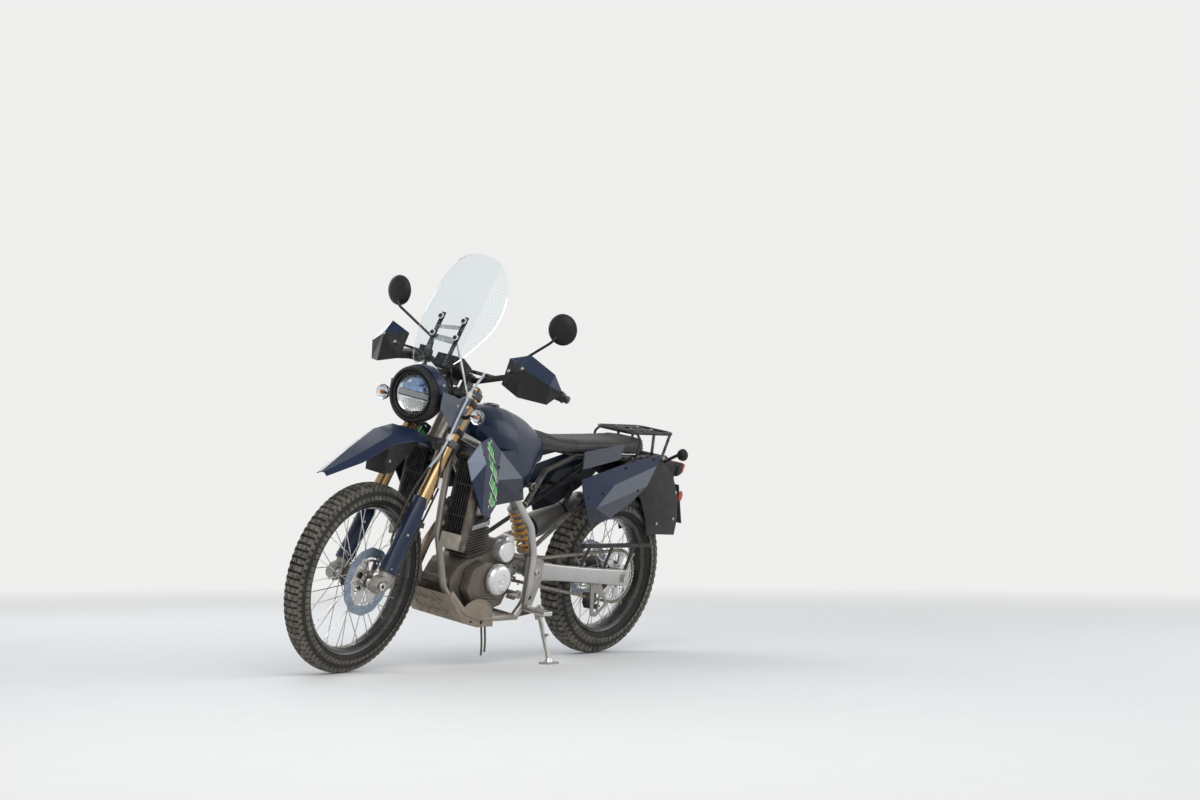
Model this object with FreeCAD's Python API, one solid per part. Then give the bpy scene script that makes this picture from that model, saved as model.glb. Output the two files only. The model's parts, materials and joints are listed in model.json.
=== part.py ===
import FreeCAD, Part
import math
import os
from FreeCAD import Matrix, Rotation, Vector

# Dual sport motorcycle on its side stand, in millimetres.
# It is drawn upright first: X forward, Y to the rider's left, Z up, ground at Z = 0.
# The steering pieces are then turned to the rest angle, and the whole machine is leaned to the left.

os.makedirs("parts", exist_ok=True)

# Stance
lean_deg = 11.0
rest_steer_deg = 6.0

# Steering head and fork
head_x = 1071.0
head_z = 931.0
rake_deg = 26.5
head_tube_half = 84.0
head_tube_r = 27.0
stem_r = 17.0
clamp_offset = 35.0
leg_spacing_half = 100.0
axle_lead = 26.0
clamp_thickness = 26.0
outer_tube_r = 25.5
slider_r = 21.0
outer_tube_length = 480.0
foot_r = 25.0

# Swingarm and rear axle
pivot_x = 575.0
pivot_z = 372.0
rear_axle_x = 0.0
swingarm_width = 26.0
swingarm_inner_y = 96.0
axle_r = 10.0

# Wheels
front_seat_r = 266.7
front_tyre_height = 81.3
front_tyre_half = 43.0
front_crown_half = 14.0
front_lug_height = 9.0
front_hub_half = 36.0
rear_seat_r = 228.6
rear_tyre_height = 101.4
rear_tyre_half = 58.0
rear_crown_half = 20.0
rear_lug_height = 13.0
rear_hub_half = 46.0
front_tip_r = front_seat_r + front_tyre_height
rear_tip_r = rear_seat_r + rear_tyre_height
lug_length = 26.0
front_barrel_r = 27.0
rear_barrel_r = 39.0
rim_well = 11.0
spoke_count = 36
spoke_w = 3.6
front_disc_r = 125.0
rear_disc_r = 120.0
disc_thickness = 4.0
front_disc_y = 56.0
rear_disc_y = -72.0

# Drive chain
chain_pitch = 15.875
rear_teeth = 42
drive_teeth = 14
drive_x = 668.0
drive_z = 372.0
chain_y = 80.0
chain_gap = 6.6
plate_thickness = 2.2
plate_height = 14.0
sprocket_thickness = 5.8

# Frame tubes
spar_r = 15.0
cradle_r = 13.0
rail_r = 11.0
rail_y = 85.0
rail_z = 815.0

# Fits
seat_gap = 0.3
spoke_gap = 1.4
shell = 5.0

# Flat panes round a section: wheels, turned pieces, tubes and thin rods
wheel_sides = 48
turned_sides = 28
tube_sides = 12
rod_sides = 10
chord_deg = 22.0


def head(dx, dz, y=0.0):
    """Point given from the middle of the steering head."""
    return Vector(head_x + dx, y, head_z + dz)


def pivot(dx, dz, y=0.0):
    """Point given from the swingarm pivot."""
    return Vector(pivot_x + dx, y, pivot_z + dz)


rake = math.radians(rake_deg)
steer_up = Vector(-math.sin(rake), 0, math.cos(rake))
steer_ahead = Vector(math.cos(rake), 0, math.sin(rake))
sideways = Vector(0, 1, 0)
head_centre = Vector(head_x, 0, head_z)


def fork(up, ahead, y=0.0):
    """Point given along the steering axis from the head's middle, ahead of the axis and sideways."""
    return head_centre + steer_up * up + steer_ahead * ahead + sideways * y


axle_ahead = clamp_offset + axle_lead
axle_up = (front_tip_r - head_z - axle_ahead * math.sin(rake)) / math.cos(rake)
front_axle = fork(axle_up, axle_ahead)
rear_axle = Vector(rear_axle_x, 0, rear_tip_r)
upper_clamp_up = head_tube_half + 5.0 + clamp_thickness / 2
lower_clamp_up = -upper_clamp_up


def closed_face(points):
    return Part.Face(Part.makePolygon(list(points) + [points[0]]))


def side_plate(outline, y_low, y_high):
    """Flat outline of points, seen from the side, thickened between two sideways places."""
    flat = [Vector(p.x, y_low, p.z) for p in outline]
    return closed_face(flat).extrude(Vector(0, y_high - y_low, 0))


def plan_plate(outline, z_low, z_high):
    """Flat outline of (x, y) pairs, seen from above, thickened between two heights."""
    flat = [Vector(x, y, z_low) for x, y in outline]
    return closed_face(flat).extrude(Vector(0, 0, z_high - z_low))


def paned_solid(panes):
    """Solid inside a closed skin of flat panes."""
    solid = Part.makeSolid(Part.makeShell(panes))
    if solid.Volume < 0:
        solid.reverse()
    return solid


def turned(profile, base, direction, sides=turned_sides):
    """Turning of (radius, distance along the axis) pairs, with flat panes; no sides means a true round."""
    place = FreeCAD.Placement(base, Rotation(Vector(0, 0, 1), direction))
    if sides == 0:
        round_solid = closed_face([Vector(r, 0, h) for r, h in profile]).revolve(Vector(), Vector(0, 0, 1), 360)
        round_solid.Placement = place
        return round_solid
    angles = [2 * math.pi * k / sides for k in range(sides + 1)]
    panes = []
    for (r0, h0), (r1, h1) in zip(profile, profile[1:] + profile[:1]):
        if r0 == 0 and r1 == 0:
            continue
        if h0 == h1 and min(r0, r1) == 0:
            r = max(r0, r1)
            panes.append(closed_face([Vector(r * math.cos(a), r * math.sin(a), h0) for a in angles[:-1]]))
            continue
        for a, b in zip(angles, angles[1:]):
            corners = [Vector(r * math.cos(t), r * math.sin(t), h)
                       for r, h, t in ((r0, h0, a), (r0, h0, b), (r1, h1, b), (r1, h1, a))]
            if r0 == 0:
                corners = corners[1:]
            if r1 == 0:
                corners = corners[:3]
            panes.append(closed_face(corners))
    solid = paned_solid(panes)
    solid.Placement = place
    return solid


def round_rod(start, end, radius):
    """Truly round rod, for legs, shafts and bores."""
    return Part.makeCylinder(radius, (end - start).Length, start, end - start)


def rod(start, end, radius, sides=rod_sides):
    """Straight rod with a many-sided section."""
    return turned([(0, 0), (radius, 0), (radius, (end - start).Length), (0, (end - start).Length)],
                  start, end - start, sides)


def bar(start, end, width, height, up):
    """Straight bar with a rectangular section, its height along the direction up."""
    along = (end - start).normalize()
    across = along.cross(up).normalize()
    rise = across.cross(along).normalize()
    half = [(-1, -1), (1, -1), (1, 1), (-1, 1)]
    corners = [start + across * (a * width / 2) + rise * (b * height / 2) for a, b in half]
    return closed_face(corners).extrude(end - start)


def bent_path(points, bend):
    """Straight runs joined by tangent arcs; each arc takes at most 0.45 of its shorter run."""
    edges = []
    start = points[0]
    for before, corner, after in zip(points, points[1:], points[2:]):
        back = (before - corner).normalize()
        onward = (after - corner).normalize()
        turn = math.pi - back.getAngle(onward)
        run = min(before.distanceToPoint(corner), corner.distanceToPoint(after))
        radius = min(bend, 0.45 * run / math.tan(turn / 2))
        cut = radius * math.tan(turn / 2)
        inward = (back + onward).normalize()
        middle = corner + inward * (radius / math.cos(turn / 2) - radius)
        enter = corner + back * cut
        leave = corner + onward * cut
        edges.append(Part.LineSegment(start, enter).toShape())
        edges.append(Part.Arc(enter, middle, leave).toShape())
        start = leave
    edges.append(Part.LineSegment(start, points[-1]).toShape())
    return Part.Wire(edges)


def hose(points, radius, bend):
    """Round hose along straight runs and tangent arcs."""
    path = bent_path(points, bend)
    ring = Part.makeCircle(radius, points[0], points[1] - points[0])
    radii = [round(edge.Curve.Radius) for edge in path.Edges if hasattr(edge.Curve, "Radius")]
    print("hose bend radii", radii, "length", round(path.Length))
    return path.makePipeShell([Part.Wire(ring)], True, False)


def chord_path(points, bend):
    """Corners of a bent line, whose arcs are drawn by chords of about the same turn."""
    line = [points[0]]
    for before, corner, after in zip(points, points[1:], points[2:]):
        back = (before - corner).normalize()
        onward = (after - corner).normalize()
        turn = math.pi - back.getAngle(onward)
        run = min(before.distanceToPoint(corner), corner.distanceToPoint(after))
        radius = min(bend, 0.45 * run / math.tan(turn / 2))
        inward = (back + onward).normalize()
        tangent = (onward - back).normalize()
        middle = corner + inward * (radius / math.cos(turn / 2))
        chords = max(1, round(math.degrees(turn) / chord_deg))
        for index in range(chords + 1):
            a = turn * (index / chords - 0.5)
            line.append(middle - inward * (radius * math.cos(a)) + tangent * (radius * math.sin(a)))
    return line + [points[-1]]


def tube(points, radius, bend=60.0, sides=tube_sides):
    """Bent tube with a many-sided section, mitred where the chords of its bends meet."""
    path = chord_path(points, bend)
    along = [(b - a).normalize() for a, b in zip(path, path[1:])]
    aside = Vector(1, 0, 0) if abs(along[0].y) > 0.9 else Vector(0, 1, 0)
    across = along[0].cross(aside).normalize()
    rise = along[0].cross(across)
    angles = [2 * math.pi * (k + 0.5) / sides for k in range(sides)]
    ring = [path[0] + across * (radius * math.cos(a)) + rise * (radius * math.sin(a)) for a in angles]
    rings = [ring]
    for index, way in enumerate(along):
        onward = along[min(index + 1, len(along) - 1)]
        mitre = (way + onward).normalize()
        ring = [p + way * ((path[index + 1] - p).dot(mitre) / way.dot(mitre)) for p in ring]
        rings.append(ring)
    panes = [closed_face(rings[0]), closed_face(rings[-1])]
    for low, high in zip(rings, rings[1:]):
        for a, b, c, d in zip(low, low[1:] + low[:1], high[1:] + high[:1], high):
            panes.append(closed_face([a, b, c, d]))
    return paned_solid(panes)


def mirrored(shape):
    """The same piece on the other side of the machine."""
    return shape.mirror(Vector(0, 0, 0), Vector(0, 1, 0))


def both(shape):
    return Part.makeCompound([shape, mirrored(shape)])


def joined(shapes):
    solid = shapes[0].multiFuse(shapes[1:])
    return solid.removeSplitter()


def faceted_shell(corners, faces, inward):
    """Closed shell of flat facets: named outer corners, facets by corner names, thickness inward."""
    inner = {name: point + inward for name, point in corners.items()}
    panes = []
    edges = {}
    for names in faces:
        panes.append(closed_face([corners[n] for n in names]))
        panes.append(closed_face([inner[n] for n in names]))
        for a, b in zip(names, names[1:] + names[:1]):
            key = tuple(sorted((a, b)))
            edges[key] = edges.get(key, 0) + 1
    for (a, b), uses in edges.items():
        if uses == 1:
            panes.append(closed_face([corners[a], corners[b], inner[b], inner[a]]))
    return paned_solid(panes)


def loft(sections):
    return Part.makeLoft([Part.makePolygon(s + [s[0]]) for s in sections], True, True)


# Wheels

def tyre_profile(seat_r, height, half, bead_half, crown_half, lug_height):
    """(radius, sideways) points of one tyre's carcass, from bead to bead over the crown."""
    base_r = seat_r + height - lug_height
    side = [
        (seat_r + seat_gap, bead_half),
        (seat_r + 0.47 * height, 0.96 * half),
        (seat_r + 0.70 * height, 0.97 * half),
        (base_r - 4, 0.64 * half),
        (base_r, crown_half),
    ]
    return side + [(r, -y) for r, y in reversed(side)]


def lug_sections(seat_r, height, half, crown_half, lug_height):
    """(radius, sideways) outlines of the centre lug and of one shoulder lug, both rooted in the carcass."""
    tip_r = seat_r + height
    top_r = math.sqrt(tip_r ** 2 - (lug_length / 2) ** 2)
    root_r = tip_r - lug_height - 3
    centre = [(root_r, -crown_half - 1), (root_r, crown_half + 1), (top_r, crown_half), (top_r, -crown_half)]
    shoulder = [(root_r - 3, 0.50 * half), (seat_r + 0.68 * height, 0.84 * half),
                (seat_r + 0.86 * height, 0.99 * half), (seat_r + 0.95 * height, 0.62 * half)]
    return centre, shoulder


def treaded_tyre(rings, sections, centre):
    """Carcass with centre lugs and pairs of shoulder lugs, by turns, fused to it."""
    middle, shoulder = sections
    across = [(r, -y) for r, y in shoulder]
    lugs = []
    for index in range(wheel_sides):
        a = 2 * math.pi * (index + 0.5) / wheel_sides
        radial = Vector(math.cos(a), 0, math.sin(a))
        tangent = Vector(-math.sin(a), 0, math.cos(a))
        for section in ([middle] if index % 2 == 0 else [shoulder, across]):
            flat = [centre + radial * r + sideways * y - tangent * (lug_length / 2) for r, y in section]
            lugs.append(closed_face(flat).extrude(tangent * lug_length))
    return joined([turned(rings, centre, sideways, wheel_sides)] + lugs)


front_tyre_rings = tyre_profile(front_seat_r, front_tyre_height, front_tyre_half, 21.0, front_crown_half,
                                front_lug_height)
rear_tyre_rings = tyre_profile(rear_seat_r, rear_tyre_height, rear_tyre_half, 27.4, rear_crown_half,
                               rear_lug_height)
front_lugs = lug_sections(front_seat_r, front_tyre_height, front_tyre_half, front_crown_half, front_lug_height)
rear_lugs = lug_sections(rear_seat_r, rear_tyre_height, rear_tyre_half, rear_crown_half, rear_lug_height)


def rim(seat_r, flange_half, bead_half, centre):
    """Drop-centre rim: bead seat between turned-out flanges, and a well that takes the spokes."""
    flange_r = seat_r + 11
    shoulder = (seat_r - 3, bead_half + 3)
    outer = [(flange_r, flange_half), (seat_r, bead_half), (seat_r, -bead_half), (flange_r, -flange_half)]
    inner = [(shoulder[0], -shoulder[1]), (seat_r - rim_well, -bead_half / 2), (seat_r - rim_well, bead_half / 2),
             shoulder]
    return turned(outer + inner, centre, sideways, wheel_sides)


def hub_with_spokes(centre, hub_half, flange_r, barrel_r, rim_inner_r, flange_gap):
    """Hub barrel with two flanges, and laced spokes that lean forwards and backwards by turns."""
    profile = [
        (axle_r + seat_gap, -hub_half), (barrel_r - 6, -hub_half), (barrel_r - 6, -flange_gap - 5),
        (flange_r, -flange_gap - 4), (flange_r, -flange_gap + 2), (barrel_r, -flange_gap + 8),
        (barrel_r, flange_gap - 8), (flange_r, flange_gap - 2), (flange_r, flange_gap + 4),
        (barrel_r - 6, flange_gap + 5), (barrel_r - 6, hub_half), (axle_r + seat_gap, hub_half),
    ]
    pieces = [turned(profile, centre, sideways, spoke_count)]
    step = 2 * math.pi / spoke_count
    for index in range(spoke_count):
        side = 1 if index % 2 == 0 else -1
        trailing = 1 if (index // 2) % 2 == 0 else -1
        at_rim = step * index
        at_hub = at_rim + trailing * math.radians(62)
        reach = flange_r - 3
        y_hub = side * (flange_gap + (3.0 if trailing > 0 else -1.0))
        start = centre + Vector(reach * math.cos(at_hub), y_hub, reach * math.sin(at_hub))
        end = centre + Vector(rim_inner_r * math.cos(at_rim), side * 6.0, rim_inner_r * math.sin(at_rim))
        pieces.append(bar(start, end, spoke_w, spoke_w, sideways))
    return joined(pieces)


def wave_disc(centre, y, radius, inner_r, bore_r, petals=12):
    """Brake disc with a scalloped edge and a spoked carrier, held on the hub's side."""
    points = []
    for index in range(petals):
        mid = 2 * math.pi * index / petals
        for share, r in ((-0.36, 0.975), (-0.16, 1.0), (0.16, 1.0), (0.36, 0.975)):
            a = mid + share * 2 * math.pi / petals
            points.append(Vector(radius * r * math.cos(a), 0, radius * r * math.sin(a)))
    disc = closed_face(points).extrude(Vector(0, disc_thickness, 0))
    cuts = [Part.makeCylinder(bore_r, disc_thickness, Vector(0, 0, 0), sideways)]
    for index in range(6):
        a0 = math.radians(60 * index + 12)
        a1 = math.radians(60 * index + 48)
        window = [(inner_r, a0), (inner_r, a1), (bore_r + 14, a1 - 0.1), (bore_r + 14, a0 + 0.1)]
        outline = [Vector(r * math.cos(a), 0, r * math.sin(a)) for r, a in window]
        cuts.append(closed_face(outline).extrude(Vector(0, disc_thickness, 0)))
    disc = disc.cut(Part.makeCompound(cuts))
    disc.translate(centre + Vector(0, y - disc_thickness / 2, 0))
    return disc


def pitch_radius(teeth):
    return chain_pitch / (2 * math.sin(math.pi / teeth))


def sprocket(centre, teeth, bore_r, slots):
    """Toothed wheel: each tooth is a blunt point between two roller seats."""
    pitch_r = pitch_radius(teeth)
    points = []
    for index in range(teeth):
        mid = 2 * math.pi * index / teeth
        for share, r in ((-0.5, pitch_r - 4.6), (-0.14, pitch_r + 4.4), (0.14, pitch_r + 4.4)):
            a = mid + share * 2 * math.pi / teeth
            points.append(Vector(r * math.cos(a), 0, r * math.sin(a)))
    wheel = closed_face(points).extrude(Vector(0, sprocket_thickness, 0))
    cuts = [Part.makeCylinder(bore_r, sprocket_thickness, Vector(0, 0, 0), sideways)]
    for index in range(slots):
        a0 = 2 * math.pi * (index + 0.2) / slots
        a1 = 2 * math.pi * (index + 0.8) / slots
        window = [(pitch_r - 14, a0), (pitch_r - 14, a1), (bore_r + 16, a1 - 0.08), (bore_r + 16, a0 + 0.08)]
        outline = [Vector(r * math.cos(a), 0, r * math.sin(a)) for r, a in window]
        cuts.append(closed_face(outline).extrude(Vector(0, sprocket_thickness, 0)))
    wheel = wheel.cut(Part.makeCompound(cuts))
    wheel.translate(centre + Vector(0, chain_y - sprocket_thickness / 2, 0))
    return wheel


def wheel_nodes():
    nodes = {}
    nodes["front_tyre"] = treaded_tyre(front_tyre_rings, front_lugs, front_axle)
    nodes["front_rim"] = rim(front_seat_r, 30.5, 21.5, front_axle)
    nodes["front_hub"] = hub_with_spokes(front_axle, front_disc_y + 4, 40, front_barrel_r,
                                         front_seat_r - rim_well - spoke_gap, front_hub_half)
    nodes["front_disc"] = wave_disc(front_axle, front_disc_y, front_disc_r, 98, front_barrel_r - 6 + seat_gap)
    nodes["rear_tyre"] = treaded_tyre(rear_tyre_rings, rear_lugs, rear_axle)
    nodes["rear_rim"] = rim(rear_seat_r, 39.0, 28.5, rear_axle)
    nodes["rear_hub"] = hub_with_spokes(rear_axle, chain_y + 4, 62, rear_barrel_r,
                                        rear_seat_r - rim_well - spoke_gap, rear_hub_half)
    nodes["rear_disc"] = wave_disc(rear_axle, rear_disc_y, rear_disc_r, 94, rear_barrel_r - 6 + seat_gap)
    nodes["rear_sprocket"] = sprocket(rear_axle, rear_teeth, rear_barrel_r - 6 + seat_gap, 7)
    return nodes


# Chain

def chain_loop(offset):
    """Outline of the chain line moved outwards by an offset: link by link round each sprocket, and two runs."""
    big = pitch_radius(rear_teeth) + offset
    small = pitch_radius(drive_teeth) + offset
    start = Vector(rear_axle_x, 0, rear_tip_r)
    end = Vector(drive_x, 0, drive_z)
    slope = math.atan2(end.z - start.z, end.x - start.x)
    lean = math.acos((big - small) / start.distanceToPoint(end))

    def on(centre, r, angle):
        return centre + Vector(r * math.cos(angle), 0, r * math.sin(angle))

    round_big = 2 * math.pi - 2 * lean
    steps_small = round(drive_teeth * 2 * lean / (2 * math.pi))
    steps_big = round(rear_teeth * round_big / (2 * math.pi))
    points = [on(end, small, slope + lean - 2 * lean * k / steps_small) for k in range(steps_small + 1)]
    points += [on(start, big, slope - lean - round_big * k / steps_big) for k in range(steps_big + 1)]
    return Part.makePolygon(points + [points[0]])


def chain():
    """Two rows of side plates as loops, joined by rollers along the free runs."""
    outer = Part.Face(chain_loop(plate_height / 2))
    inner = Part.Face(chain_loop(-plate_height / 2))
    band = outer.cut(inner)
    plates = []
    for side in (-1, 1):
        plate = band.extrude(Vector(0, plate_thickness, 0))
        low = chain_gap / 2 if side > 0 else -chain_gap / 2 - plate_thickness
        plate.translate(Vector(0, chain_y + low, 0))
        plates.append(plate)
    big = pitch_radius(rear_teeth)
    small = pitch_radius(drive_teeth)
    start = Vector(rear_axle_x, chain_y, rear_tip_r)
    end = Vector(drive_x, chain_y, drive_z)
    span = start.distanceToPoint(end)
    slope = math.atan2(end.z - start.z, end.x - start.x)
    lean = math.acos((big - small) / span)
    run = math.sqrt(span ** 2 - (big - small) ** 2)
    half = chain_gap / 2 + plate_thickness / 2
    for side in (-1, 1):
        angle = slope + side * lean
        radial = Vector(math.cos(angle), 0, math.sin(angle))
        first = start + radial * big
        last = end + radial * small
        count = int(run / chain_pitch)
        for index in range(3, count - 1):
            at = first + (last - first) * (index * chain_pitch / run)
            flat = [at + Vector(4 * math.cos(t), -half, 4 * math.sin(t)) for t in (0, 1.57, 3.14, 4.71)]
            plates.append(closed_face(flat).extrude(Vector(0, 2 * half, 0)))
    return joined(plates)


# Frame: columns are x, sideways, z of the left-hand tube; the right-hand one is its mirror image.

def spar_points():
    return [head(-22, -36, 22), head(-111, -81, 90), head(-211, -161, 122), pivot(177, 283, 130),
            pivot(65, 174, 130), pivot(27, 68, 130), pivot(27, -50, 130), pivot(30, -124, 117),
            pivot(60, -172, 108)]


def downtube_points():
    return [head(-13, -26, 16), head(-31, -131, 30), head(0, -300, 48), head(8, -411, 55), head(-63, -622, 60),
            head(-131, -716, 92), pivot(285, -176, 108), pivot(50, -176, 108)]


def rail_points():
    return [pivot(112, 262, 124), pivot(-15, 388, 96), Vector(380, rail_y, rail_z), Vector(-205, rail_y, rail_z)]


def stay_points():
    return [pivot(34, 92, 126), Vector(300, 92, 640), Vector(20, rail_y, rail_z - 12)]


shock_top = pivot(70, 330)
shock_low = pivot(-100, 34)
shock_tube_r = 11.0


def cross_tubes():
    """Columns: x, z, half length, radius."""
    return [(shock_top.x, shock_top.z, 130, shock_tube_r), (-205, rail_z, rail_y, 9.0),
            (330, rail_z, rail_y, 9.0), (pivot_x + 65, pivot_z - 176, 108, 11.0), (head_x - 111, head_z - 81, 90, 12.0)]


def frame_tubes(extra):
    """All frame tubes, grown by an extra radius where another piece needs a saddle."""
    tubes = []
    for points, radius, bend in (
        (spar_points(), spar_r, 70.0),
        (downtube_points(), cradle_r, 70.0),
        (rail_points(), rail_r, 60.0),
        (stay_points(), rail_r * 0.8, 50.0),
    ):
        left = tube(points, radius + extra, bend)
        tubes += [left, mirrored(left)]
    for x, z, y, radius in cross_tubes():
        tubes.append(rod(Vector(x, -y, z), Vector(x, y, z), radius + extra))
    return tubes


def frame():
    low = fork(-head_tube_half, 0)
    high = fork(head_tube_half, 0)
    pieces = [rod(low, high, head_tube_r, turned_sides)] + frame_tubes(0.0)
    plate_outline = [pivot(-34, 44), pivot(44, 62), pivot(46, -150), pivot(10, -150), pivot(-34, -40)]
    plate = side_plate(plate_outline, 118, 138)
    pieces += [plate, mirrored(plate)]
    gusset = [head(-20, -40), head(-2, -50), head(-30, -190), head(-120, -96)]
    pieces.append(side_plate(gusset, -5, 5))
    lug, carrier, hinge_hole = stand_lug()
    ear_room = side_stand_room()
    shape = joined([joined(pieces + [carrier]).cut(ear_room), lug])
    bearing_bore = round_rod(low - steer_up, high + steer_up, stem_r + 0.5)
    pivot_bore = round_rod(pivot(0, 0, -150), pivot(0, 0, 150), axle_r)
    return shape.cut(Part.makeCompound([bearing_bore, pivot_bore, hinge_hole]))


# Engine

cylinder_base = pivot(262, 50)
cylinder_lean = math.radians(12.0)
cylinder_up = Vector(math.sin(cylinder_lean), 0, math.cos(cylinder_lean))
cylinder_ahead = Vector(cylinder_up.z, 0, -cylinder_up.x)


def crankcase(saddles):
    middle = side_plate([
        pivot(48, -60), pivot(90, -140), pivot(140, -154), pivot(330, -154), pivot(392, -112), pivot(404, -40),
        pivot(372, 12), cylinder_base + cylinder_ahead * 66, cylinder_base - cylinder_ahead * 66,
        pivot(120, 104), pivot(60, 100), pivot(48, 60)], -82, 60)
    left = side_plate([
        pivot(144, -96), pivot(164, -134), pivot(300, -134), pivot(350, -70), pivot(330, 10), pivot(260, 40),
        pivot(180, 22), pivot(144, 6)], 60, 112)
    right = side_plate([
        pivot(96, -90), pivot(140, -138), pivot(300, -138), pivot(352, -60), pivot(330, 20), pivot(240, 46),
        pivot(130, 40), pivot(96, 0)], -112, -82)
    cover = turned([(0, 0), (88, 0), (88, 8), (76, 18), (0, 18)], pivot(212, -44, -112), Vector(0, -1, 0))
    mounts = [
        side_plate([pivot(250, -150), pivot(310, -150), pivot(300, -190), pivot(262, -190)], -98, 98),
        rod(head(-70, -600, -60), head(-70, -600, 60), 16),
        side_plate([head(-70, -584), head(-70, -616), pivot(380, -60), pivot(380, -20)], -20, 20),
    ]
    shaft = rod(Vector(drive_x, 58, drive_z), Vector(drive_x, chain_y + 8, drive_z), 14)
    drive = sprocket(Vector(drive_x, 0, drive_z), drive_teeth, 12, 0)
    return joined([middle, left, right, cover, shaft, drive] + mounts).cut(saddles)


def cylinder_and_head():
    """Leaning cylinder: stacked fins on a barrel, then the head and its cover."""
    base, up, ahead = cylinder_base, cylinder_up, cylinder_ahead

    def block(low, high, back, front, half):
        flat = [base + up * low + ahead * a + sideways * b
                for a, b in ((back, -half), (front, -half), (front, half), (back, half))]
        return closed_face(flat).extrude(up * (high - low))

    pieces = [block(0.3, 112, -52, 52, 50)]
    for index in range(6):
        low = 20 + 15 * index
        pieces.append(block(low, low + 5, -66, 66, 64))
    pieces.append(block(112, 196, -70, 66, 68))
    pieces.append(block(196, 224, -58, 54, 58))
    port = base + up * 160
    pieces.append(rod(port + ahead * 60, port + ahead * 92, 26, turned_sides))
    pieces.append(rod(port - ahead * 100, port - ahead * 60, 27, turned_sides))
    return joined(pieces)


def engine_covers():
    magneto = turned([(0, 0), (60, 0), (60, 14), (52, 26), (20, 30), (0, 30)], pivot(200, -26, 112.3), sideways)
    starter = turned([(0, 0), (44, 0), (44, 34), (38, 42), (0, 42)], pivot(142, 74, 60.3), sideways)
    bridge = rod(pivot(124, 112, 60.3), pivot(124, 112, 92), 26, turned_sides)
    sprocket_cover = side_plate([
        pivot(56, -60), pivot(143.7, -60), pivot(143.7, 4), pivot(128, 26), pivot(100, 46), pivot(56, 40)], 98, 106)
    return Part.makeCompound([magneto, joined([starter, bridge]), sprocket_cover])


def radiators(saddles):
    """Left and right cores, leaning with the head, each with side tanks and louvres."""
    low = head(14, -455)
    high = head(-31, -108)
    up = (high - low).normalize()
    ahead = Vector(up.z, 0, -up.x)
    height = high.distanceToPoint(low)

    def block(y0, y1, a0, a1, h0, h1):
        flat = [low + up * h0 + ahead * a + sideways * y for a, y in ((a0, y0), (a1, y0), (a1, y1), (a0, y1))]
        return closed_face(flat).extrude(up * (h1 - h0))

    left = [block(76, 176, -44, -8, 0, height), block(76, 90, -44, 0, 0, height), block(162, 176, -44, 0, 0, height)]
    left.append(block(76, 176, -44, 0, 0, 24))
    left.append(block(76, 176, -44, 0, height - 22, height))
    for index in range(5):
        y = 98 + 14 * index
        left.append(block(y, y + 4, -12, 2, 20, height - 20))
    left.append(block(30, 80, -30, -10, 150, 170))
    left.append(block(40, 80, -30, -10, 40, 60))
    return both(joined(left).cut(saddles))


muffler_direction = Vector(-478, -6, 142).normalize()


def exhaust_points():
    mouth = cylinder_base + cylinder_up * 160 + cylinder_ahead * (92 + seat_gap)
    end = pivot(-200, 92, -158)
    return [mouth, mouth + cylinder_ahead * 52, pivot(424, 90, -60), pivot(408, -20, -112),
            pivot(330, -126, -162), pivot(190, -136, -166), pivot(80, -60, -166), end - muffler_direction * 150,
            end]


def exhaust_line(saddles):
    """Header pipe from the head down and under the engine, and the silencer with its hanger."""
    start = exhaust_points()[-1]
    direction = muffler_direction
    profile = [(0, 0.3), (24, 0.3), (50, 46), (52, 60), (52, 400), (46, 424), (30, 430), (30, 470), (0, 470)]
    can = turned(profile, start, direction)
    hanger = bar(start + direction * 260 + Vector(0, 20, 30), Vector(64, -90, rail_z - 16), 24, 6, sideways)
    header = tube(exhaust_points(), 17.0, 60.0, 16)
    return Part.makeCompound([header, joined([can, hanger.cut(saddles)])])


def skid_plate(saddles):
    """Folded plate under the engine: sloped front, flat belly, upturned sides over the cradle."""
    belly = [head(-30, -640), head(-121, -744), pivot(290, -204), pivot(200, -204)]
    lift = [Vector(6, 0, 7), Vector(4, 0, 8), Vector(0, 0, 6), Vector(0, 0, 6)]
    outline = belly + [p + l for p, l in reversed(list(zip(belly, lift)))]
    floor = side_plate(outline, -126, 126)
    side = [head(-30, -640), head(-121, -744), pivot(290, -204), pivot(200, -204),
            pivot(206, -172), pivot(290, -164), head(-126, -690), head(-44, -620)]
    left = side_plate(side, 122, 128)
    seats = [rod(pivot(dx, -200, y), pivot(dx, -176, y), 9) for dx in (220, 270) for y in (-108, 108)]
    return joined([floor, left, mirrored(left)] + seats).cut(saddles)


# Swingarm and what it carries

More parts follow.
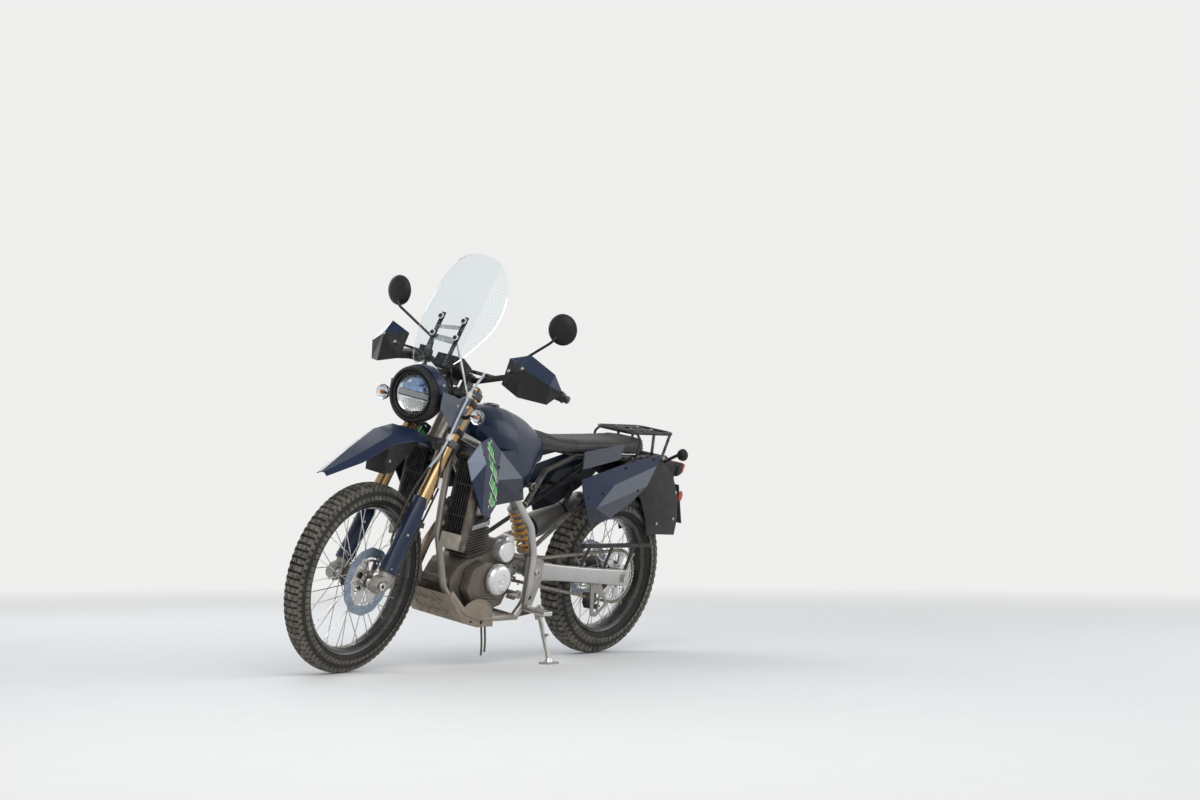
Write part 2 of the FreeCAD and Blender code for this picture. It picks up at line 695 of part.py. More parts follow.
def swingarm():
    outer = swingarm_inner_y + swingarm_width
    side = [pivot(24, 26), pivot(-60, 34), pivot(-300, 12), rear_axle + Vector(30, 0, 34),
            rear_axle + Vector(-34, 0, 26), rear_axle + Vector(-34, 0, -26), rear_axle + Vector(30, 0, -30),
            pivot(-300, -52), pivot(-60, -38), pivot(24, -26)]
    plan = [(rear_axle_x - 34, outer), (pivot_x - 330, outer), (pivot_x - 60, 112), (pivot_x + 24, 112),
            (pivot_x + 24, 88), (pivot_x - 60, 88), (pivot_x - 330, swingarm_inner_y),
            (rear_axle_x - 34, swingarm_inner_y)]
    left = side_plate(side, 80, outer).common(plan_plate(plan, 200, 500))
    pieces = [left, mirrored(left)]
    pieces.append(rod(pivot(0, 0, -112), pivot(0, 0, 112), 24, turned_sides))
    pieces.append(rod(pivot(0, 0, -118 + seat_gap), pivot(0, 0, 118 - seat_gap), 16.5))
    bridge = side_plate([pivot(-70, 28), pivot(-150, 24), pivot(-150, -34), pivot(-70, -34)], -92, 92)
    pieces.append(bridge)
    shape = joined(pieces)
    bores = [round_rod(pivot(0, 0, -150), pivot(0, 0, 150), axle_r),
             round_rod(rear_axle + sideways * -150, rear_axle + sideways * 150, axle_r + seat_gap)]
    return shape.cut(Part.makeCompound(bores))


def rear_axle_bolt():
    outer = swingarm_inner_y + swingarm_width
    profile = [(0, -outer - 12), (16, -outer - 12), (16, -outer - seat_gap), (axle_r, -outer - seat_gap),
               (axle_r, outer + seat_gap), (16, outer + seat_gap), (16, outer + 12), (0, outer + 12)]
    return turned(profile, rear_axle, sideways)


def shock():
    low = shock_low
    up = (shock_top - low).normalize()
    length = shock_top.distanceToPoint(low) - shock_tube_r - seat_gap
    profile = [(0, 0), (14, 0), (14, 30), (36, 36), (36, 44)]
    coils = 6
    for index in range(coils):
        h = 48 + index * 26
        profile += [(27, h), (38, h + 6), (38, h + 12), (27, h + 20)]
    profile += [(36, 212), (36, 222), (24, 224), (24, length), (0, length)]
    return turned(profile, low, up, 20)


def chain_guards(arm):
    """Upper rail on three struts above the left arm, and the lower guide with its rub block."""
    y0, y1 = 108, 114
    rail = side_plate([pivot(-300, 84), pivot(-300, 98), Vector(-150, 0, 468), Vector(-168, 0, 452)], 96, 118)
    pieces = [rail]
    for x, z_low in ((pivot_x - 310, 380), (120, 366), (-20, 352)):
        pieces.append(side_plate([Vector(x, 0, z_low), Vector(x + 16, 0, z_low), Vector(x - 24, 0, 462),
                                  Vector(x - 40, 0, 462)], y0, y1))
    lower = side_plate([pivot(-390, -50), pivot(-402, -110), pivot(-420, -196), pivot(-455, -200),
                        pivot(-520, -150), pivot(-500, -120), pivot(-440, -50)], 98, 104)
    inner = side_plate([pivot(-396, -104), pivot(-420, -170), pivot(-455, -174), pivot(-496, -146),
                        pivot(-484, -112)], 61, 66)
    block = side_plate([pivot(-400, -138), pivot(-420, -166), pivot(-455, -170), pivot(-490, -156)], 61, 100)
    return Part.makeCompound([joined(pieces).cut(arm), joined([lower, inner, block]).cut(arm)])


def rear_caliper():
    body = side_plate([rear_axle + Vector(60, 0, 46), rear_axle + Vector(128, 0, 40), rear_axle + Vector(120, 0, 96),
                       rear_axle + Vector(62, 0, 104)], -94, -50)
    slot = Part.makeCylinder(rear_disc_r + 6, disc_thickness + 6,
                             rear_axle + Vector(0, rear_disc_y - disc_thickness / 2 - 3, 0), sideways)
    hanger = side_plate([rear_axle + Vector(-18, 0, -18), rear_axle + Vector(20, 0, -18),
                         rear_axle + Vector(96, 0, 40), rear_axle + Vector(70, 0, 60),
                         rear_axle + Vector(-18, 0, 18)], -95, -88)
    hole = round_rod(rear_axle + sideways * -100, rear_axle + sideways * -40, axle_r + seat_gap)
    return joined([body.cut(slot), hanger]).cut(hole)


# Bodywork: the columns are x, z, half width at the belly and half width at the top.

def tank(saddles):
    outline = [head(-118, 18), head(-122, 50), head(-150, 58), head(-235, 62), head(-375, 20), pivot(36, 520),
               pivot(22, 466), pivot(12, 410), pivot(136, 298), pivot(170, 292), head(-222, -148), head(-125, -68)]
    body = side_plate(outline, -128, 128)
    plan = [(head_x - 112, 62), (head_x - 180, 104), (head_x - 320, 126), (head_x - 400, 112), (pivot_x + 6, 74)]
    plan = plan + [(x, -y) for x, y in reversed(plan)]
    body = body.common(plan_plate(plan, 600, 1050))
    crown = [(-130, 600), (130, 600), (130, 840), (96, 930), (44, 1000), (-44, 1000), (-96, 930), (-130, 840)]
    front = closed_face([Vector(500, y, z) for y, z in crown]).extrude(Vector(600, 0, 0))
    body = body.common(front)
    cap = turned([(0, 0), (34, 0), (34, 12), (28, 18), (0, 18)], head(-250, 50), Vector(0.05, 0, 1))
    return joined([body, cap]).cut(saddles)


def seat():
    """Long flat bench: columns are x, underside z, top z, half width below and half width on top."""
    base = rail_z + rail_r + seat_gap
    stations = [
        (588, base + 10, 912, 66, 50),
        (470, base, 886, 92, 74),
        (300, base, 884, 104, 92),
        (60, base, 894, 100, 88),
        (-72, base, 896, 84, 70),
    ]
    sections = []
    for x, low, high, below, above in stations:
        shoulder = high - 20
        sections.append([Vector(x, -below, low), Vector(x, below, low), Vector(x, below, shoulder),
                         Vector(x, above, high), Vector(x, -above, high), Vector(x, -below, shoulder)])
    return loft(sections)


def shrouds(saddles):
    corners = {
        "top": head(-4, -59, 190), "nose": head(59, -125, 196), "chin": head(27, -196, 200),
        "hem": head(-61, -321, 196), "toe": head(-116, -333, 184), "heel": head(-166, -291, 168),
        "tail": pivot(153, 284, 148), "tail_top": pivot(169, 365, 142), "back": head(-271, -93, 134),
        "brow": head(-180, -93, 142), "shoulder": head(-86, -39, 164), "ridge": head(-31, -131, 206),
        "waist": head(-141, -196, 178),
    }
    faces = [
        ["top", "nose", "ridge"], ["nose", "chin", "ridge"], ["chin", "hem", "ridge"], ["hem", "waist", "ridge"],
        ["hem", "toe", "waist"], ["toe", "heel", "waist"], ["top", "ridge", "shoulder"],
        ["ridge", "waist", "shoulder"], ["shoulder", "waist", "brow"], ["brow", "waist", "tail_top"],
        ["brow", "tail_top", "back"], ["waist", "heel", "tail"], ["waist", "tail", "tail_top"],
    ]
    skin = faceted_shell(corners, faces, Vector(0, -shell, 0))
    boss = rod(head(-36, -230, 176.3), head(-36, -230, 192), 10)
    foot = rod(pivot(215, 323, 124), pivot(215, 323, 152), 9)
    left = joined([skin, boss, foot]).cut(saddles)
    return both(left)


def side_panels(saddles):
    corners = {
        "front": Vector(386, 140, 732), "upper": Vector(150, 142, 792), "rear": Vector(-116, 128, 834),
        "rear_low": Vector(-95, 132, 790), "corner": Vector(-42, 138, 711), "hem": Vector(42, 142, 649),
        "belly": Vector(180, 146, 580), "toe": Vector(307, 146, 556), "shin": Vector(350, 146, 640),
        "ridge": Vector(191, 152, 714), "knee": Vector(285, 153, 622),
    }
    faces = [
        ["front", "upper", "ridge"], ["upper", "rear", "rear_low"], ["upper", "rear_low", "ridge"],
        ["ridge", "rear_low", "corner"], ["ridge", "corner", "knee"], ["knee", "corner", "hem"],
        ["knee", "hem", "belly"], ["knee", "belly", "toe"], ["front", "ridge", "shin"],
        ["shin", "ridge", "knee"], ["shin", "knee", "toe"],
    ]
    skin = faceted_shell(corners, faces, Vector(0, -shell, 0))
    bosses = [rod(Vector(x, 90, z), Vector(x, y, z), 8)
              for x, z, y in ((-70, rail_z, 130), (250, 672, 147), (330, 660, 144))]
    strip_corners = {"a": Vector(371, 124, 838), "b": Vector(128, 124, 870), "c": Vector(150, 130, 812),
                     "d": Vector(374, 130, 770)}
    strip = faceted_shell(strip_corners, [["a", "b", "c"], ["a", "c", "d"]], Vector(0, -shell, 0))
    strip_boss = rod(Vector(250, rail_y, rail_z), Vector(250, 126, rail_z), 8)
    left = [joined([skin] + bosses).cut(saddles), joined([strip, strip_boss]).cut(saddles)]
    return Part.makeCompound(left + [mirrored(piece) for piece in left])


def rear_fender(saddles):
    """Channel over the rear tyre: a bent back wall between two side walls, and the plate bracket."""
    outer = [(60, 800), (-120, 800), (-215, 800), (-296, 742), (-352, 660), (-372, 560), (-366, 492)]
    inner = [(-360, 492), (-366, 560), (-346, 657), (-292, 736), (-213, 794), (-120, 794), (60, 794)]
    spine = side_plate([Vector(x, 0, z) for x, z in outer + inner], -74, 74)
    wall = [(60, 800), (-215, 800), (-296, 742), (-352, 660), (-372, 560), (-366, 492), (-225, 496), (-176, 491),
            (-150, 560), (-100, 640), (-30, 700), (60, 740)]
    left = side_plate([Vector(x, 0, z) for x, z in wall], 68, 74)
    bracket = side_plate([Vector(-352, 0, 700), Vector(-362, 0, 700), Vector(-420, 0, 540), Vector(-414, 0, 538)],
                         -62, 62)
    lamp_shelf = side_plate([Vector(-150, 0, 800), Vector(-290, 0, 812), Vector(-370, 0, 770), Vector(-352, 0, 700),
                             Vector(-292, 0, 740), Vector(-213, 0, 796)], -34, 34)
    mount = side_plate([Vector(-217, 0, 796), Vector(-193, 0, 796), Vector(-193, 0, rail_z), Vector(-217, 0, rail_z)],
                       -30, 30)
    return joined([spine, left, mirrored(left), bracket, lamp_shelf, mount]).cut(saddles)


def rear_lights():
    lamp = side_plate([Vector(-371, 0, 772), Vector(-396, 0, 790), Vector(-420, 0, 780), Vector(-408, 0, 744),
                       Vector(-366, 0, 730)], -42, 42)
    indicators = []
    for side in (-1, 1):
        root = Vector(-250, side * (34 + seat_gap), 793)
        knee = Vector(-250, side * 48, 793)
        tip = Vector(-214, side * 138, 836)
        stalk = joined([rod(root, knee, 8), rod(knee, tip, 7)])
        pod = turned([(0, -12), (16, -12), (25, 6), (25, 14), (0, 22)], Vector(-214, side * 158, 840),
                     Vector(-1, 0, 0.1), 20)
        indicators.append(joined([stalk, rod(tip, Vector(-214, side * 158, 838), 7), pod]))
    reflector = side_plate([Vector(-366, 0, 676), Vector(-368, 0, 640), Vector(-400, 0, 630), Vector(-398, 0, 668)],
                           62.3, 66)
    return Part.makeCompound([lamp] + indicators + [reflector])


def rack(saddles):
    """Tubular carrier: outer loop, cross bars, and three pairs of legs down to the tail rails."""
    z = 914.0
    loop = [Vector(50, 0, z), Vector(50, 92, z), Vector(-215, 92, z), Vector(-235, 60, z), Vector(-235, 0, z)]
    left = tube(loop, 7, 30, rod_sides)
    pieces = [left, mirrored(left)]
    for x in (-10, -80, -150):
        pieces.append(rod(Vector(x, -92, z), Vector(x, 92, z), 6))
    for y in (-36, 36):
        pieces.append(bar(Vector(-8, y, z + 4), Vector(-152, y, z + 4), 22, 6, Vector(0, 0, 1)))
    for foot_x, top_x in ((-110, -96), (-180, -205)):
        leg = rod(Vector(foot_x, rail_y, rail_z), Vector(top_x, 92, z), 6)
        pieces += [leg, mirrored(leg)]
    front = tube([Vector(20, 92, z), Vector(20, 116, z - 24), Vector(28, 116, rail_z + 12), Vector(28, rail_y, rail_z)],
                 5, 14, rod_sides)
    pieces += [front, mirrored(front)]
    shape = joined(pieces).cut(saddles)
    holes = []
    for x in (-45, -115):
        for y in (-35, 35):
            holes.append(round_rod(Vector(x, y, z - 10), Vector(x, y, z + 20), 3.3))
    return shape.cut(Part.makeCompound(holes))


def foot_controls(saddles):
    """Folding foot pegs, gear lever on the left and brake pedal on the right."""
    peg_bar = rod(pivot(36, -136, 138 + seat_gap), pivot(36, -136, 168), 9)
    plate = plan_plate([(pivot_x + 14, 160), (pivot_x + 66, 160), (pivot_x + 58, 250), (pivot_x + 8, 250)],
                       pivot_z - 144, pivot_z - 128)
    hollow = plan_plate([(pivot_x + 24, 172), (pivot_x + 56, 172), (pivot_x + 49, 240), (pivot_x + 17, 240)],
                        pivot_z - 150, pivot_z - 120)
    peg = joined([peg_bar, plate.cut(hollow)]).cut(saddles)
    lever = joined([
        rod(pivot(86, -84, 60 + seat_gap), pivot(86, -84, 140), 10),
        bar(pivot(86, -84, 134), pivot(166, -84, 146), 9, 16, Vector(0, 0, 1)),
        rod(pivot(164, -84, 142), pivot(164, -84, 182), 8),
    ])
    pedal = joined([
        rod(pivot(30, -112, -138 - seat_gap), pivot(30, -112, -196), 8),
        bar(pivot(30, -112, -192), pivot(200, -96, -192), 9, 14, Vector(0, 0, 1)),
        rod(pivot(200, -96, -188), pivot(200, -96, -214), 9),
    ])
    return Part.makeCompound([peg, mirrored(peg), lever, pedal])


# Steering pieces, before they are turned

caliper_out = Vector(-0.995, 0, 0.1).normalize()
caliper_along = Vector(-caliper_out.z, 0, caliper_out.x)


def leg_axis(up, y):
    return fork(up, clamp_offset, y)


def fork_outers():
    top = upper_clamp_up + clamp_thickness / 2 + 12
    low = top - outer_tube_length
    left = rod(leg_axis(low, leg_spacing_half), leg_axis(top, leg_spacing_half), outer_tube_r, turned_sides)
    cap = rod(leg_axis(top, leg_spacing_half), leg_axis(top + 8, leg_spacing_half), 16)
    return both(joined([left, cap]))


def fork_sliders():
    """Bright inner tubes with the forged feet that hold the front axle."""
    top = upper_clamp_up + clamp_thickness / 2 + 12 - outer_tube_length
    foot_up = axle_up + 40
    left = [rod(leg_axis(foot_up, leg_spacing_half), leg_axis(top - seat_gap, leg_spacing_half), slider_r,
                turned_sides)]
    left.append(turned([(0, -16), (foot_r, -16), (foot_r, 30), (0, 30)], leg_axis(foot_up, leg_spacing_half), steer_up))
    y = leg_spacing_half
    shoe = [fork(axle_up + 30, clamp_offset - 20, 0), fork(axle_up + 40, clamp_offset + 22, 0),
            fork(axle_up + 22, axle_ahead + 16, 0), fork(axle_up - 20, axle_ahead + 20, 0),
            fork(axle_up - 28, axle_ahead - 14, 0), fork(axle_up, clamp_offset - 22, 0)]
    left.append(side_plate(shoe, y - 20, y + 18))
    solid = joined(left)
    bore = round_rod(front_axle + sideways * (y - 30), front_axle + sideways * (y + 30), axle_r)
    solid = solid.cut(bore)
    hanger = side_plate([fork(axle_up + 46, clamp_offset - 10), fork(axle_up + 12, clamp_offset - 10),
                         front_axle + caliper_out * 96 + caliper_along * 30,
                         front_axle + caliper_out * 96 - caliper_along * 12], 66 + seat_gap, 80)
    return Part.makeCompound([joined([solid, hanger]), mirrored(solid), front_axle_shaft()])


def fork_guards():
    """Long plastic shields wrapped round the front of each slider."""
    top = upper_clamp_up + clamp_thickness / 2 - outer_tube_length + 40
    low = axle_up + 58
    outer = outer_tube_r + 9
    inner = outer_tube_r + 4
    left = rod(leg_axis(low, leg_spacing_half), leg_axis(top, leg_spacing_half), outer, turned_sides)
    hollow = rod(leg_axis(low - 1, leg_spacing_half), leg_axis(top + 1, leg_spacing_half), inner, turned_sides)
    left = left.cut(hollow)
    behind = steer_ahead * 34
    half = bar(leg_axis(low - 2, leg_spacing_half) - behind, leg_axis(top + 2, leg_spacing_half) - behind, 90, 60, sideways)
    foot = turned([(foot_r + seat_gap, 0), (inner + 2, 0), (inner + 2, 10), (foot_r + seat_gap, 10)],
                  leg_axis(low, leg_spacing_half), steer_up)
    return both(joined([left.cut(half), foot]))


def triple_clamps():
    pieces = [round_rod(fork(lower_clamp_up - clamp_thickness / 2, 0), fork(upper_clamp_up + clamp_thickness / 2, 0),
                        stem_r)]
    for up in (lower_clamp_up, upper_clamp_up):
        low = up - clamp_thickness / 2
        half = [(-30, 26), (8, 112), (52, 134), (70, 112), (60, 40)]
        outline = half + [(a, -y) for a, y in reversed(half)]
        flat = [fork(low, a, y) for a, y in outline]
        pieces.append(closed_face(flat).extrude(steer_up * clamp_thickness))
    pieces.append(rod(fork(upper_clamp_up + 10, 0), fork(upper_clamp_up + 30, 0), 20))
    solid = joined(pieces)
    holes = []
    for y in (-leg_spacing_half, leg_spacing_half):
        holes.append(rod(leg_axis(lower_clamp_up - 60, y), leg_axis(upper_clamp_up + 60, y), outer_tube_r + seat_gap,
                         turned_sides))
    return solid.cut(Part.makeCompound(holes))


bar_centre_up = upper_clamp_up + 62.0
bar_end_y = 402.0
perch_y = 222.0
mirror_y = 192.0


def bar_points():
    return [fork(bar_centre_up, 20, 0), fork(bar_centre_up, 20, 76), fork(bar_centre_up + 48, 2, 170),
            fork(bar_centre_up + 56, -30, 282), fork(bar_centre_up + 50, -66, bar_end_y)]


def handlebar():
    left = tube(bar_points(), 11, 50)
    pieces = [left, mirrored(left)]
    for y in (-42, 42):
        pieces.append(bar(fork(upper_clamp_up + clamp_thickness / 2 + seat_gap, 20, y), fork(bar_centre_up + 16, 20, y),
                          36, 30, sideways))
    pieces.append(rod(fork(bar_centre_up + 34, 12, -138), fork(bar_centre_up + 34, 12, 138), 7))
    return joined(pieces)


def bar_run(y):
    """The two points of the bar's run that holds a sideways place."""
    points = bar_points()
    runs = list(zip(points, points[1:]))
    return next(((a, b) for a, b in runs if a.y <= y <= b.y), runs[-1])


def bar_line(y):
    """Middle of the bar at a sideways place."""
    inner, outer = bar_run(y)
    return inner + (outer - inner) * ((y - inner.y) / (outer.y - inner.y))


def bar_along(y):
    inner, outer = bar_run(y)
    return (outer - inner).normalize()


def controls():
    """Grips, switch pods and levers; the bar runs through them."""
    start = bar_line(290)
    along = bar_along(290)
    grip = [(11 + seat_gap, 0), (19, 0), (19, 5), (16.5, 8), (16.5, 104), (19, 108), (19, 112), (11 + seat_gap, 112)]
    pod = [(11.6, 0), (20, 0), (24, 8), (24, 30), (20, 34), (11.6, 34)]
    left = [turned(grip, start, along), turned(pod, bar_line(234), bar_along(234))]
    lever_in = bar_line(perch_y) + steer_ahead * 44
    lever_out = bar_line(388) + steer_ahead * 58
    lever = bar(lever_in, lever_out, 7, 12, steer_up)
    clamp = turned([(11.6, -7), (18, -7), (18, 7), (11.6, 7)], bar_line(perch_y), bar_along(perch_y))
    arm = bar(bar_line(perch_y) + steer_ahead * 16, lever_in + steer_ahead * 4, 14, 12, steer_up)
    left.append(joined([clamp, arm, lever]))
    right = [mirrored(piece) for piece in left]
    root = bar_line(perch_y + 9)
    root.y = -root.y
    reservoir = bar(root + steer_up * 14, root + steer_up * 42, 30, 40, sideways)
    right[-1] = joined([right[-1], reservoir])
    return Part.makeCompound(left + right)


def hand_guards():
    """Wide faceted shields in front of the grips, held at the bar's end and inside the grip."""
    corners = {
        "inner_top": fork(248, 112, 232), "inner_low": fork(150, 96, 236), "mid_top": fork(276, 122, 318),
        "mid": fork(214, 136, 320), "mid_low": fork(118, 96, 322), "outer_top": fork(250, 60, 404),
        "outer": fork(200, 66, 410), "outer_low": fork(142, 30, 404), "back": fork(214, -8, 420),
    }
    faces = [
        ["inner_top", "mid_top", "mid"], ["inner_top", "mid", "inner_low"], ["inner_low", "mid", "mid_low"],
        ["mid_top", "outer_top", "outer"], ["mid_top", "outer", "mid"], ["mid", "outer", "outer_low"],
        ["mid", "outer_low", "mid_low"], ["outer_top", "back", "outer"], ["outer", "back", "outer_low"],
    ]
    skin = faceted_shell(corners, faces, steer_ahead * -4)
    along = bar_along(bar_end_y)
    cap_start = bar_points()[-1] + along * seat_gap
    cap = rod(cap_start, cap_start + along * 16, 14)
    strut = bar(cap_start + along * 9, corners["back"] + steer_ahead * 6, 12, 8, steer_up)
    return both(joined([skin, cap, strut]))


def mirrors():
    root = bar_line(mirror_y)
    top = fork(404, 96, 376)
    stem = tube([root + steer_up * 14, root + steer_up * 80 + Vector(8, 12, 0), fork(352, 92, 352), top], 5, 30)
    collar = turned([(11.6, -7), (17, -7), (17, 7), (11.6, 7)], root, bar_along(mirror_y))
    face = Vector(-1, -0.12, 0.06)
    glass = turned([(0, -9), (50, -9), (57, -4), (57, 2), (40, 14), (0, 18)], top + Vector(0, 0, 4), face * -1)
    return both(joined([stem, collar, glass]))


headlight_centre = fork(5, 186)


def headlight():
    centre = headlight_centre
    profile = [(0, -62), (48, -60), (92, -20), (100, 10), (103, 20), (103, 52), (96, 60), (84, 60), (80, 50), (0, 44)]
    bucket = turned(profile, centre, Vector(1, 0, -0.04))
    ears = [rod(centre + Vector(6, s * 92, 0), centre + Vector(6, s * 116, 0), 14) for s in (-1, 1)]
    return joined([bucket] + ears)


def mask():
    """Side plates from the fork legs to the headlight, and the meter behind the screen."""
    centre = headlight_centre
    outline = [fork(80, 6), fork(82, 86), fork(44, 128), centre + Vector(30, 0, 34), centre + Vector(30, 0, -30),
               fork(-60, 90), fork(-64, 14)]
    plate = side_plate(outline, 116.3, 121)
    clip = turned([(outer_tube_r + seat_gap, -10), (outer_tube_r + 6, -10), (outer_tube_r + 6, 10),
                   (outer_tube_r + seat_gap, 10)], leg_axis(66, leg_spacing_half), steer_up)
    clip_low = clip.copy()
    clip_low.translate(steer_up * -116)
    left = joined([plate, clip, clip_low])
    legs = [rod(leg_axis(-200, s * leg_spacing_half), leg_axis(200, s * leg_spacing_half), outer_tube_r + seat_gap,
                turned_sides) for s in (-1, 1)]
    left = left.cut(Part.makeCompound(legs))
    meter = bar(fork(upper_clamp_up + 48, 96), fork(upper_clamp_up + 94, 92), 116, 76, steer_ahead)
    stem = bar(fork(upper_clamp_up + clamp_thickness / 2 + seat_gap, 56), fork(upper_clamp_up + 60, 56), 60, 6, steer_ahead)
    stem = joined([stem, bar(fork(upper_clamp_up + 56, 53), fork(upper_clamp_up + 56, 64), 60, 8, steer_up)])
    cross = rod(fork(66, 96, -117), fork(66, 96, 117), 5)
    return Part.makeCompound([joined([left, mirrored(left), cross, screen_mount()]), joined([meter, stem])])


screen_low = (106.0, 226.0)
screen_top = (560.0, 214.0)
screen_r = 330.0
screen_t = 4.0


def windscreen():
    """Tall clear screen: a slice of a wide tube, cut to its outline seen from the front."""
    low = fork(*screen_low)
    top = fork(*screen_top)
    up = (top - low).normalize()
    ahead = Vector(up.z, 0, -up.x)
    radius = screen_r
    centre = low - ahead * radius - up * 20
    length = top.distanceToPoint(low) + 40
    sheet = Part.makeCylinder(radius, length, centre, up).cut(Part.makeCylinder(radius - screen_t, length, centre, up))
    outline = [(0, -70), (50, -104), (200, -160), (280, -164), (408, -126), (458, -74), (468, 0)]
    outline = outline + [(h, -y) for h, y in reversed(outline[:-1])]
    flat = [low + up * h + sideways * y + ahead * 20 for h, y in outline]
    window = closed_face(flat).extrude(ahead * -200)
    return sheet.common(window)


def screen_mount():
    """Two uprights behind the screen with rods back to the bar clamp."""
    low = fork(*screen_low)
    top = fork(*screen_top)
    up = (top - low).normalize()
    ahead = Vector(up.z, 0, -up.x)
    pieces = []
    for y in (-52, 52):
        foot = low + up * 20 - ahead * 22 + sideways * y
        head_end = low + up * 218 - ahead * 14 + sideways * y
        pieces.append(bar(foot, head_end, 18, 5, ahead))
        for h in (128, 198):
            at = low + up * h + sideways * y
            edge = abs(y) + 7
            sag = screen_r - math.sqrt((screen_r - screen_t) ** 2 - edge ** 2)
            pieces.append(rod(at - ahead * 20, at - ahead * (sag + seat_gap), 7))
    pieces.append(bar(low + up * 120 - ahead * 20 - sideways * 60, low + up * 120 - ahead * 20 + sideways * 60, 5, 26, up))
    for y in (-80, 80):
        start = low + up * 120 - ahead * 20 + sideways * y * 0.7
        pieces.append(rod(start, fork(70, 80, y * 1.4825), 5))
    return joined(pieces)


def front_fender():
    """High beak over the front wheel: a creased deck with turned-down sides and a lower tongue."""
    corners = {}
    columns = ("up", "ahead", "crease", "edge", "drop")
    table = {
        "tip": (-456, 488, 6, 22, 10), "nose": (-330, 388, 30, 58, 26), "crown": (-196, 286, 44, 72, 34),
        "top": (-132, 196, 50, 76, 40), "rear": (-112, 108, 46, 62, 30), "tail": (-126, 28, 34, 42, 20),
    }
    names = list(table)
    for name in names:
        row = dict(zip(columns, table[name]))
        for side, tag in ((1, "l"), (-1, "r")):
            corners[name + "_c" + tag] = fork(row["up"], row["ahead"], side * row["crease"])
            corners[name + "_e" + tag] = fork(row["up"] - row["drop"], row["ahead"], side * row["edge"])
    faces = []
    for a, b in zip(names, names[1:]):
        faces.append([a + "_cl", b + "_cl", b + "_cr", a + "_cr"])
        faces.append([a + "_el", b + "_el", b + "_cl"])
        faces.append([a + "_el", b + "_cl", a + "_cl"])
        faces.append([a + "_cr", b + "_cr", b + "_er"])
        faces.append([a + "_cr", b + "_er", a + "_er"])
    deck = faceted_shell(corners, faces, Vector(0, 0, -4))
    tongue = side_plate([fork(-210, 300), fork(-330, 226), fork(-300, 190), fork(-136, 128), fork(-138, 196)], -46, 46)
    hollow = side_plate([fork(-212, 400), fork(-360, 240), fork(-330, 150), fork(-150, 110), fork(-150, 196)], -42, 42)
    pads = [rod(fork(lower_clamp_up - clamp_thickness / 2 - seat_gap, 48, y), fork(-129, 48, y), 8) for y in (-22, 22)]
    return joined([deck, tongue.cut(hollow)] + pads)


def front_indicators():
    pieces = []
    for side in (-1, 1):
        root = fork(4, 60, side * (121 + seat_gap))
        knee = fork(4, 60, side * 134)
        tip = fork(2, 110, side * 190)
        pod = turned([(0, -20), (18, -18), (29, 4), (29, 10), (14, 20), (0, 22)], tip + Vector(0, side * 26, 0),
                     Vector(1, side * 0.1, 0), 20)
        pieces.append(joined([rod(root, knee, 8), rod(knee, tip, 7), rod(tip, tip + Vector(0, side * 26, 0), 8), pod]))
    return Part.makeCompound(pieces)


def front_caliper():
    """Two-piston caliper behind the left leg, with its hose up to the lower clamp."""
    centre = front_axle + caliper_out * (front_disc_r - 14)
    shape = ((-30, -46), (30, -40), (34, 40), (-30, 46))
    flat = [centre + caliper_out * a + caliper_along * b for a, b in shape]
    body = side_plate(flat, 40, 66)
    slot = Part.makeCylinder(front_disc_r + 6, disc_thickness + 6,
                             front_axle + Vector(0, front_disc_y - disc_thickness / 2 - 3, 0), sideways)
    return joined([body.cut(slot), front_hose()])


def front_hose():
    y = leg_spacing_half
    start = front_axle + caliper_out * (front_disc_r + 12)
    start.y = 60
    return tube([start, start + caliper_out * 34, fork(axle_up + 170, clamp_offset - 48, y + 4),
                 fork(axle_up + 330, clamp_offset - 42, y + 12), fork(-250, clamp_offset - 5, y + 38),
                 fork(-190, clamp_offset + 27, y + 22),
                 fork(lower_clamp_up - clamp_thickness / 2 - 12, clamp_offset + 31, y + 8),
                 fork(lower_clamp_up - clamp_thickness / 2 - seat_gap, clamp_offset + 31, y + 8)], 4, 60)


def front_axle_shaft():
    y = leg_spacing_half + 26
    profile = [(axle_r - 3, -y), (axle_r, -y), (axle_r, y - 4), (15, y - 4), (15, y + 4), (axle_r - 3, y + 4)]
    fitted = [(r - (0.05 if r == axle_r else 0.0), h) for r, h in profile]
    return turned(fitted, front_axle, sideways, 0)


# Stance: how the upright machine stands on the floor

def lowest(rings, centre, axle):
    """Height of the lowest point of a wheel's rings, whose axle may be tilted."""
    spread = math.sqrt(1 - axle.z ** 2)
    return min(centre.z + y * axle.z - r * spread for r, y in rings)


steering_turn = FreeCAD.Placement(Vector(0, 0, 0), Rotation(steer_up, rest_steer_deg), head_centre)
lean_turn = FreeCAD.Placement(Vector(0, 0, 0), Rotation(Vector(1, 0, 0), -lean_deg))


def stance():
    """Lean to the left, a small pitch that brings both tyres to the floor, then the lift."""
    front_turn = lean_turn * steering_turn
    front_low = lowest([(front_tip_r, -front_crown_half), (front_tip_r, front_crown_half)], front_turn.multVec(front_axle), front_turn.Rotation.multVec(sideways))
    rear_low = lowest([(rear_tip_r, -rear_crown_half), (rear_tip_r, rear_crown_half)], lean_turn.multVec(rear_axle), lean_turn.Rotation.multVec(sideways))
    base = front_axle.x - rear_axle.x
    pitch = math.degrees(math.atan2(front_low - rear_low, base))
    pitched = FreeCAD.Placement(Vector(0, 0, 0), Rotation(sideways, pitch), Vector(rear_axle.x, 0, 0)) * lean_turn
    return FreeCAD.Placement(Vector(0, 0, -rear_low), Rotation()) * pitched


standing = stance()

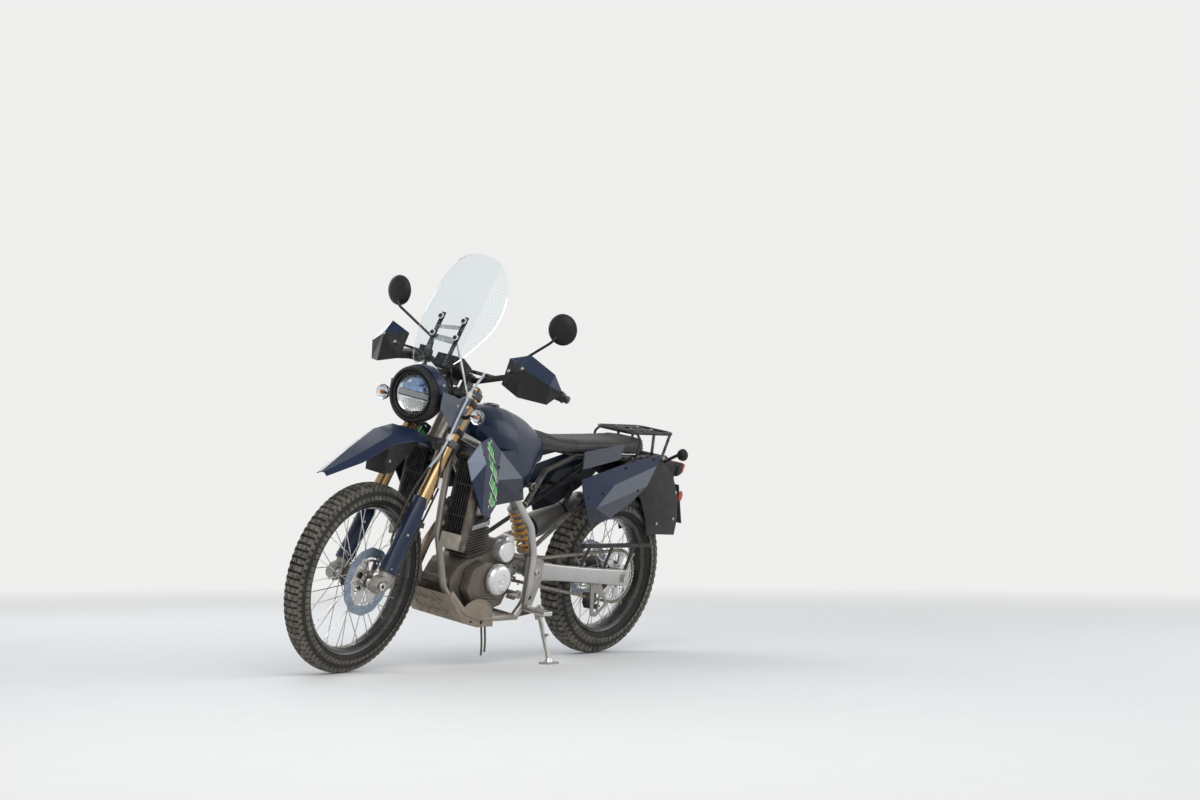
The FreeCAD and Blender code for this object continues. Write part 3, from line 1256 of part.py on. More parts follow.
# Side stand, worked out from the floor as the leaning machine sees it
stand_pivot = pivot(-50, -150, 134)
stand_reach_ahead = 96.0
stand_reach_out = 128.0
stand_r = 10.0
stand_lug_half = 9.0
foot_height = 8.0
folded_direction = Vector(-0.97, 0.03, 0.24).normalize()
pivot_on_floor = standing.multVec(stand_pivot)
foot_on_floor = Vector(pivot_on_floor.x + stand_reach_ahead, pivot_on_floor.y + stand_reach_out, foot_height)
stand_foot = standing.inverse().multVec(foot_on_floor)
stand_direction = (stand_foot - stand_pivot).normalize()
stand_axis = stand_direction.cross(folded_direction).normalize()
stand_range_deg = math.degrees(stand_direction.getAngle(folded_direction))


def side_stand():
    """Leg on a forked hinge, with a flat foot that lies on the floor."""
    up = standing.inverse().Rotation.multVec(Vector(0, 0, 1))
    ahead = standing.inverse().Rotation.multVec(Vector(1, 0, 0))
    leg = rod(stand_pivot + stand_direction * 18, stand_foot, stand_r)
    ears = []
    for side in (-1, 1):
        near = stand_pivot + stand_axis * side * (stand_lug_half + 0.5)
        far = near + stand_axis * side * 7
        ears.append(rod(near, far, 15, turned_sides))
        ears.append(bar(near, near + stand_direction * 34, 7, 24, stand_direction.cross(stand_axis))
                    .translated(stand_axis * side * 3.5))
    web = bar(stand_pivot + stand_direction * 20, stand_pivot + stand_direction * 36,
              2 * (stand_lug_half + 7.5), 24, stand_direction.cross(stand_axis))
    bolt_reach = stand_axis * (stand_lug_half + 12)
    bolt = round_rod(stand_pivot - bolt_reach, stand_pivot + bolt_reach, 5)
    pad = bar(stand_foot - ahead * 36 - up * foot_height / 2, stand_foot + ahead * 30 - up * foot_height / 2,
              48, foot_height, up)
    neck = turned([(0, -foot_height / 2), (20, -foot_height / 2), (12, 18), (0, 18)], stand_foot, up)
    return joined([leg, web, pad, neck, bolt] + ears)


def stand_lug():
    """Lug on the frame between the stand's ears, carried from the cradle."""
    lug = rod(stand_pivot - stand_axis * stand_lug_half, stand_pivot + stand_axis * stand_lug_half, 14, turned_sides)
    hole = round_rod(stand_pivot - stand_axis * 40, stand_pivot + stand_axis * 40, 5.3)
    carrier = bar(stand_pivot + Vector(0, -4, 0), pivot(40, -168, 108), 16, 16, Vector(0, 0, 1))
    return lug, carrier, hole


def side_stand_room():
    """Room for the stand's two ears to turn, each side of the frame's lug."""
    rooms = []
    for side in (-1, 1):
        near = stand_pivot + stand_axis * side * stand_lug_half
        rooms.append(round_rod(near, near + stand_axis * side * 22, 24))
    return Part.makeCompound(rooms)


hose_r = 4.0


def vent_hose(x, y, length):
    """Limp hose from the engine's underside, hanging straight down from the leaning machine."""
    root = standing.multVec(pivot(x - pivot_x, -154, y))
    outward = standing.Rotation.multVec(Vector(0, 0, -1))
    first = root + outward * 26
    low = first + Vector(0, 0, -1) * (length - 60)
    points = [root, first, first + Vector(2, 1.5, -(length - 26) / 3), low + Vector(1, 3, -2), low + Vector(6, 2, -34)]
    return hose(points, hose_r, 400)


def build():
    """All nodes standing on the floor, with the origin under the middle of their box."""
    head_saddle = rod(fork(-head_tube_half, 0), fork(head_tube_half, 0), head_tube_r + seat_gap, turned_sides)
    saddle = joined(frame_tubes(seat_gap) + [head_saddle])
    arm = swingarm()
    chassis = {
        "frame": frame(), "crankcase": crankcase(saddle), "cylinder": cylinder_and_head(),
        "engine_covers": engine_covers(), "radiators": radiators(saddle), "exhaust": exhaust_line(saddle),
        "skid_plate": skid_plate(saddle), "swingarm": Part.makeCompound([arm, rear_axle_bolt()]),
        "shock": shock(), "chain": chain(), "chain_guards": chain_guards(arm), "rear_caliper": rear_caliper(),
        "tank": tank(saddle), "seat": seat(), "shrouds": shrouds(saddle), "side_panels": side_panels(saddle),
        "rear_fender": rear_fender(saddle), "rear_lights": rear_lights(), "rack": rack(saddle),
        "foot_controls": foot_controls(saddle),
    }
    steering = {
        "fork_outers": fork_outers(), "fork_sliders": fork_sliders(), "fork_guards": fork_guards(),
        "triple_clamps": triple_clamps(), "handlebar": handlebar(), "controls": controls(),
        "hand_guards": hand_guards(), "mirrors": mirrors(), "headlight": headlight(), "mask": mask(),
        "windscreen": windscreen(), "front_fender": front_fender(), "front_indicators": front_indicators(),
        "front_caliper": front_caliper(),
    }
    wheels = wheel_nodes()
    nodes = {}
    for name, shape in chassis.items():
        nodes[name] = moved(shape, standing)
    nodes["side_stand"] = moved(side_stand(), standing)
    for name, shape in list(steering.items()) + [(n, s) for n, s in wheels.items() if n.startswith("front")]:
        nodes[name] = moved(shape, standing * steering_turn)
    for name, shape in wheels.items():
        if name.startswith("rear"):
            nodes[name] = moved(shape, standing)
    nodes["vent_hose_front"] = vent_hose(760, 52, 176)
    nodes["vent_hose_rear"] = vent_hose(726, 40, 168)
    return nodes


def moved(shape, placement):
    placed = shape.copy()
    placed.Placement = placement * placed.Placement
    return placed


def base_shift(nodes):
    """Vector from the middle of the whole box's floor side to the origin."""
    box = FreeCAD.BoundBox()
    for shape in nodes.values():
        box.add(shape.optimalBoundingBox(False, False))
    return Vector(-(box.XMin + box.XMax) / 2, -(box.YMin + box.YMax) / 2, -box.ZMin)


nodes = build()
shift = base_shift(nodes)
for name, shape in nodes.items():
    shape.translate(shift)
    shape.exportStep("parts/" + name + ".step")
    print(name, "solids", len(shape.Solids), "volume", round(shape.Volume / 1000), "cm3", shape.isValid())
print("shift", shift, "stand range", round(stand_range_deg, 1))
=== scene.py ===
# %% [markdown]
# A dual sport motorcycle, leaning on its side stand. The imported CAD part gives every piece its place; this
# lesson gives each piece its finished shape and its surface. Most pieces are worked out with numpy as grids
# of points, because a tyre, a tube or a fender is a short formula, and whole arrays are faster than placing
# one vertex after another.

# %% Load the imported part
import json
import math

import bpy
import numpy as np
from numpy import arange, array, asarray, broadcast_to, clip, column_stack, concatenate, convolve
from numpy import cos, full, gradient, insert, interp, linspace, ones, pi
from numpy import radians, roll, sin, sqrt, stack, vstack, zeros
from mathutils import Matrix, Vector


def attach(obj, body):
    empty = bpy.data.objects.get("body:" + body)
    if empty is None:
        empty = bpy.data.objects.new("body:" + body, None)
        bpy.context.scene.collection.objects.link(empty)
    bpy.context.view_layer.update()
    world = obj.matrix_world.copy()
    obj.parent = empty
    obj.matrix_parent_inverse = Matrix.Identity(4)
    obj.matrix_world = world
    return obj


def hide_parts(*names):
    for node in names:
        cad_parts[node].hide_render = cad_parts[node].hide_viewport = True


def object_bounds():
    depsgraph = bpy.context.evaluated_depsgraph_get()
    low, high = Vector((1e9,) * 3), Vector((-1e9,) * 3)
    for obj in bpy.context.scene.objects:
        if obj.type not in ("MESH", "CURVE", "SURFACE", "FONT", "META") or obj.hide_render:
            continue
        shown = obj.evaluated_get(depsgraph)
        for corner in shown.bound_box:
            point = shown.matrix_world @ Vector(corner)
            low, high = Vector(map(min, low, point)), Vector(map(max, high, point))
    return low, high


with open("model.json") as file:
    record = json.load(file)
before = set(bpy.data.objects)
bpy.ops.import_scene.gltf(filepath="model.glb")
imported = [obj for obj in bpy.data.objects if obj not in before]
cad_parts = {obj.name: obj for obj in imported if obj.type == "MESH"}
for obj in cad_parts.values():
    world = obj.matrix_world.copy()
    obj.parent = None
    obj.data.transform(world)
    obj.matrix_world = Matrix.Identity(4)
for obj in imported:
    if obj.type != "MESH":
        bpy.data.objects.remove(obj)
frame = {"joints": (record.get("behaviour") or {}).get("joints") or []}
cad_low, cad_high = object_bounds()
joints = {joint["name"]: joint for joint in frame["joints"]}

# %% [markdown]
# The machine is drawn upright, in millimetres, and only then leaned onto its stand. The two placements are
# read from the joints: the rear wheel's axle is the upright machine's sideways direction as it leans, and
# the steering joint's line is what the fork turns about.

# %% The two placements: the leaning machine and the turned fork
rest_steer = radians(6.0)


def turn_about(axis, angle):
    """A turn about a unit axis: cos on the identity, sin on the cross product, the rest along the axis."""
    x, y, z = axis
    cross = array([[0, -z, y], [z, 0, -x], [-y, x, 0]])
    return np.eye(3) * cos(angle) + cross * sin(angle) + np.outer(axis, axis) * (1 - cos(angle))


rear_line = array(joints["rear_wheel_spin"]["axis"])
lean = math.acos(rear_line[1])
pitch = math.atan2(-rear_line[0], -rear_line[2])
leaning = turn_about(array([0.0, 1, 0]), pitch) @ turn_about(array([1.0, 0, 0]), -lean)
rear_hub = array([0.0, 0.0, 330.0])
lean_shift = array(joints["rear_wheel_spin"]["pos_m"]) - leaning @ rear_hub / 1000
steer_point = array(joints["steering_turn"]["pos_m"])
turned_fork = turn_about(array(joints["steering_turn"]["axis"]), rest_steer)


def upright(points):
    """Millimetres of the upright machine to metres of the leaning one."""
    return asarray(points) @ leaning.T / 1000 + lean_shift


def steered(points):
    """The same for the pieces that turn with the fork: leaned, then turned about the steering line."""
    return (upright(points) - steer_point) @ turned_fork.T + steer_point


print("lean", round(math.degrees(lean), 2), "pitch", round(math.degrees(pitch), 3))

# %% [markdown]
# Places on the machine are easiest to read from three landmarks: the steering head, the swingarm pivot and
# the fork's own line, which is raked back by 26.5 degrees.

# %% Landmarks of the upright machine
rake = radians(26.5)
fork_up = array([-sin(rake), 0, cos(rake)])
fore = array([cos(rake), 0, sin(rake)])
side = array([0.0, 1, 0])
X, Y, Z = np.eye(3)
head_middle = array([1071.0, 0, 931])
arm_pivot = array([575.0, 0, 372])


def head(dx, dz, y=0.0):
    """A point from the middle of the steering head."""
    return head_middle + (dx, y, dz)


def pivot(dx, dz, y=0.0):
    """A point from the swingarm pivot."""
    return arm_pivot + (dx, y, dz)


def fork(up, ahead, y=0.0):
    """A point along the steering line from the head's middle, ahead of it and sideways."""
    return head_middle + fork_up * up + fore * ahead + side * y


def placing(origin, *ways):
    """A maker of points: from an origin, so far along each of its ways."""
    return lambda *steps: origin + sum((step * way for step, way in zip(steps, ways)))


axle_ahead = 61.0
axle_up = (348.0 - 931.0 - axle_ahead * sin(rake)) / cos(rake)
front_hub = fork(axle_up, axle_ahead)
leg_half = 100.0
leg_ahead = 35.0
print("front axle", front_hub.round(1))

# %% [markdown]
# The camera looks from the front left, level and low, with a long lens.
# The picture is 1200 by 800, and the machine stands a little left of its middle.

# %% Camera
lens_pixels = 2378.0
azimuth = radians(128.0)
camera_distance = 8.95
camera_height = 0.62
machine_centre = (array(cad_low) + array(cad_high)) / 2
back = array([sin(azimuth), -cos(azimuth), 0])
right = array([cos(azimuth), sin(azimuth), 0])
picture_x, picture_y = 526.0, 463.0
lens = bpy.data.cameras.new("camera")
lens.sensor_width = 36
lens.lens = lens_pixels / 1200 * 36
camera_place = machine_centre + back * camera_distance + right * ((600 - picture_x) / lens_pixels
    * camera_distance)
camera_place[2] = camera_height
rise = (machine_centre[2] - camera_height) / camera_distance * lens_pixels
lens.shift_y = (rise - (400 - picture_y)) / 1200
camera = bpy.data.objects.new("camera", lens)
camera.location = camera_place
camera.rotation_euler = (pi / 2, 0, azimuth)
bpy.context.scene.collection.objects.link(camera)
bpy.context.scene.camera = camera
print("camera", camera_place.round(3), "shift", round(lens.shift_y, 4))

# %% [markdown]
# A form here is a pair: an array of points and a list of faces. Each maker below returns forms in
# millimetres, and one function at the end turns a group of forms into a Blender object on its body.

# %% Grids, tubes and turned shapes
def grid(points, close_rows=False, close_cols=False, caps=False):
    """Quads over a grid of points. A closed direction joins last line to first; caps close the ends."""
    rows, cols = points.shape[:2]
    index = arange(rows * cols).reshape(rows, cols)
    if close_rows:
        index = vstack([index, index[:1]])
    if close_cols:
        index = np.hstack([index, index[:, :1]])
    quads = stack([index[:-1, :-1], index[:-1, 1:], index[1:, 1:], index[1:, :-1]], -1).reshape(-1, 4)
    faces = quads.tolist()
    if caps:
        faces.append(arange(cols)[::-1].tolist())
        faces.append((arange(cols) + (rows - 1) * cols).tolist())
    return points.reshape(-1, 3), faces


def full_turn(count):
    """Angles all round, without the last one, which is the first again."""
    return linspace(0, 2 * pi, count, False)


def unit(vector):
    """The direction of a vector, or of each row of an array of vectors."""
    vector = asarray(vector, float)
    return vector / np.linalg.norm(vector, axis=-1, keepdims=True)


def rounded(points, bend=60.0, steps=7):
    """A bent tube's centreline: straight runs joined by arcs of one radius, at most 0.45 of a run."""
    points = [asarray(p, float) for p in points]
    line = [points[0]]
    for before, corner, after in zip(points, points[1:], points[2:]):
        a, b = unit(before - corner), unit(after - corner)
        turn = pi - math.acos(clip(a @ b, -1, 1))
        if turn < 0.001:
            continue
        run = min(np.linalg.norm(before - corner), np.linalg.norm(after - corner))
        radius = min(bend, 0.45 * run / math.tan(turn / 2))
        centre = corner + unit(a + b) * radius / cos(turn / 2)
        start = corner + a * radius * math.tan(turn / 2) - centre
        across = unit(np.cross(start, np.cross(start, -b)))
        across = across if across @ -a > 0 else -across
        angle = linspace(0, turn, steps)[:, None]
        line.extend(centre + start * cos(angle) + across * radius * sin(angle))
    line.append(points[-1])
    return array(line)


def flowing(points, steps=8):
    """A smooth line through the points: cubic pieces whose slope at each point follows its two neighbours."""
    p = asarray(points, float)
    p = vstack([2 * p[0] - p[1], p, 2 * p[-1] - p[-2]])
    t = linspace(0, 1, steps, endpoint=False)[:, None, None]
    a, b, c, d = p[:-3], p[1:-2], p[2:-1], p[3:]
    curve = 0.5 * (2 * b + (c - a) * t + (2 * a - 5 * b + 4 * c - d) * t ** 2
        + (3 * b - a - 3 * c + d) * t ** 3)
    return vstack([curve.transpose(1, 0, 2).reshape(-1, 3), p[-2:-1]])


def frames_along(line):
    """Two directions across a line at each of its points, carried along it with no twist."""
    tangent = unit(gradient(line, axis=0))
    first = unit(np.cross(tangent[0], X if abs(tangent[0] @ X) < 0.8 else Z))
    across = [first]
    for direction in tangent[1:]:
        last = across[-1] - direction * (across[-1] @ direction)
        across.append(unit(last))
    across = array(across)
    return across, np.cross(tangent, across)


def tube(points, radius, around=16, bend=60.0, path=None):
    """A round bar: a circle carried along the line. The radius may change from point to point."""
    line = rounded(points, bend) if path is None else path
    across, rise = frames_along(line)
    angle = full_turn(around)
    radius = broadcast_to(asarray(radius, float), len(line))[:, None, None]
    ring = cos(angle)[None, :, None] * across[:, None] + sin(angle)[None, :, None] * rise[:, None]
    return loft(line[:, None] + radius * ring)


def rod(start, end, radius, around=24):
    """A straight round bar."""
    return tube(None, radius, around, path=array([start, end], float))


def basis(direction):
    """Three directions at right angles, the last one along the given direction."""
    w = unit(direction)
    u = unit(np.cross(Y if abs(w @ Y) < 0.9 else Z, w))
    return u, np.cross(w, u), w


def turned(profile, base, direction, around=48, closed=False):
    """A lathe shape: (radius, height) pairs turned about a line. An open profile begins and ends on it."""
    u, v, w = basis(direction)
    profile = array(profile, float)
    angle = full_turn(around)
    ring = cos(angle)[None, :, None] * u + sin(angle)[None, :, None] * v
    points = base + profile[:, 0, None, None] * ring + profile[:, 1, None, None] * w
    return grid(points, close_rows=closed, close_cols=True, caps=not closed)


def box(start, end, width, height, up=Z):
    """A straight bar with a rectangular section, its height along the direction up."""
    start, end = asarray(start, float), asarray(end, float)
    along = unit(end - start)
    across = unit(np.cross(along, up))
    rise_dir = np.cross(across, along)
    corner = array([[-1, -1], [1, -1], [1, 1], [-1, 1]]) / 2
    ring = corner[:, :1] * across * width + corner[:, 1:] * rise_dir * height
    return loft(stack([start + ring, end + ring]))


def placed(name, data):
    """A new object in the scene, at the origin."""
    made = bpy.data.objects.new(name, data)
    bpy.context.scene.collection.objects.link(made)
    return made


def corner_places(mesh):
    """The mesh's points as an array."""
    found = zeros(len(mesh.vertices) * 3)
    mesh.vertices.foreach_get("co", found)
    return found.reshape(-1, 3)


def loft(sections):
    """A skin over a stack of closed outlines with the same number of points, closed at both ends."""
    return grid(array(sections, float), close_cols=True, caps=True)


def walled(outer, inner):
    """A shell between two skins: each row runs out on one and back on the other."""
    return loft(concatenate([outer, inner[:, ::-1]], 1))


# %% [markdown]
# A brake disc, a sprocket or a bracket is a flat outline with holes, given a thickness. Blender's flat
# curve fills such an outline and rounds its edges in one step, so the plates are made as curves and kept as
# meshes.

# %% Plates with holes
def circle(radius, centre=(0, 0), count=24, phase=0.0):
    """Points round a circle."""
    angle = phase + full_turn(count)
    return stack([centre[0] + radius * cos(angle), centre[1] + radius * sin(angle)], -1)


def plate(outlines, thickness, edge=0.4):
    """A flat plate: outer outline first, then its holes, filled by a flat curve and thickened both ways."""
    curve = bpy.data.curves.new("outline", "CURVE")
    curve.dimensions = "2D"
    curve.fill_mode = "BOTH"
    curve.extrude = max(thickness / 2 - edge, 0.01)
    curve.bevel_depth = edge
    curve.bevel_resolution = 1
    curve.offset = -edge
    for outline in outlines:
        spline = curve.splines.new("POLY")
        spline.points.add(len(outline) - 1)
        flat = column_stack([outline, zeros(len(outline)), ones(len(outline))])
        spline.points.foreach_set("co", flat.ravel())
        spline.use_cyclic_u = True
    holder = bpy.data.objects.new("outline", curve)
    mesh = bpy.data.meshes.new_from_object(holder)
    form = (corner_places(mesh), [list(face.vertices) for face in mesh.polygons])
    bpy.data.objects.remove(holder)
    bpy.data.curves.remove(curve)
    bpy.data.meshes.remove(mesh)
    return form


def on_side(form, y):
    """Lays a flat form into the machine's side plane, at a sideways place."""
    points, faces = form
    return stack([points[:, 0], y + points[:, 2], points[:, 1]], -1), faces


def slab(outline, y_low, y_high, edge=0.8, holes=()):
    """A plate seen from the side, between two sideways places."""
    outlines = [array(outline, float)[:, [0, 2]] if len(outline[0]) == 3 else array(outline, float)]
    outlines += [array(h, float) for h in holes]
    return on_side(plate(outlines, y_high - y_low, edge), (y_low + y_high) / 2)


def shifted(form, move):
    """A form moved by a vector."""
    return form[0] + asarray(move, float), form[1]


def mirrored(form):
    """A form on the machine's other side, with its faces turned back outwards."""
    return form[0] * array([1.0, -1, 1]), [face[::-1] for face in form[1]]


def both(forms):
    """Every form and its mirror image."""
    return list(forms) + [mirrored(form) for form in forms]


def facets(corners, faces, inward):
    """A shell of flat facets between named corners, with an inner skin just inwards and closed rims."""
    names = list(corners)
    outer = array([corners[n] for n in names], float)
    inner = outer + asarray(inward, float)
    rows = [[names.index(n) for n in face] for face in faces]
    edges = {}
    for row in rows:
        for a, b in zip(row, row[1:] + row[:1]):
            edges.setdefault(frozenset((a, b)), []).append((a, b))
    count = len(names)
    shell = rows + [[i + count for i in row[::-1]] for row in rows]
    shell += [[b, a, a + count, b + count] for uses in edges.values() if len(uses) == 1 for a, b in uses]
    return vstack([outer, inner]), shell


def merged(forms):
    """Several forms as one array of points and one list of faces."""
    points, faces, start = [], [], 0
    for form in forms:
        points.append(form[0])
        faces += [[i + start for i in face] for face in form[1]]
        start += len(form[0])
    return vstack(points), faces


# %% [markdown]
# Small hexagon screws are repeated all over. One maker gives a washer and a head with a low dome, so the
# screws cost few faces each.

# %% Screws
def screw(at, direction, size=5.0, height=4.0):
    """A hexagon head on a round washer."""
    washer = turned([(0, 0), (size * 1.35, 0), (size * 1.35, 1.1), (0, 1.1)], at, direction, 12)
    hexagon = turned([(0, 1), (size, 1), (size, height * 0.8), (size * 0.8, height), (0, height)], at,
        direction, 6)
    return [washer, hexagon]


def bolt(at, direction, size=4.0, height=5.0):
    """A round socket head with its hexagon hole."""
    profile = [(0, 0), (size, 0), (size, height - 0.8), (size * 0.86, height), (size * 0.5, height),
        (size * 0.5, height - 2.6), (0, height - 2.6)]
    return [turned(profile, at, direction, 12)]


# %% From forms to an object
import bmesh

pieces_made = {}


def piece(name, groups, body, nodes=(), sharp=32.0, round_edge=0.0):
    """One object from groups of forms, one group for each material, in place on its body."""
    mesh = bpy.data.meshes.new(name)
    for finish, forms in groups:
        mesh.materials.append(finish)
    points, faces = merged([form for finish, forms in groups for form in forms])
    material_of = [n for n, group in enumerate(groups) for form in group[1] for face in form[1]]
    place = steered if body in ("steering", "front_wheel") else upright
    mesh.from_pydata(place(points).tolist(), [], faces)
    mesh.polygons.foreach_set("material_index", material_of)
    work = bmesh.new()
    work.from_mesh(mesh)
    bmesh.ops.remove_doubles(work, verts=work.verts, dist=1e-06)
    bmesh.ops.recalc_face_normals(work, faces=work.faces)
    work.to_mesh(mesh)
    work.free()
    mesh.polygons.foreach_set("use_smooth", ones(len(mesh.polygons), bool))
    mesh.set_sharp_from_angle(angle=radians(sharp))
    made = placed(name, mesh)
    if round_edge:
        bevel = made.modifiers.new("round edges", "BEVEL")
        bevel.width = round_edge / 1000
        bevel.segments = 2
        bevel.limit_method = "ANGLE"
        bevel.angle_limit = radians(sharp)
        bevel.harden_normals = True
    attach(made, body)
    if nodes:
        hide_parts(*nodes)
    pieces_made[name] = len(mesh.polygons)
    print(name, len(mesh.polygons), "faces")
    return made


# %% [markdown]
# The finishes share a few effects: colour that wanders a little, pale edges where paint or plastic has
# rubbed, dust that gathers low down and on faces that look up, and a fine grain. Each effect is one node
# group, built once, and every material sets its own values on it.

# %% Node groups: a small helper
def new_group(name, inputs, outputs):
    """An empty shader group with named sockets, its input node and its output node."""
    group = bpy.data.node_groups.new(name, "ShaderNodeTree")
    for label, kind, value in inputs:
        socket = group.interface.new_socket(label, in_out="INPUT", socket_type=kind)
        socket.default_value = value
    for label, kind in outputs:
        group.interface.new_socket(label, in_out="OUTPUT", socket_type=kind)
    return group, group.nodes.new("NodeGroupInput"), group.nodes.new("NodeGroupOutput")


def feed(tree, node, values):
    """Fills a node's inputs: a socket is linked, a number or a colour is set."""
    for key, value in values.items():
        if isinstance(value, bpy.types.NodeSocket):
            tree.links.new(value, node.inputs[key])
        else:
            node.inputs[key].default_value = value


def add(tree, kind, values=(), **settings):
    """A new node of a kind, with its settings and its inputs."""
    node = tree.nodes.new("ShaderNode" + kind)
    for name, value in settings.items():
        setattr(node, name, value)
    feed(tree, node, dict(values))
    return node


def maths(tree, operation, *values, clamp=False):
    """One Math node; each value is a socket or a number."""
    return add(tree, "Math", enumerate(values), operation=operation, use_clamp=clamp).outputs[0]


def times(tree, first, second):
    """The product of two values."""
    return maths(tree, "MULTIPLY", first, second)


def plus(tree, first, second):
    """The sum of two values."""
    return maths(tree, "ADD", first, second)


def noise(tree, place, scale, detail=3.0, rough=0.55):
    """A noise value over the surface, between about 0.3 and 0.7."""
    values = {"Detail": detail, "Roughness": rough, "Vector": place, "Scale": scale}
    return add(tree, "TexNoise", values).outputs["Fac"]


def steps_of(tree, value, low, high):
    """Stretches a value so that low becomes 0 and high becomes 1."""
    return add(tree, "MapRange", {"From Min": low, "From Max": high, "Value": value}).outputs["Result"]


def blend(tree, share, first, second, kind="MIX"):
    """Two colours mixed by a share."""
    return add(tree, "Mix", {0: share, 6: first, 7: second}, data_type="RGBA", blend_type=kind).outputs[2]


def on_piece(tree):
    """Object coordinates, which stay with the piece when it moves."""
    return add(tree, "TexCoord").outputs["Object"]


def parted(tree, vector):
    """The three parts of a vector."""
    return add(tree, "SeparateXYZ", {0: vector}).outputs


COLOUR, VALUE = "NodeSocketColor", "NodeSocketFloat"
print("helpers for node groups")

# %% [markdown]
# Wear: the Geometry node's pointiness is high on outward edges. Broken up by noise, it gives rubbed edges.
# Dust: a noise with a large and a small scale, stronger towards the ground and on faces that look up.

# %% Wear, dust and grain
mid_grey = (0.5, 0.5, 0.5, 1)
wear_group, given, result = new_group("edge wear", [("Colour", COLOUR, mid_grey),
    ("Worn Colour", COLOUR, (0.6, 0.6, 0.6, 1)), ("Amount", VALUE, 0.5)],
    [("Colour", COLOUR), ("Mask", VALUE)])
tree = wear_group
sharp = add(tree, "NewGeometry").outputs["Pointiness"]
patchy = steps_of(tree, noise(tree, on_piece(tree), 38, 4), 0.42, 0.62)
rubbed = times(tree, steps_of(tree, sharp, 0.52, 0.62), patchy)
rubbed = maths(tree, "MULTIPLY", rubbed, given.outputs["Amount"], clamp=True)
worn = blend(tree, rubbed, given.outputs["Colour"], given.outputs["Worn Colour"])
feed(tree, result, {"Colour": worn, "Mask": rubbed})

dust_group, given, result = new_group("dust", [("Colour", COLOUR, mid_grey),
    ("Dust Colour", COLOUR, (0.3, 0.25, 0.19, 1)), ("Amount", VALUE, 0.5), ("Roughness", VALUE, 0.4)],
    [("Colour", COLOUR), ("Roughness", VALUE), ("Mask", VALUE)])
tree = dust_group
place = on_piece(tree)
low_down = maths(tree, "SUBTRACT", 1, steps_of(tree, parted(tree, place)["Z"], 0.15, 1))
lying = steps_of(tree, parted(tree, add(tree, "NewGeometry").outputs["Normal"])["Z"], 0.2, 1)
specks = steps_of(tree, noise(tree, place, 150, 3), 0.35, 0.65)
settled = plus(tree, times(tree, low_down, 0.7), times(tree, lying, 0.35))
settled = times(tree, settled, plus(tree, steps_of(tree, noise(tree, place, 9, 5, 0.65), 0.36, 0.66), 0.25))
settled = times(tree, settled, plus(tree, times(tree, specks, 0.5), 0.7))
settled = maths(tree, "MULTIPLY", settled, given.outputs["Amount"], clamp=True)
rough_in = given.outputs["Roughness"]
rougher = plus(tree, rough_in, times(tree, settled, maths(tree, "SUBTRACT", 0.85, rough_in)))
dusty = blend(tree, settled, given.outputs["Colour"], given.outputs["Dust Colour"])
dull = maths(tree, "ADD", rougher, times(tree, specks, 0.05), clamp=True)
feed(tree, result, {"Colour": dusty, "Mask": settled, "Roughness": dull})

grain_group, given, result = new_group("grain", [("Colour", COLOUR, mid_grey), ("Scale", VALUE, 600.0),
    ("Streaks", VALUE, 0.0), ("Variation", VALUE, 0.12)], [("Colour", COLOUR), ("Height", VALUE)])
tree = grain_group
place = on_piece(tree)
fine = noise(tree, place, given.outputs["Scale"], 2)
stretched = add(tree, "Mapping", {"Scale": (1, 12, 12), "Vector": place}).outputs[0]
height = plus(tree, fine, times(tree, noise(tree, stretched, 26, 4, 0.7), given.outputs["Streaks"]))
tone = plus(tree, times(tree, noise(tree, place, 6, 3), 0.6), times(tree, fine, 0.4))
tone = times(tree, maths(tree, "SUBTRACT", tone, 0.5), given.outputs["Variation"])
tone = maths(tree, "MULTIPLY_ADD", tone, 4, 1)
grey = add(tree, "CombineColor", {0: tone, 1: tone, 2: tone}).outputs[0]
toned = blend(tree, 1, given.outputs["Colour"], grey, "MULTIPLY")
feed(tree, result, {"Colour": toned, "Height": height})
print("groups", [g.name for g in bpy.data.node_groups])

# %% [markdown]
# One maker puts the three effects in a row: grain tints the colour and gives the bump, wear lightens edges,
# dust comes on top and makes the surface duller. Gloss, coat and metal stay on the shader itself.

# %% A finish from its values
def new_material(name):
    """A material with its node tree and its shader."""
    material = bpy.data.materials.new(name)
    material.use_nodes = True
    return material, material.node_tree, material.node_tree.nodes["Principled BSDF"]


def relief(tree, toned, strength):
    """The grain's height as a bump of up to a millimetre."""
    values = {"Strength": strength, "Distance": 0.001, "Height": toned.outputs["Height"]}
    return add(tree, "Bump", values).outputs[0]


def finish(name, colour, rough=0.5, metal=0.0, grain=600.0, streaks=0.0, bump=0.08, vary=0.12, worn=None,
    wear=0.5, dust=0.5, dust_colour=(0.3, 0.25, 0.19), coat=0.0, shine=0.5):
    """A Principled material with grain, rubbed edges and dust."""
    material, tree, shader = new_material(name)
    worn = worn or tuple((min(1.0, c * 1.6 + 0.06) for c in colour))
    toned = add(tree, "Group", node_tree=grain_group)
    feed(tree, toned, {"Colour": (*colour, 1), "Scale": grain, "Streaks": streaks, "Variation": vary})
    rubbed = add(tree, "Group", node_tree=wear_group)
    feed(tree, rubbed, {"Colour": toned.outputs["Colour"], "Worn Colour": (*worn, 1), "Amount": wear})
    topped = add(tree, "Group", node_tree=dust_group)
    feed(tree, topped, {"Colour": rubbed.outputs["Colour"], "Dust Colour": (*dust_colour, 1),
        "Amount": dust, "Roughness": rough})
    feed(tree, shader, {"Base Color": topped.outputs["Colour"], "Roughness": topped.outputs["Roughness"],
        "Normal": relief(tree, toned, bump), "Metallic": metal, "Coat Weight": coat, "Coat Roughness": 0.08,
        "Specular IOR Level": shine})
    return material


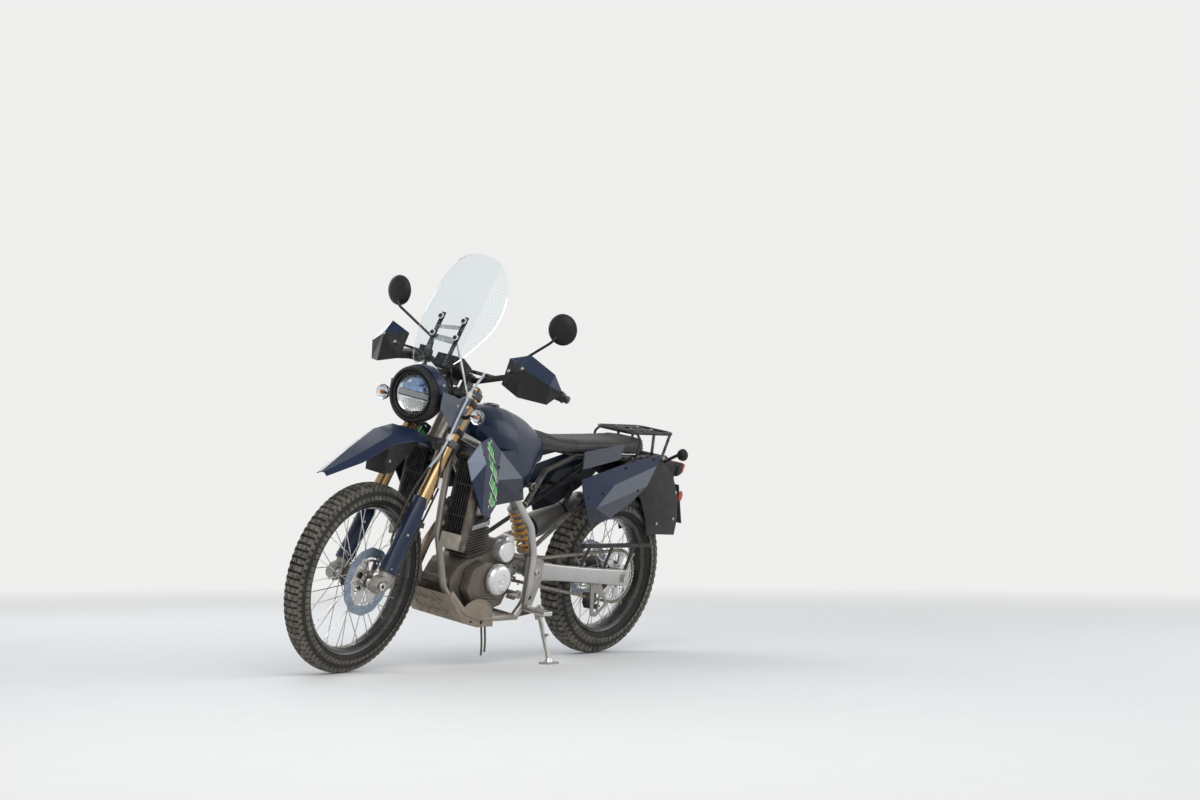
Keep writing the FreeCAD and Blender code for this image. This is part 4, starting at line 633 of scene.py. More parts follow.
navy_colour = (0.004, 0.015, 0.046)
tyre_rubber = finish("tyre rubber", (0.013, 0.013, 0.013), 0.66, grain=420, bump=0.25, dust=0.35, vary=0.3,
    worn=(0.05, 0.048, 0.043), wear=0.3, dust_colour=(0.1, 0.09, 0.075), shine=0.3)
lug_rubber = finish("lug rubber", (0.05, 0.047, 0.042), 0.74, grain=420, bump=0.3, dust=0.8, vary=0.4,
    worn=(0.22, 0.2, 0.17), wear=0.8, dust_colour=(0.2, 0.18, 0.145), shine=0.3)
rim_black = finish("rim black", (0.012, 0.012, 0.014), 0.22, coat=0.4, dust=0.2, worn=(0.3, 0.3, 0.31),
    wear=0.4, shine=0.35)
spoke_steel = finish("spoke steel", (0.62, 0.61, 0.58), 0.28, 1, dust=0.3, streaks=0.3)
hub_dark = finish("hub dark", (0.05, 0.05, 0.055), 0.42, 0.6, dust=0.7, bump=0.15)
disc_steel = finish("disc steel", (0.62, 0.62, 0.61), 0.26, 1, grain=900, streaks=0.8, dust=0.2, bump=0.12)
disc_blue = finish("disc track", (0.27, 0.33, 0.41), 0.32, 0.85, grain=900, streaks=0.8, dust=0.15,
    bump=0.12)
bright = finish("bright steel", (0.66, 0.65, 0.63), 0.24, 1, dust=0.25, streaks=0.4)
zinc = finish("zinc screws", (0.45, 0.44, 0.42), 0.38, 1, dust=0.4)
chain_steel = finish("chain steel", (0.22, 0.2, 0.17), 0.42, 0.9, dust=0.6, bump=0.2)
frame_silver = finish("frame silver", (0.4, 0.37, 0.33), 0.4, 0.75, dust=0.75, bump=0.12,
    worn=(0.6, 0.58, 0.54))
spar_polished = finish("spar polished", (0.52, 0.51, 0.5), 0.26, 0.9, dust=0.3, streaks=0.5, bump=0.08)
cast = finish("cast alloy", (0.36, 0.35, 0.34), 0.46, 0.8, grain=350, dust=0.55, bump=0.3)
alloy_dusty = finish("dusty alloy", (0.34, 0.29, 0.24), 0.52, 0.6, grain=260, dust=0.9, bump=0.3,
    worn=(0.55, 0.5, 0.44), dust_colour=(0.27, 0.21, 0.155))
cover_silver = finish("cover silver", (0.8, 0.8, 0.79), 0.3, 0.75, dust=0.12, bump=0.1)
engine_dark = finish("engine dark", (0.055, 0.053, 0.05), 0.5, 0.45, grain=300, dust=0.8, bump=0.35)
case_brown = finish("case brown", (0.115, 0.1, 0.085), 0.55, 0.4, grain=260, dust=0.9, bump=0.35)
navy = finish("navy plastic", navy_colour, 0.28, coat=0.12, dust=0.06, vary=0.1, bump=0.03,
    worn=(0.05, 0.08, 0.15), wear=0.12, shine=0.3)
pale_panel = finish("pale panel", (0.2, 0.24, 0.31), 0.34, coat=0.2, dust=0.15, vary=0.08, bump=0.03,
    wear=0.15)
grey_panel = finish("grey panel", (0.115, 0.13, 0.16), 0.38, dust=0.15, vary=0.08, bump=0.04, wear=0.15,
    shine=0.35)
slate_panel = finish("slate panel", (0.052, 0.06, 0.078), 0.4, dust=0.15, vary=0.1, bump=0.05, wear=0.15,
    shine=0.35)
dark_panel = finish("dark panel", (0.014, 0.02, 0.034), 0.42, dust=0.12, vary=0.12, bump=0.06, wear=0.15,
    shine=0.3)
black = finish("black plastic", (0.009, 0.009, 0.01), 0.45, grain=520, dust=0.15, bump=0.3, vary=0.2,
    shine=0.3)
gloss = finish("black gloss", (0.01, 0.01, 0.011), 0.16, coat=0.3, dust=0.1, wear=0.3, shine=0.35)
black_metal = finish("black metal", (0.014, 0.014, 0.015), 0.36, 0.3, dust=0.3, worn=(0.3, 0.29, 0.28),
    wear=0.5, shine=0.35)
rubber = finish("hose rubber", (0.018, 0.018, 0.018), 0.6, dust=0.45, bump=0.2)
fork_bronze = finish("fork bronze", (0.44, 0.29, 0.15), 0.22, 0.95, dust=0.12, streaks=0.1, bump=0.02,
    vary=0.08, worn=(0.7, 0.6, 0.45), wear=0.2)
clamp_grey = finish("clamp grey", (0.1, 0.1, 0.105), 0.42, 0.6, dust=0.35, bump=0.25)
exhaust_steel = finish("exhaust steel", (0.42, 0.35, 0.27), 0.32, 0.95, dust=0.55, streaks=0.4, vary=0.3)
spring_yellow = finish("spring yellow", (0.7, 0.33, 0.03), 0.35, coat=0.3, dust=0.5)
amber = finish("amber bulb", (0.8, 0.24, 0.02), 0.2, dust=0)
red_lens = finish("red lens", (0.42, 0.012, 0.01), 0.14, coat=0.5, dust=0.2, grain=200, bump=0.1)
white_plastic = finish("white plastic", (0.62, 0.62, 0.6), 0.4, dust=0.35)
grip_rubber = finish("grip rubber", (0.02, 0.02, 0.02), 0.68, grain=900, dust=0.2, bump=0.5)
meter_face = finish("meter face", (0.13, 0.15, 0.14), 0.25, dust=0.1)
lamp_white = finish("lamp white", (0.82, 0.84, 0.86), 0.2, dust=0, vary=0.05, coat=0.3)
# The upper steps of the lamp mirror: chrome tinted blue, a painted reflection of the sky.
lamp_mirror_painted_sky = finish("lamp mirror, upper, painted sky reflection", (0.2, 0.33, 0.56), 0.12, 1, grain=200, dust=0, bump=0.02)
guard_brown = finish("guard brown", (0.05, 0.04, 0.03), 0.5, dust=0.5, bump=0.2, worn=(0.22, 0.17, 0.12))
tube_grey = finish("tube grey", (0.46, 0.52, 0.58), 0.35, dust=0.15, vary=0.06)
beige_block = finish("beige block", (0.33, 0.3, 0.25), 0.55, dust=0.6, bump=0.2)
print("finishes", len(bpy.data.materials))

# %% [markdown]
# Glass is the shader's own transmission with a plain value. The lamp's mirror is plain polished metal,
# but its upper steps have a blue-tinted copy, a painted reflection of the sky. The windscreen is thin, so its
# index of refraction stays near 1 and it doesn't turn the view upside down.

# %% Glass and mirror
def glass(name, colour, rough, ior):
    """Clear material: full transmission, and a little smudging in its roughness."""
    material, tree, shader = new_material(name)
    smudge = add(tree, "Group", node_tree=grain_group)
    feed(tree, smudge, {"Colour": (*colour, 1), "Scale": 60, "Variation": 0.03})
    spread = maths(tree, "MULTIPLY_ADD", smudge.outputs["Height"], rough, rough * 0.5)
    feed(tree, shader, {"Base Color": smudge.outputs["Colour"], "Roughness": spread,
        "Normal": relief(tree, smudge, 0.02), "Transmission Weight": 1.0, "IOR": ior})
    return material


screen_glass = glass("clear screen", (0.86, 0.905, 0.93), 0.05, 1.18)
lens_glass = glass("clear lens", (0.97, 0.98, 0.98), 0.04, 1.35)
mirror_chrome = finish("lamp mirror", (0.82, 0.84, 0.88), 0.1, 1, grain=200, dust=0, bump=0.02, vary=0.05)
mirror_glass = finish("mirror glass", (0.8, 0.82, 0.84), 0.04, 1, dust=0.12, bump=0, vary=0.03)
print("glass ready")

# %% [markdown]
# The two vent hoses come first. Each is a soft tube that leaves the engine's underside and hangs straight
# down, so its line is a smooth curve through a few points, and the curve's own bevel gives it its
# thickness.

# %% Vent hoses
hose_diameter = 0.008


def vent_hose(name, x, y, length):
    """Hangs from the case: out of it at right angles, then down by its own weight."""
    root = upright(pivot(x - arm_pivot[0], -154, y))
    first = root + leaning @ (0, 0, -0.026)
    low = first + (0, 0, -(length - 60) / 1000)
    third = first + array([2, 1.5, -(length - 26) / 3]) / 1000
    points = [root, first, third, low + array([1, 3, -2]) / 1000, low + array([6, 2, -34]) / 1000]
    curve = bpy.data.curves.new(name, "CURVE")
    curve.dimensions = "3D"
    curve.bevel_depth = hose_diameter / 2
    curve.bevel_resolution = 4
    curve.resolution_u = 12
    curve.use_fill_caps = True
    spline = curve.splines.new("NURBS")
    spline.points.add(len(points) - 1)
    for point, where in zip(spline.points, points):
        point.co = (*where, 1)
    spline.order_u = 3
    spline.use_endpoint_u = True
    curve.materials.append(rubber)
    hose = placed(name, curve)
    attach(hose, "chassis")
    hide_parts(name)
    print(name, "from", root.round(3))


vent_hose("vent_hose_front", 760, 52, 176)
vent_hose("vent_hose_rear", 726, 40, 168)

# %% [markdown]
# A tyre is a casing, turned from its section, with tread blocks standing on it. The blocks repeat around
# the wheel, so one row is a set of arrays: the angle of each block, its corners across the tread, and three
# rings of height.

# %% Tread blocks
def tread_row(centre, crown, lug, count, phase, across, length):
    """Blocks of one row: a base ring in the casing, a shoulder, and a smaller top on the tyre's outline."""
    low_y, high_y = across
    angle = 2 * pi * (arange(count) + phase) / count
    corners = array([[-1, low_y], [1, low_y], [1, high_y], [-1, high_y]], float)
    middle = (low_y + high_y) / 2
    rings = []
    for drop, grow in ((lug + 2.0, 1.6), (1.4, 0.0), (0.0, -1.2)):
        y = middle + (corners[:, 1] - middle) * (1 + 2 * grow / (high_y - low_y))
        r = interp(np.abs(y), crown[:, 1], crown[:, 0]) - drop
        turn = angle[:, None] + corners[:, 0] * (length / 2 + grow) / r
        rings.append(stack([centre[0] + r * cos(turn), centre[1] + broadcast_to(y, turn.shape),
            centre[2] + r * sin(turn)], -1))
    points = stack(rings, 1).reshape(-1, 3)
    sides = [[0, 1, 5, 4], [1, 2, 6, 5], [2, 3, 7, 6], [3, 0, 4, 7], [4, 5, 9, 8], [5, 6, 10, 9],
        [6, 7, 11, 10], [7, 4, 8, 11], [8, 9, 10, 11]]
    faces = (array(sides)[None] + 12 * arange(count)[:, None, None]).reshape(-1, 4)
    return points, faces.tolist()


def tyre(name, centre, seat_r, tip_r, half, bead, crown_half, lug, pattern, body):
    """Casing and blocks. Pattern rows: how many, phase, near and far edge across, length along the tread."""
    rise = tip_r - seat_r
    crown = array([(tip_r, 0), (tip_r, crown_half), (seat_r + 0.93 * rise, 0.7 * half),
        (seat_r + 0.76 * rise, half), (seat_r + 0.47 * rise, 0.96 * half)])
    wall = [(seat_r + 0.6, bead - 1), (seat_r + 7, bead + 3), (seat_r + 0.24 * rise, 0.8 * half),
        (seat_r + 0.46 * rise, 0.925 * half), (seat_r + 0.68 * rise - lug * 0.2, 0.9 * half),
        (seat_r + 0.9 * rise - lug, 0.66 * half), (tip_r - lug, crown_half), (tip_r - lug * 0.95, 0)]
    wall = array(wall)
    section = vstack([wall, wall[-2::-1] * (1, -1)])
    smooth = flowing(column_stack([section, zeros(len(section))]), 4)[:, :2]
    forms = [turned(smooth, centre, Y, 132, closed=True)]
    for r, y in ((seat_r + 0.16 * rise, bead + 0.36 * (half - bead)), (seat_r + 0.36 * rise, 0.885 * half)):
        for way in (-1, 1):
            ridge = [(r - 1.6, y * way), (r, (y + 1.5) * way), (r + 1.6, y * way), (r, (y - 2) * way)]
            forms.append(turned(ridge, centre, Y, 132, closed=True))
    lugs = [tread_row(centre, crown, lug, count, phase, across, length)
        for count, phase, near, far, length in pattern for across in ((near, far),
        (-far, -near))[:1 if near < 0 else 2]]
    piece(name, [(tyre_rubber, forms), (lug_rubber, lugs)], body, [body.replace("wheel", "tyre")],
        40)


front_pattern = [(42, 0.0, -10, 10, 17), (42, 0.5, 3, 17, 15), (42, 0.0, 14.5, 28, 18),
    (84, 0.5, 30.5, 42.6, 15), (42, 0.5, 20, 28.5, 12)]
rear_pattern = [(34, 0.0, -15, 15, 20), (34, 0.5, 4, 26, 19), (34, 0.0, 21, 39, 23),
    (68, 0.5, 42.5, 57.5, 18), (34, 0.5, 30, 40, 15)]
tyre("front_tyre_treaded", front_hub, 266.7, 348, 43, 21, 14, 9, front_pattern, "front_wheel")
tyre("rear_tyre_treaded", rear_hub, 228.6, 330, 58, 27.4, 20, 13, rear_pattern, "rear_wheel")

# %% [markdown]
# The rim is a drop-centre section turned round the axle. Every spoke ends in a nipple that leans with its
# spoke, and starts at a flange of the hub with a small round head.

# %% Rims, spokes and hubs
spoke_count = 36
rim_well = 11.0


def wheel(which, centre, seat_r, flange_half, bead_half, hub_half, flange_r, core_r, gap, body):
    """Rim with nipples, then the hub with laced spokes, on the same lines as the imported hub."""
    well_r = seat_r - rim_well
    flange = seat_r + 11
    section = [(flange - 2, flange_half - 2.5), (flange, flange_half - 1), (flange - 1, flange_half + 0.2),
        (seat_r + 3, bead_half + 4.5), (seat_r - 3.5, bead_half + 3.5), (seat_r - 7, bead_half * 0.82),
        (well_r - 0.3, bead_half / 2), (well_r - 0.6, 0)]
    top = [(seat_r + 2.2, bead_half + 1.4), (seat_r, bead_half - 1), (seat_r - 1, 0)]
    section = section + [(r, -y) for r, y in section[-2::-1]] + [(r, -y) for r, y in top[:-1]]
    section += [top[-1]] + top[-2::-1]
    rim_forms = [turned(section, centre, Y, 144, closed=True)]
    spoke_forms, nipple_forms = [], []
    for index in range(spoke_count):
        way = 1 if index % 2 == 0 else -1
        trailing = 1 if index // 2 % 2 == 0 else -1
        at_rim = 2 * pi / spoke_count * index
        at_hub = at_rim + trailing * radians(62)
        y_hub = way * (gap + (3.0 if trailing > 0 else -1.0))
        reach = flange_r - 3
        start = centre + (reach * cos(at_hub), y_hub, reach * sin(at_hub))
        end = centre + ((well_r + 2) * cos(at_rim), way * 6.0, (well_r + 2) * sin(at_rim))
        spoke_forms.append(rod(start, end, 1.75, 8))
        along = unit(end - start)
        nipple = [(0, 0), (2.4, 0), (3.1, 3), (3.1, 14), (0, 14)]
        nipple_forms.append(turned(nipple, end - along * 14, along, 8))
        spoke_forms.append(turned([(0, -1.5), (3.2, -1.5), (2.4, 1.5), (0, 2)], start, Y * way, 8))
    profile = [(10.3, -hub_half), (core_r - 7, -hub_half), (core_r - 6, -hub_half + 1.2),
        (core_r - 6, -gap - 5), (flange_r - 1, -gap - 4), (flange_r, -gap - 2), (flange_r, -gap + 1),
        (flange_r - 2, -gap + 2), (core_r + 2, -gap + 6), (core_r, -gap + 10), (core_r - 2, 0),
        (core_r, gap - 10), (core_r + 2, gap - 6), (flange_r - 2, gap - 2), (flange_r, gap - 1),
        (flange_r, gap + 2), (flange_r - 1, gap + 4), (core_r - 6, gap + 5), (core_r - 6, hub_half - 1.2),
        (core_r - 7, hub_half), (10.3, hub_half)]
    hub_forms = [turned(profile, centre, Y, 64, closed=True)]
    rim_groups = [(rim_black, rim_forms), (spoke_steel, nipple_forms)]
    piece(which + "_rim_and_nipples", rim_groups, body, [which + "_rim"], 30)
    hub_groups = [(hub_dark, hub_forms), (spoke_steel, spoke_forms)]
    piece(which + "_hub_and_spokes", hub_groups, body, [which + "_hub"], 35)


wheel("front", front_hub, 266.7, 30.5, 21.5, 60, 40, 27, 36, "front_wheel")
wheel("rear", rear_hub, 228.6, 39, 28.5, 84, 62, 39, 46, "rear_wheel")

# %% [markdown]
# The discs are flat steel plates with a waved edge, windows inside, and rows of holes and slots that clear
# water. The sprocket is a plate too, with the seats of its teeth between blunt points.

# %% Discs and sprocket
def polar(radius, angle):
    """Points of the side plane from radius and angle."""
    return stack([radius * cos(angle), radius * sin(angle)], -1)


def window(inner, outer, start, end, rounding=0.08, count=9):
    """A window between two radii and two angles, with its corners taken off."""
    t = linspace(start + rounding, end - rounding, count)
    outer_edge = polar(np.where((t == t[0]) | (t == t[-1]), outer - 2, outer), t)
    inner_edge = polar(np.where((t == t[0]) | (t == t[-1]), inner + 2, inner), t[::-1])
    return vstack([outer_edge, inner_edge])


def slot_hole(radius, angle, length, width):
    """A short slot with round ends, pointing outwards at a slant."""
    middle = polar(radius, angle)
    slant = angle + 0.55
    along = array([cos(slant), sin(slant)])
    across = array([-along[1], along[0]])
    turn = linspace(-pi / 2, pi / 2, 5)[:, None]
    end = along * length / 2 + width / 2 * (cos(turn) * along + sin(turn) * across)
    return middle + vstack([end, -end])


def brake_disc(name, centre, y, radius, inner, bore, node, body):
    """Waved plate: the edge is a cosine of twelve waves on the radius."""
    petals = 12
    t = full_turn(240)
    outlines = [polar(radius * (0.9875 + 0.0125 * cos(petals * t)), t), circle(inner - 9, count=96)]
    for index in range(petals):
        mid = 2 * pi * index / petals
        outlines.append(slot_hole(radius - 13, mid, 9, 3.4))
        for share, r in ((0.3, radius - 8), (0.52, radius - 15), (0.7, radius - 21)):
            outlines.append(circle(2.5, polar(r, mid + share * pi / 6), 8))
            outlines.append(circle(2, polar(r - 4, mid - share * pi / 6), 8))
    track = shifted(on_side(plate(outlines, 4, 0), y), centre * (1, 0, 1))
    ears = clip((cos(6 * t) - 0.55) * 6, 0, 1)
    carrier = [polar(inner - 16 + 9 * ears, t), circle(bore, count=40)]
    for index in range(6):
        start = radians(60 * index + 12)
        carrier.append(window(bore + 13, inner - 24, start, start + radians(36)))
        carrier.append(circle(4.5, polar(inner - 22, radians(60 * index)), 16))
    carrier = shifted(on_side(plate(carrier, 5, 0.5), y), centre * (1, 0, 1))
    way = Y * (1 if y > 0 else -1)
    bolts, buttons = [], []
    for angle in radians(60 * arange(6)):
        out = array([cos(angle), 0, sin(angle)])
        bolts += bolt(centre + out * (bore + 8) + Y * y + way * 2, way, 4.2, 4.5)
        button = [(0, -3.2), (7.4, -3.2), (7.4, 3.2), (5.6, 3.8), (3.4, 3.8), (3.0, 2.0), (0, 2.0)]
        buttons.append(turned(button, centre + out * (inner - 8.5) + Y * y, way, 20))
    piece(name, [(disc_blue, [track]), (bright, [carrier] + buttons), (zinc, bolts)], body, [node],
        30)


brake_disc("front_disc_waved", front_hub, 56, 125, 98, 21.3, "front_disc", "front_wheel")
brake_disc("rear_disc_waved", rear_hub, -72, 120, 94, 33.3, "rear_disc", "rear_wheel")

chain_pitch = 15.875
chain_y = 80.0
rear_teeth, drive_teeth = 42, 14
drive_hub = array([668.0, 0, 372.0])


def pitch_r(teeth):
    """Radius of the circle on which the chain's pins lie."""
    return chain_pitch / (2 * sin(pi / teeth))


def sprocket_outline(teeth):
    """Tooth edge: round seats between blunt teeth, as a rounded cosine of the tooth angle."""
    t = full_turn(teeth * 8)
    wave = cos(teeth * t)
    return polar(pitch_r(teeth) + 4.5 * np.sign(wave) * np.abs(wave) ** 0.7, t)


outlines = [sprocket_outline(rear_teeth), circle(33.3, count=40)]
for index in range(7):
    start = 2 * pi * (index + 0.2) / 7
    outlines.append(window(49.5, pitch_r(rear_teeth) - 14, start, start + 2 * pi * 0.6 / 7, 0.06))
    angle = 2 * pi * index / 7
    outlines.append(circle(4, polar(pitch_r(rear_teeth) - 19, angle), 10))
sprocket_form = shifted(on_side(plate(outlines, 5.8, 0.4), chain_y), rear_hub * (1, 0, 1))
sprocket_bolts = []
for angle in 2 * pi * arange(7) / 7:
    at = rear_hub + (43 * cos(angle), chain_y + 2.9, 43 * sin(angle))
    sprocket_bolts += screw(at, Y, 4.2, 4.5)
piece("rear_sprocket_toothed", [(disc_steel, [sprocket_form]), (zinc, sprocket_bolts)], "rear_wheel",
    ["rear_sprocket"], 30)

# %% [markdown]
# The chain runs on two arcs and their two tangents. Every pin is found from its distance along that loop,
# so the links follow the arcs without a loop over points. Links alternate: narrow inner plates, wide outer
# plates.

# %% Chain
big, small = pitch_r(rear_teeth), pitch_r(drive_teeth)
span = drive_hub - rear_hub
distance = np.linalg.norm(span)
slope = math.atan2(span[2], span[0])
open_angle = math.acos((big - small) / distance)
straight = sqrt(distance ** 2 - (big - small) ** 2)
small_arc = small * 2 * open_angle
big_arc = big * (2 * pi - 2 * open_angle)
loop_length = 2 * straight + small_arc + big_arc
link_count = 2 * round(loop_length / chain_pitch / 2)


def on_loop(s):
    """Place on the loop at a distance s: top run forwards, small arc, low run back, big arc."""
    s = np.mod(s, loop_length)
    marks = np.cumsum([straight, small_arc, straight])
    top, low = slope + open_angle, slope - open_angle
    around_small = top - (s - marks[0]) / small
    around_big = low - (s - marks[2]) / big
    share_top = (s / straight)[:, None]
    share_low = ((s - marks[1]) / straight)[:, None]
    def rim_point(centre, r, angle):
        angle = broadcast_to(angle, s.shape)
        return centre[[0, 2]] + r * stack([cos(angle), sin(angle)], -1)
    first = rim_point(rear_hub, big, top) * (1 - share_top) + rim_point(drive_hub, small, top) * share_top
    third = rim_point(drive_hub, small, low) * (1 - share_low) + rim_point(rear_hub, big, low) * share_low
    second = rim_point(drive_hub, small, around_small)
    fourth = rim_point(rear_hub, big, around_big)
    part = np.searchsorted(marks, s, side="right")[:, None]
    return np.where(part == 0, first, np.where(part == 1, second, np.where(part == 2, third, fourth)))


pins = on_loop(arange(link_count) * loop_length / link_count)
after = roll(pins, -1, axis=0)
along_link = unit(after - pins)
link_side = stack([-along_link[:, 1], along_link[:, 0]], -1)
half_ring = radians(linspace(100, 260, 6))
eye = stack([6.6 * cos(half_ring), 6.6 * sin(half_ring)], -1)
outline = vstack([eye, [[chain_pitch / 2, -4.4]], [[chain_pitch, 0]] - eye, [[chain_pitch / 2, 4.4]]])
flat = pins[:, None] + outline[None, :, :1] * along_link[:, None] + outline[None, :, 1:] * link_side[:, None]


def prisms(outlines, near, far):
    """Many plates at once: each side-view outline at two sideways places, with walls and two lids."""
    number = outlines.shape[1]
    points = stack([insert(outlines, 1, chain_y + y, axis=2) for y in (near, far)], 1).reshape(-1, 3)
    ring = arange(number)
    walls = stack([ring, roll(ring, -1), roll(ring, -1) + number, ring + number], -1)
    starts = 2 * number * arange(len(outlines))[:, None]
    faces = (walls[None] + starts[..., None]).reshape(-1, 4).tolist()
    return points, faces + (ring + starts).tolist() + (ring[::-1] + number + starts).tolist()


link_forms = [prisms(flat[parity::2], way * near, way * far) for way in (-1, 1)
    for parity, near, far in ((0, 3.4, 4.6), (1, 4.4, 5.6))]
pin_forms = [prisms(pins[:, None] + circle(radius, count=8), -half, half)
    for radius, half in ((2.3, 6.6), (4.6, 3.2))]
piece("chain_links", [(chain_steel, link_forms), (zinc, pin_forms)], "chassis", ["chain"], 30)
print("links", link_count)

# %% [markdown]
# The fork: wide bronze tubes held by two clamps, bright sliders below, forged feet that hold the axle,
# and long plastic shields round the front of each slider. A shield is a part circle carried along the leg,
# whose width changes with height, given its thickness by the inner skin.

# %% Fork legs
top_clamp = 102.0
low_clamp = -102.0
clamp_half = 13.0

tube_top = top_clamp + clamp_half + 12
tube_low = tube_top - 480


def leg(up, y=leg_half):
    """A point on a fork leg's own line."""
    return fork(up, leg_ahead, y)


tube_profile = [(0, 0), (25.4, 0), (25.4, 10), (24.2, 12), (24.2, 16), (25.5, 18), (25.5, 479), (24.5, 480),
    (0, 480)]
cap = [(0, 0), (17, 0), (17, 5), (15, 7), (8, 7), (8, 3.5), (0, 3.5)]
dark_forms = both([turned([(21.2, -9), (23.5, -9), (25, -5), (25, 0), (21.2, 0)], leg(tube_low), fork_up,
    40, closed=True), turned(cap, leg(tube_top), fork_up, 6)])
piece("fork_tubes", [(fork_bronze, both([turned(tube_profile, leg(tube_low), fork_up, 48)])),
    (black_metal, dark_forms)], "steering", ["fork_outers"], 30)

foot_up = axle_up + 40
collar = turned([(21, -16), (24.5, -14), (25, 0), (25, 22), (22.5, 30), (21, 30)], leg(foot_up), fork_up,
    40, True)
shoe = [fork(axle_up + 30, leg_ahead - 20), fork(axle_up + 40, leg_ahead + 22),
    fork(axle_up + 22, axle_ahead + 16), fork(axle_up - 12, axle_ahead + 21),
    fork(axle_up - 26, axle_ahead + 6), fork(axle_up - 28, axle_ahead - 14), fork(axle_up, leg_ahead - 22)]
shoe_form = slab(shoe, leg_half - 20, leg_half + 18, 2.5, [circle(10, front_hub[[0, 2]], 24)])

feet = both([rod(leg(foot_up), leg(tube_low - 0.3), 21, 40), collar, shoe_form])
pinch = sum((bolt(fork(axle_up - 27, axle_ahead - 8, y + shift_y), -fork_up, 4, 6)
    for y in (-leg_half, leg_half) for shift_y in (-9, 9)), [])
caliper_out = unit((-0.995, 0, 0.1))
caliper_along = array([-caliper_out[2], 0, caliper_out[0]])
hanger = slab([fork(axle_up + 46, leg_ahead - 10), fork(axle_up + 12, leg_ahead - 10),
    front_hub + caliper_out * 96 + caliper_along * 30, front_hub + caliper_out * 96 - caliper_along * 12],
    66.3, 80, 1.5)
axle_y = leg_half + 26
shaft = turned([(7, -axle_y), (9.9, -axle_y), (9.9, axle_y - 4), (15, axle_y - 4), (15, axle_y + 2),
    (13.5, axle_y + 4), (7, axle_y + 4)], front_hub, Y, 32, True)
spacer = [turned([(10.2, 0), (16, 0), (18, 4), (16, 16), (10.2, 16)], front_hub + Y * 62 * s, Y * s, 32,
    True) for s in (-1, 1)]
piece("fork_sliders_and_feet", [(cast, feet + [hanger]), (bright, [shaft] + spacer), (zinc, pinch)],
    "steering", ["fork_sliders"], 32)

# %% Fork shields
guard_low = axle_up + 58
guard_top = tube_top - 480 + 28
heights = linspace(guard_low, guard_top, 15)
share = (heights - guard_low) / (guard_top - guard_low)
widest = radians(interp(share, [0, 0.12, 0.3, 0.8, 1.0], [96, 112, 100, 92, 60]))
swell = interp(share, [0, 0.1, 0.25, 0.9, 1.0], [2.0, 1.2, 0.0, 0.4, 1.5])


def guard_skin(radius, ribs):
    """Part circle round the leg at each height: the angle runs from edge to edge, with a raised centre."""
    t = linspace(-1, 1, 25)
    angle = t[None] * widest[:, None]
    raised = ribs * np.exp(-(t / 0.22) ** 4)[None] * clip(share * 6, 0, 1)[:, None] * clip((1 - share) * 6,
        0, 1)[:, None]
    r = radius + swell[:, None] + raised
    centre = array([leg(up) for up in heights])
    return centre[:, None] + (r * cos(angle))[..., None] * fore + (r * sin(angle))[..., None] * side


ring = concatenate([guard_skin(32, 2.6), guard_skin(29.5, 1.4)[:, ::-1]], axis=1)
band = turned([(25.3, -4), (29.6, -4), (29.6, 8), (25.3, 8)], leg(guard_low + 4), fork_up, 32, True)
shield_screws = []
for up in (guard_low + 14, guard_low + 150):
    for turn in (-0.9, 0.9):
        out = fore * cos(turn) + side * sin(turn)
        shield_screws += screw(leg(up) + out * 32, out, 3.2, 3)
piece("fork_shields", [(navy, both([loft(ring)])), (black, both([band])), (zinc, both(shield_screws))],
    "steering", ["fork_guards"], 35)

# %% [markdown]
# The clamps are thick plates that hold both legs and turn on the steering stem. Their outline is drawn
# flat, with the leg holes in it, and then laid across the steering line.

# %% Clamps
def across_fork(form, up):
    """Lays a flat form across the steering line: its first direction points ahead, its second sideways."""
    points, faces = form
    return fork(points[:, 2:] + up, points[:, :1], points[:, 1:2]), faces


def clamp_outline():
    """Half outline ahead and sideways, rounded around the leg."""
    lobe = radians(linspace(-75, 165, 12))
    ear = stack([leg_ahead + 35 * cos(lobe), leg_half + 34 * sin(lobe)], -1)
    half = vstack([[(30, 0), (34, 40), (52, 60)], ear, [(-14, 80), (-30, 30), (-33, 0)]])
    return vstack([half, (half * (1, -1))[-2:0:-1]])


clamp_holes = [circle(25.8, (leg_ahead, y), 32) for y in (leg_half, -leg_half)]
clamp_holes += [circle(8, (12, y), 16) for y in (48, -48)]
clamp_forms = [across_fork(plate([clamp_outline()] + clamp_holes, 25.8, 2), up)
    for up in (low_clamp, top_clamp)]
stem = rod(fork(low_clamp - clamp_half, 0), fork(top_clamp + clamp_half, 0), 16.9, 32)
nut = turned([(0, 0), (19, 0), (19, 9), (16, 12), (8, 12), (8, 4), (0, 4)], fork(top_clamp + clamp_half, 0),
    fork_up, 6)
clamp_screws = sum((bolt(fork(up + lift, leg_ahead + 28, s * (leg_half + 20)), side * s, 4, 6)
    for up in (low_clamp, top_clamp) for s in (-1, 1) for lift in (-6, 6)), [])
piece("steering_clamps", [(clamp_grey, clamp_forms), (zinc, [stem, nut] + clamp_screws)], "steering",
    ["triple_clamps"], 32)

# %% [markdown]
# The front fender is creased like folded paper: a flat deck, sides that turn down, and a tongue under it.
# The corners stand in a short table, each facet joins named corners, and a small bevel rounds every crease.

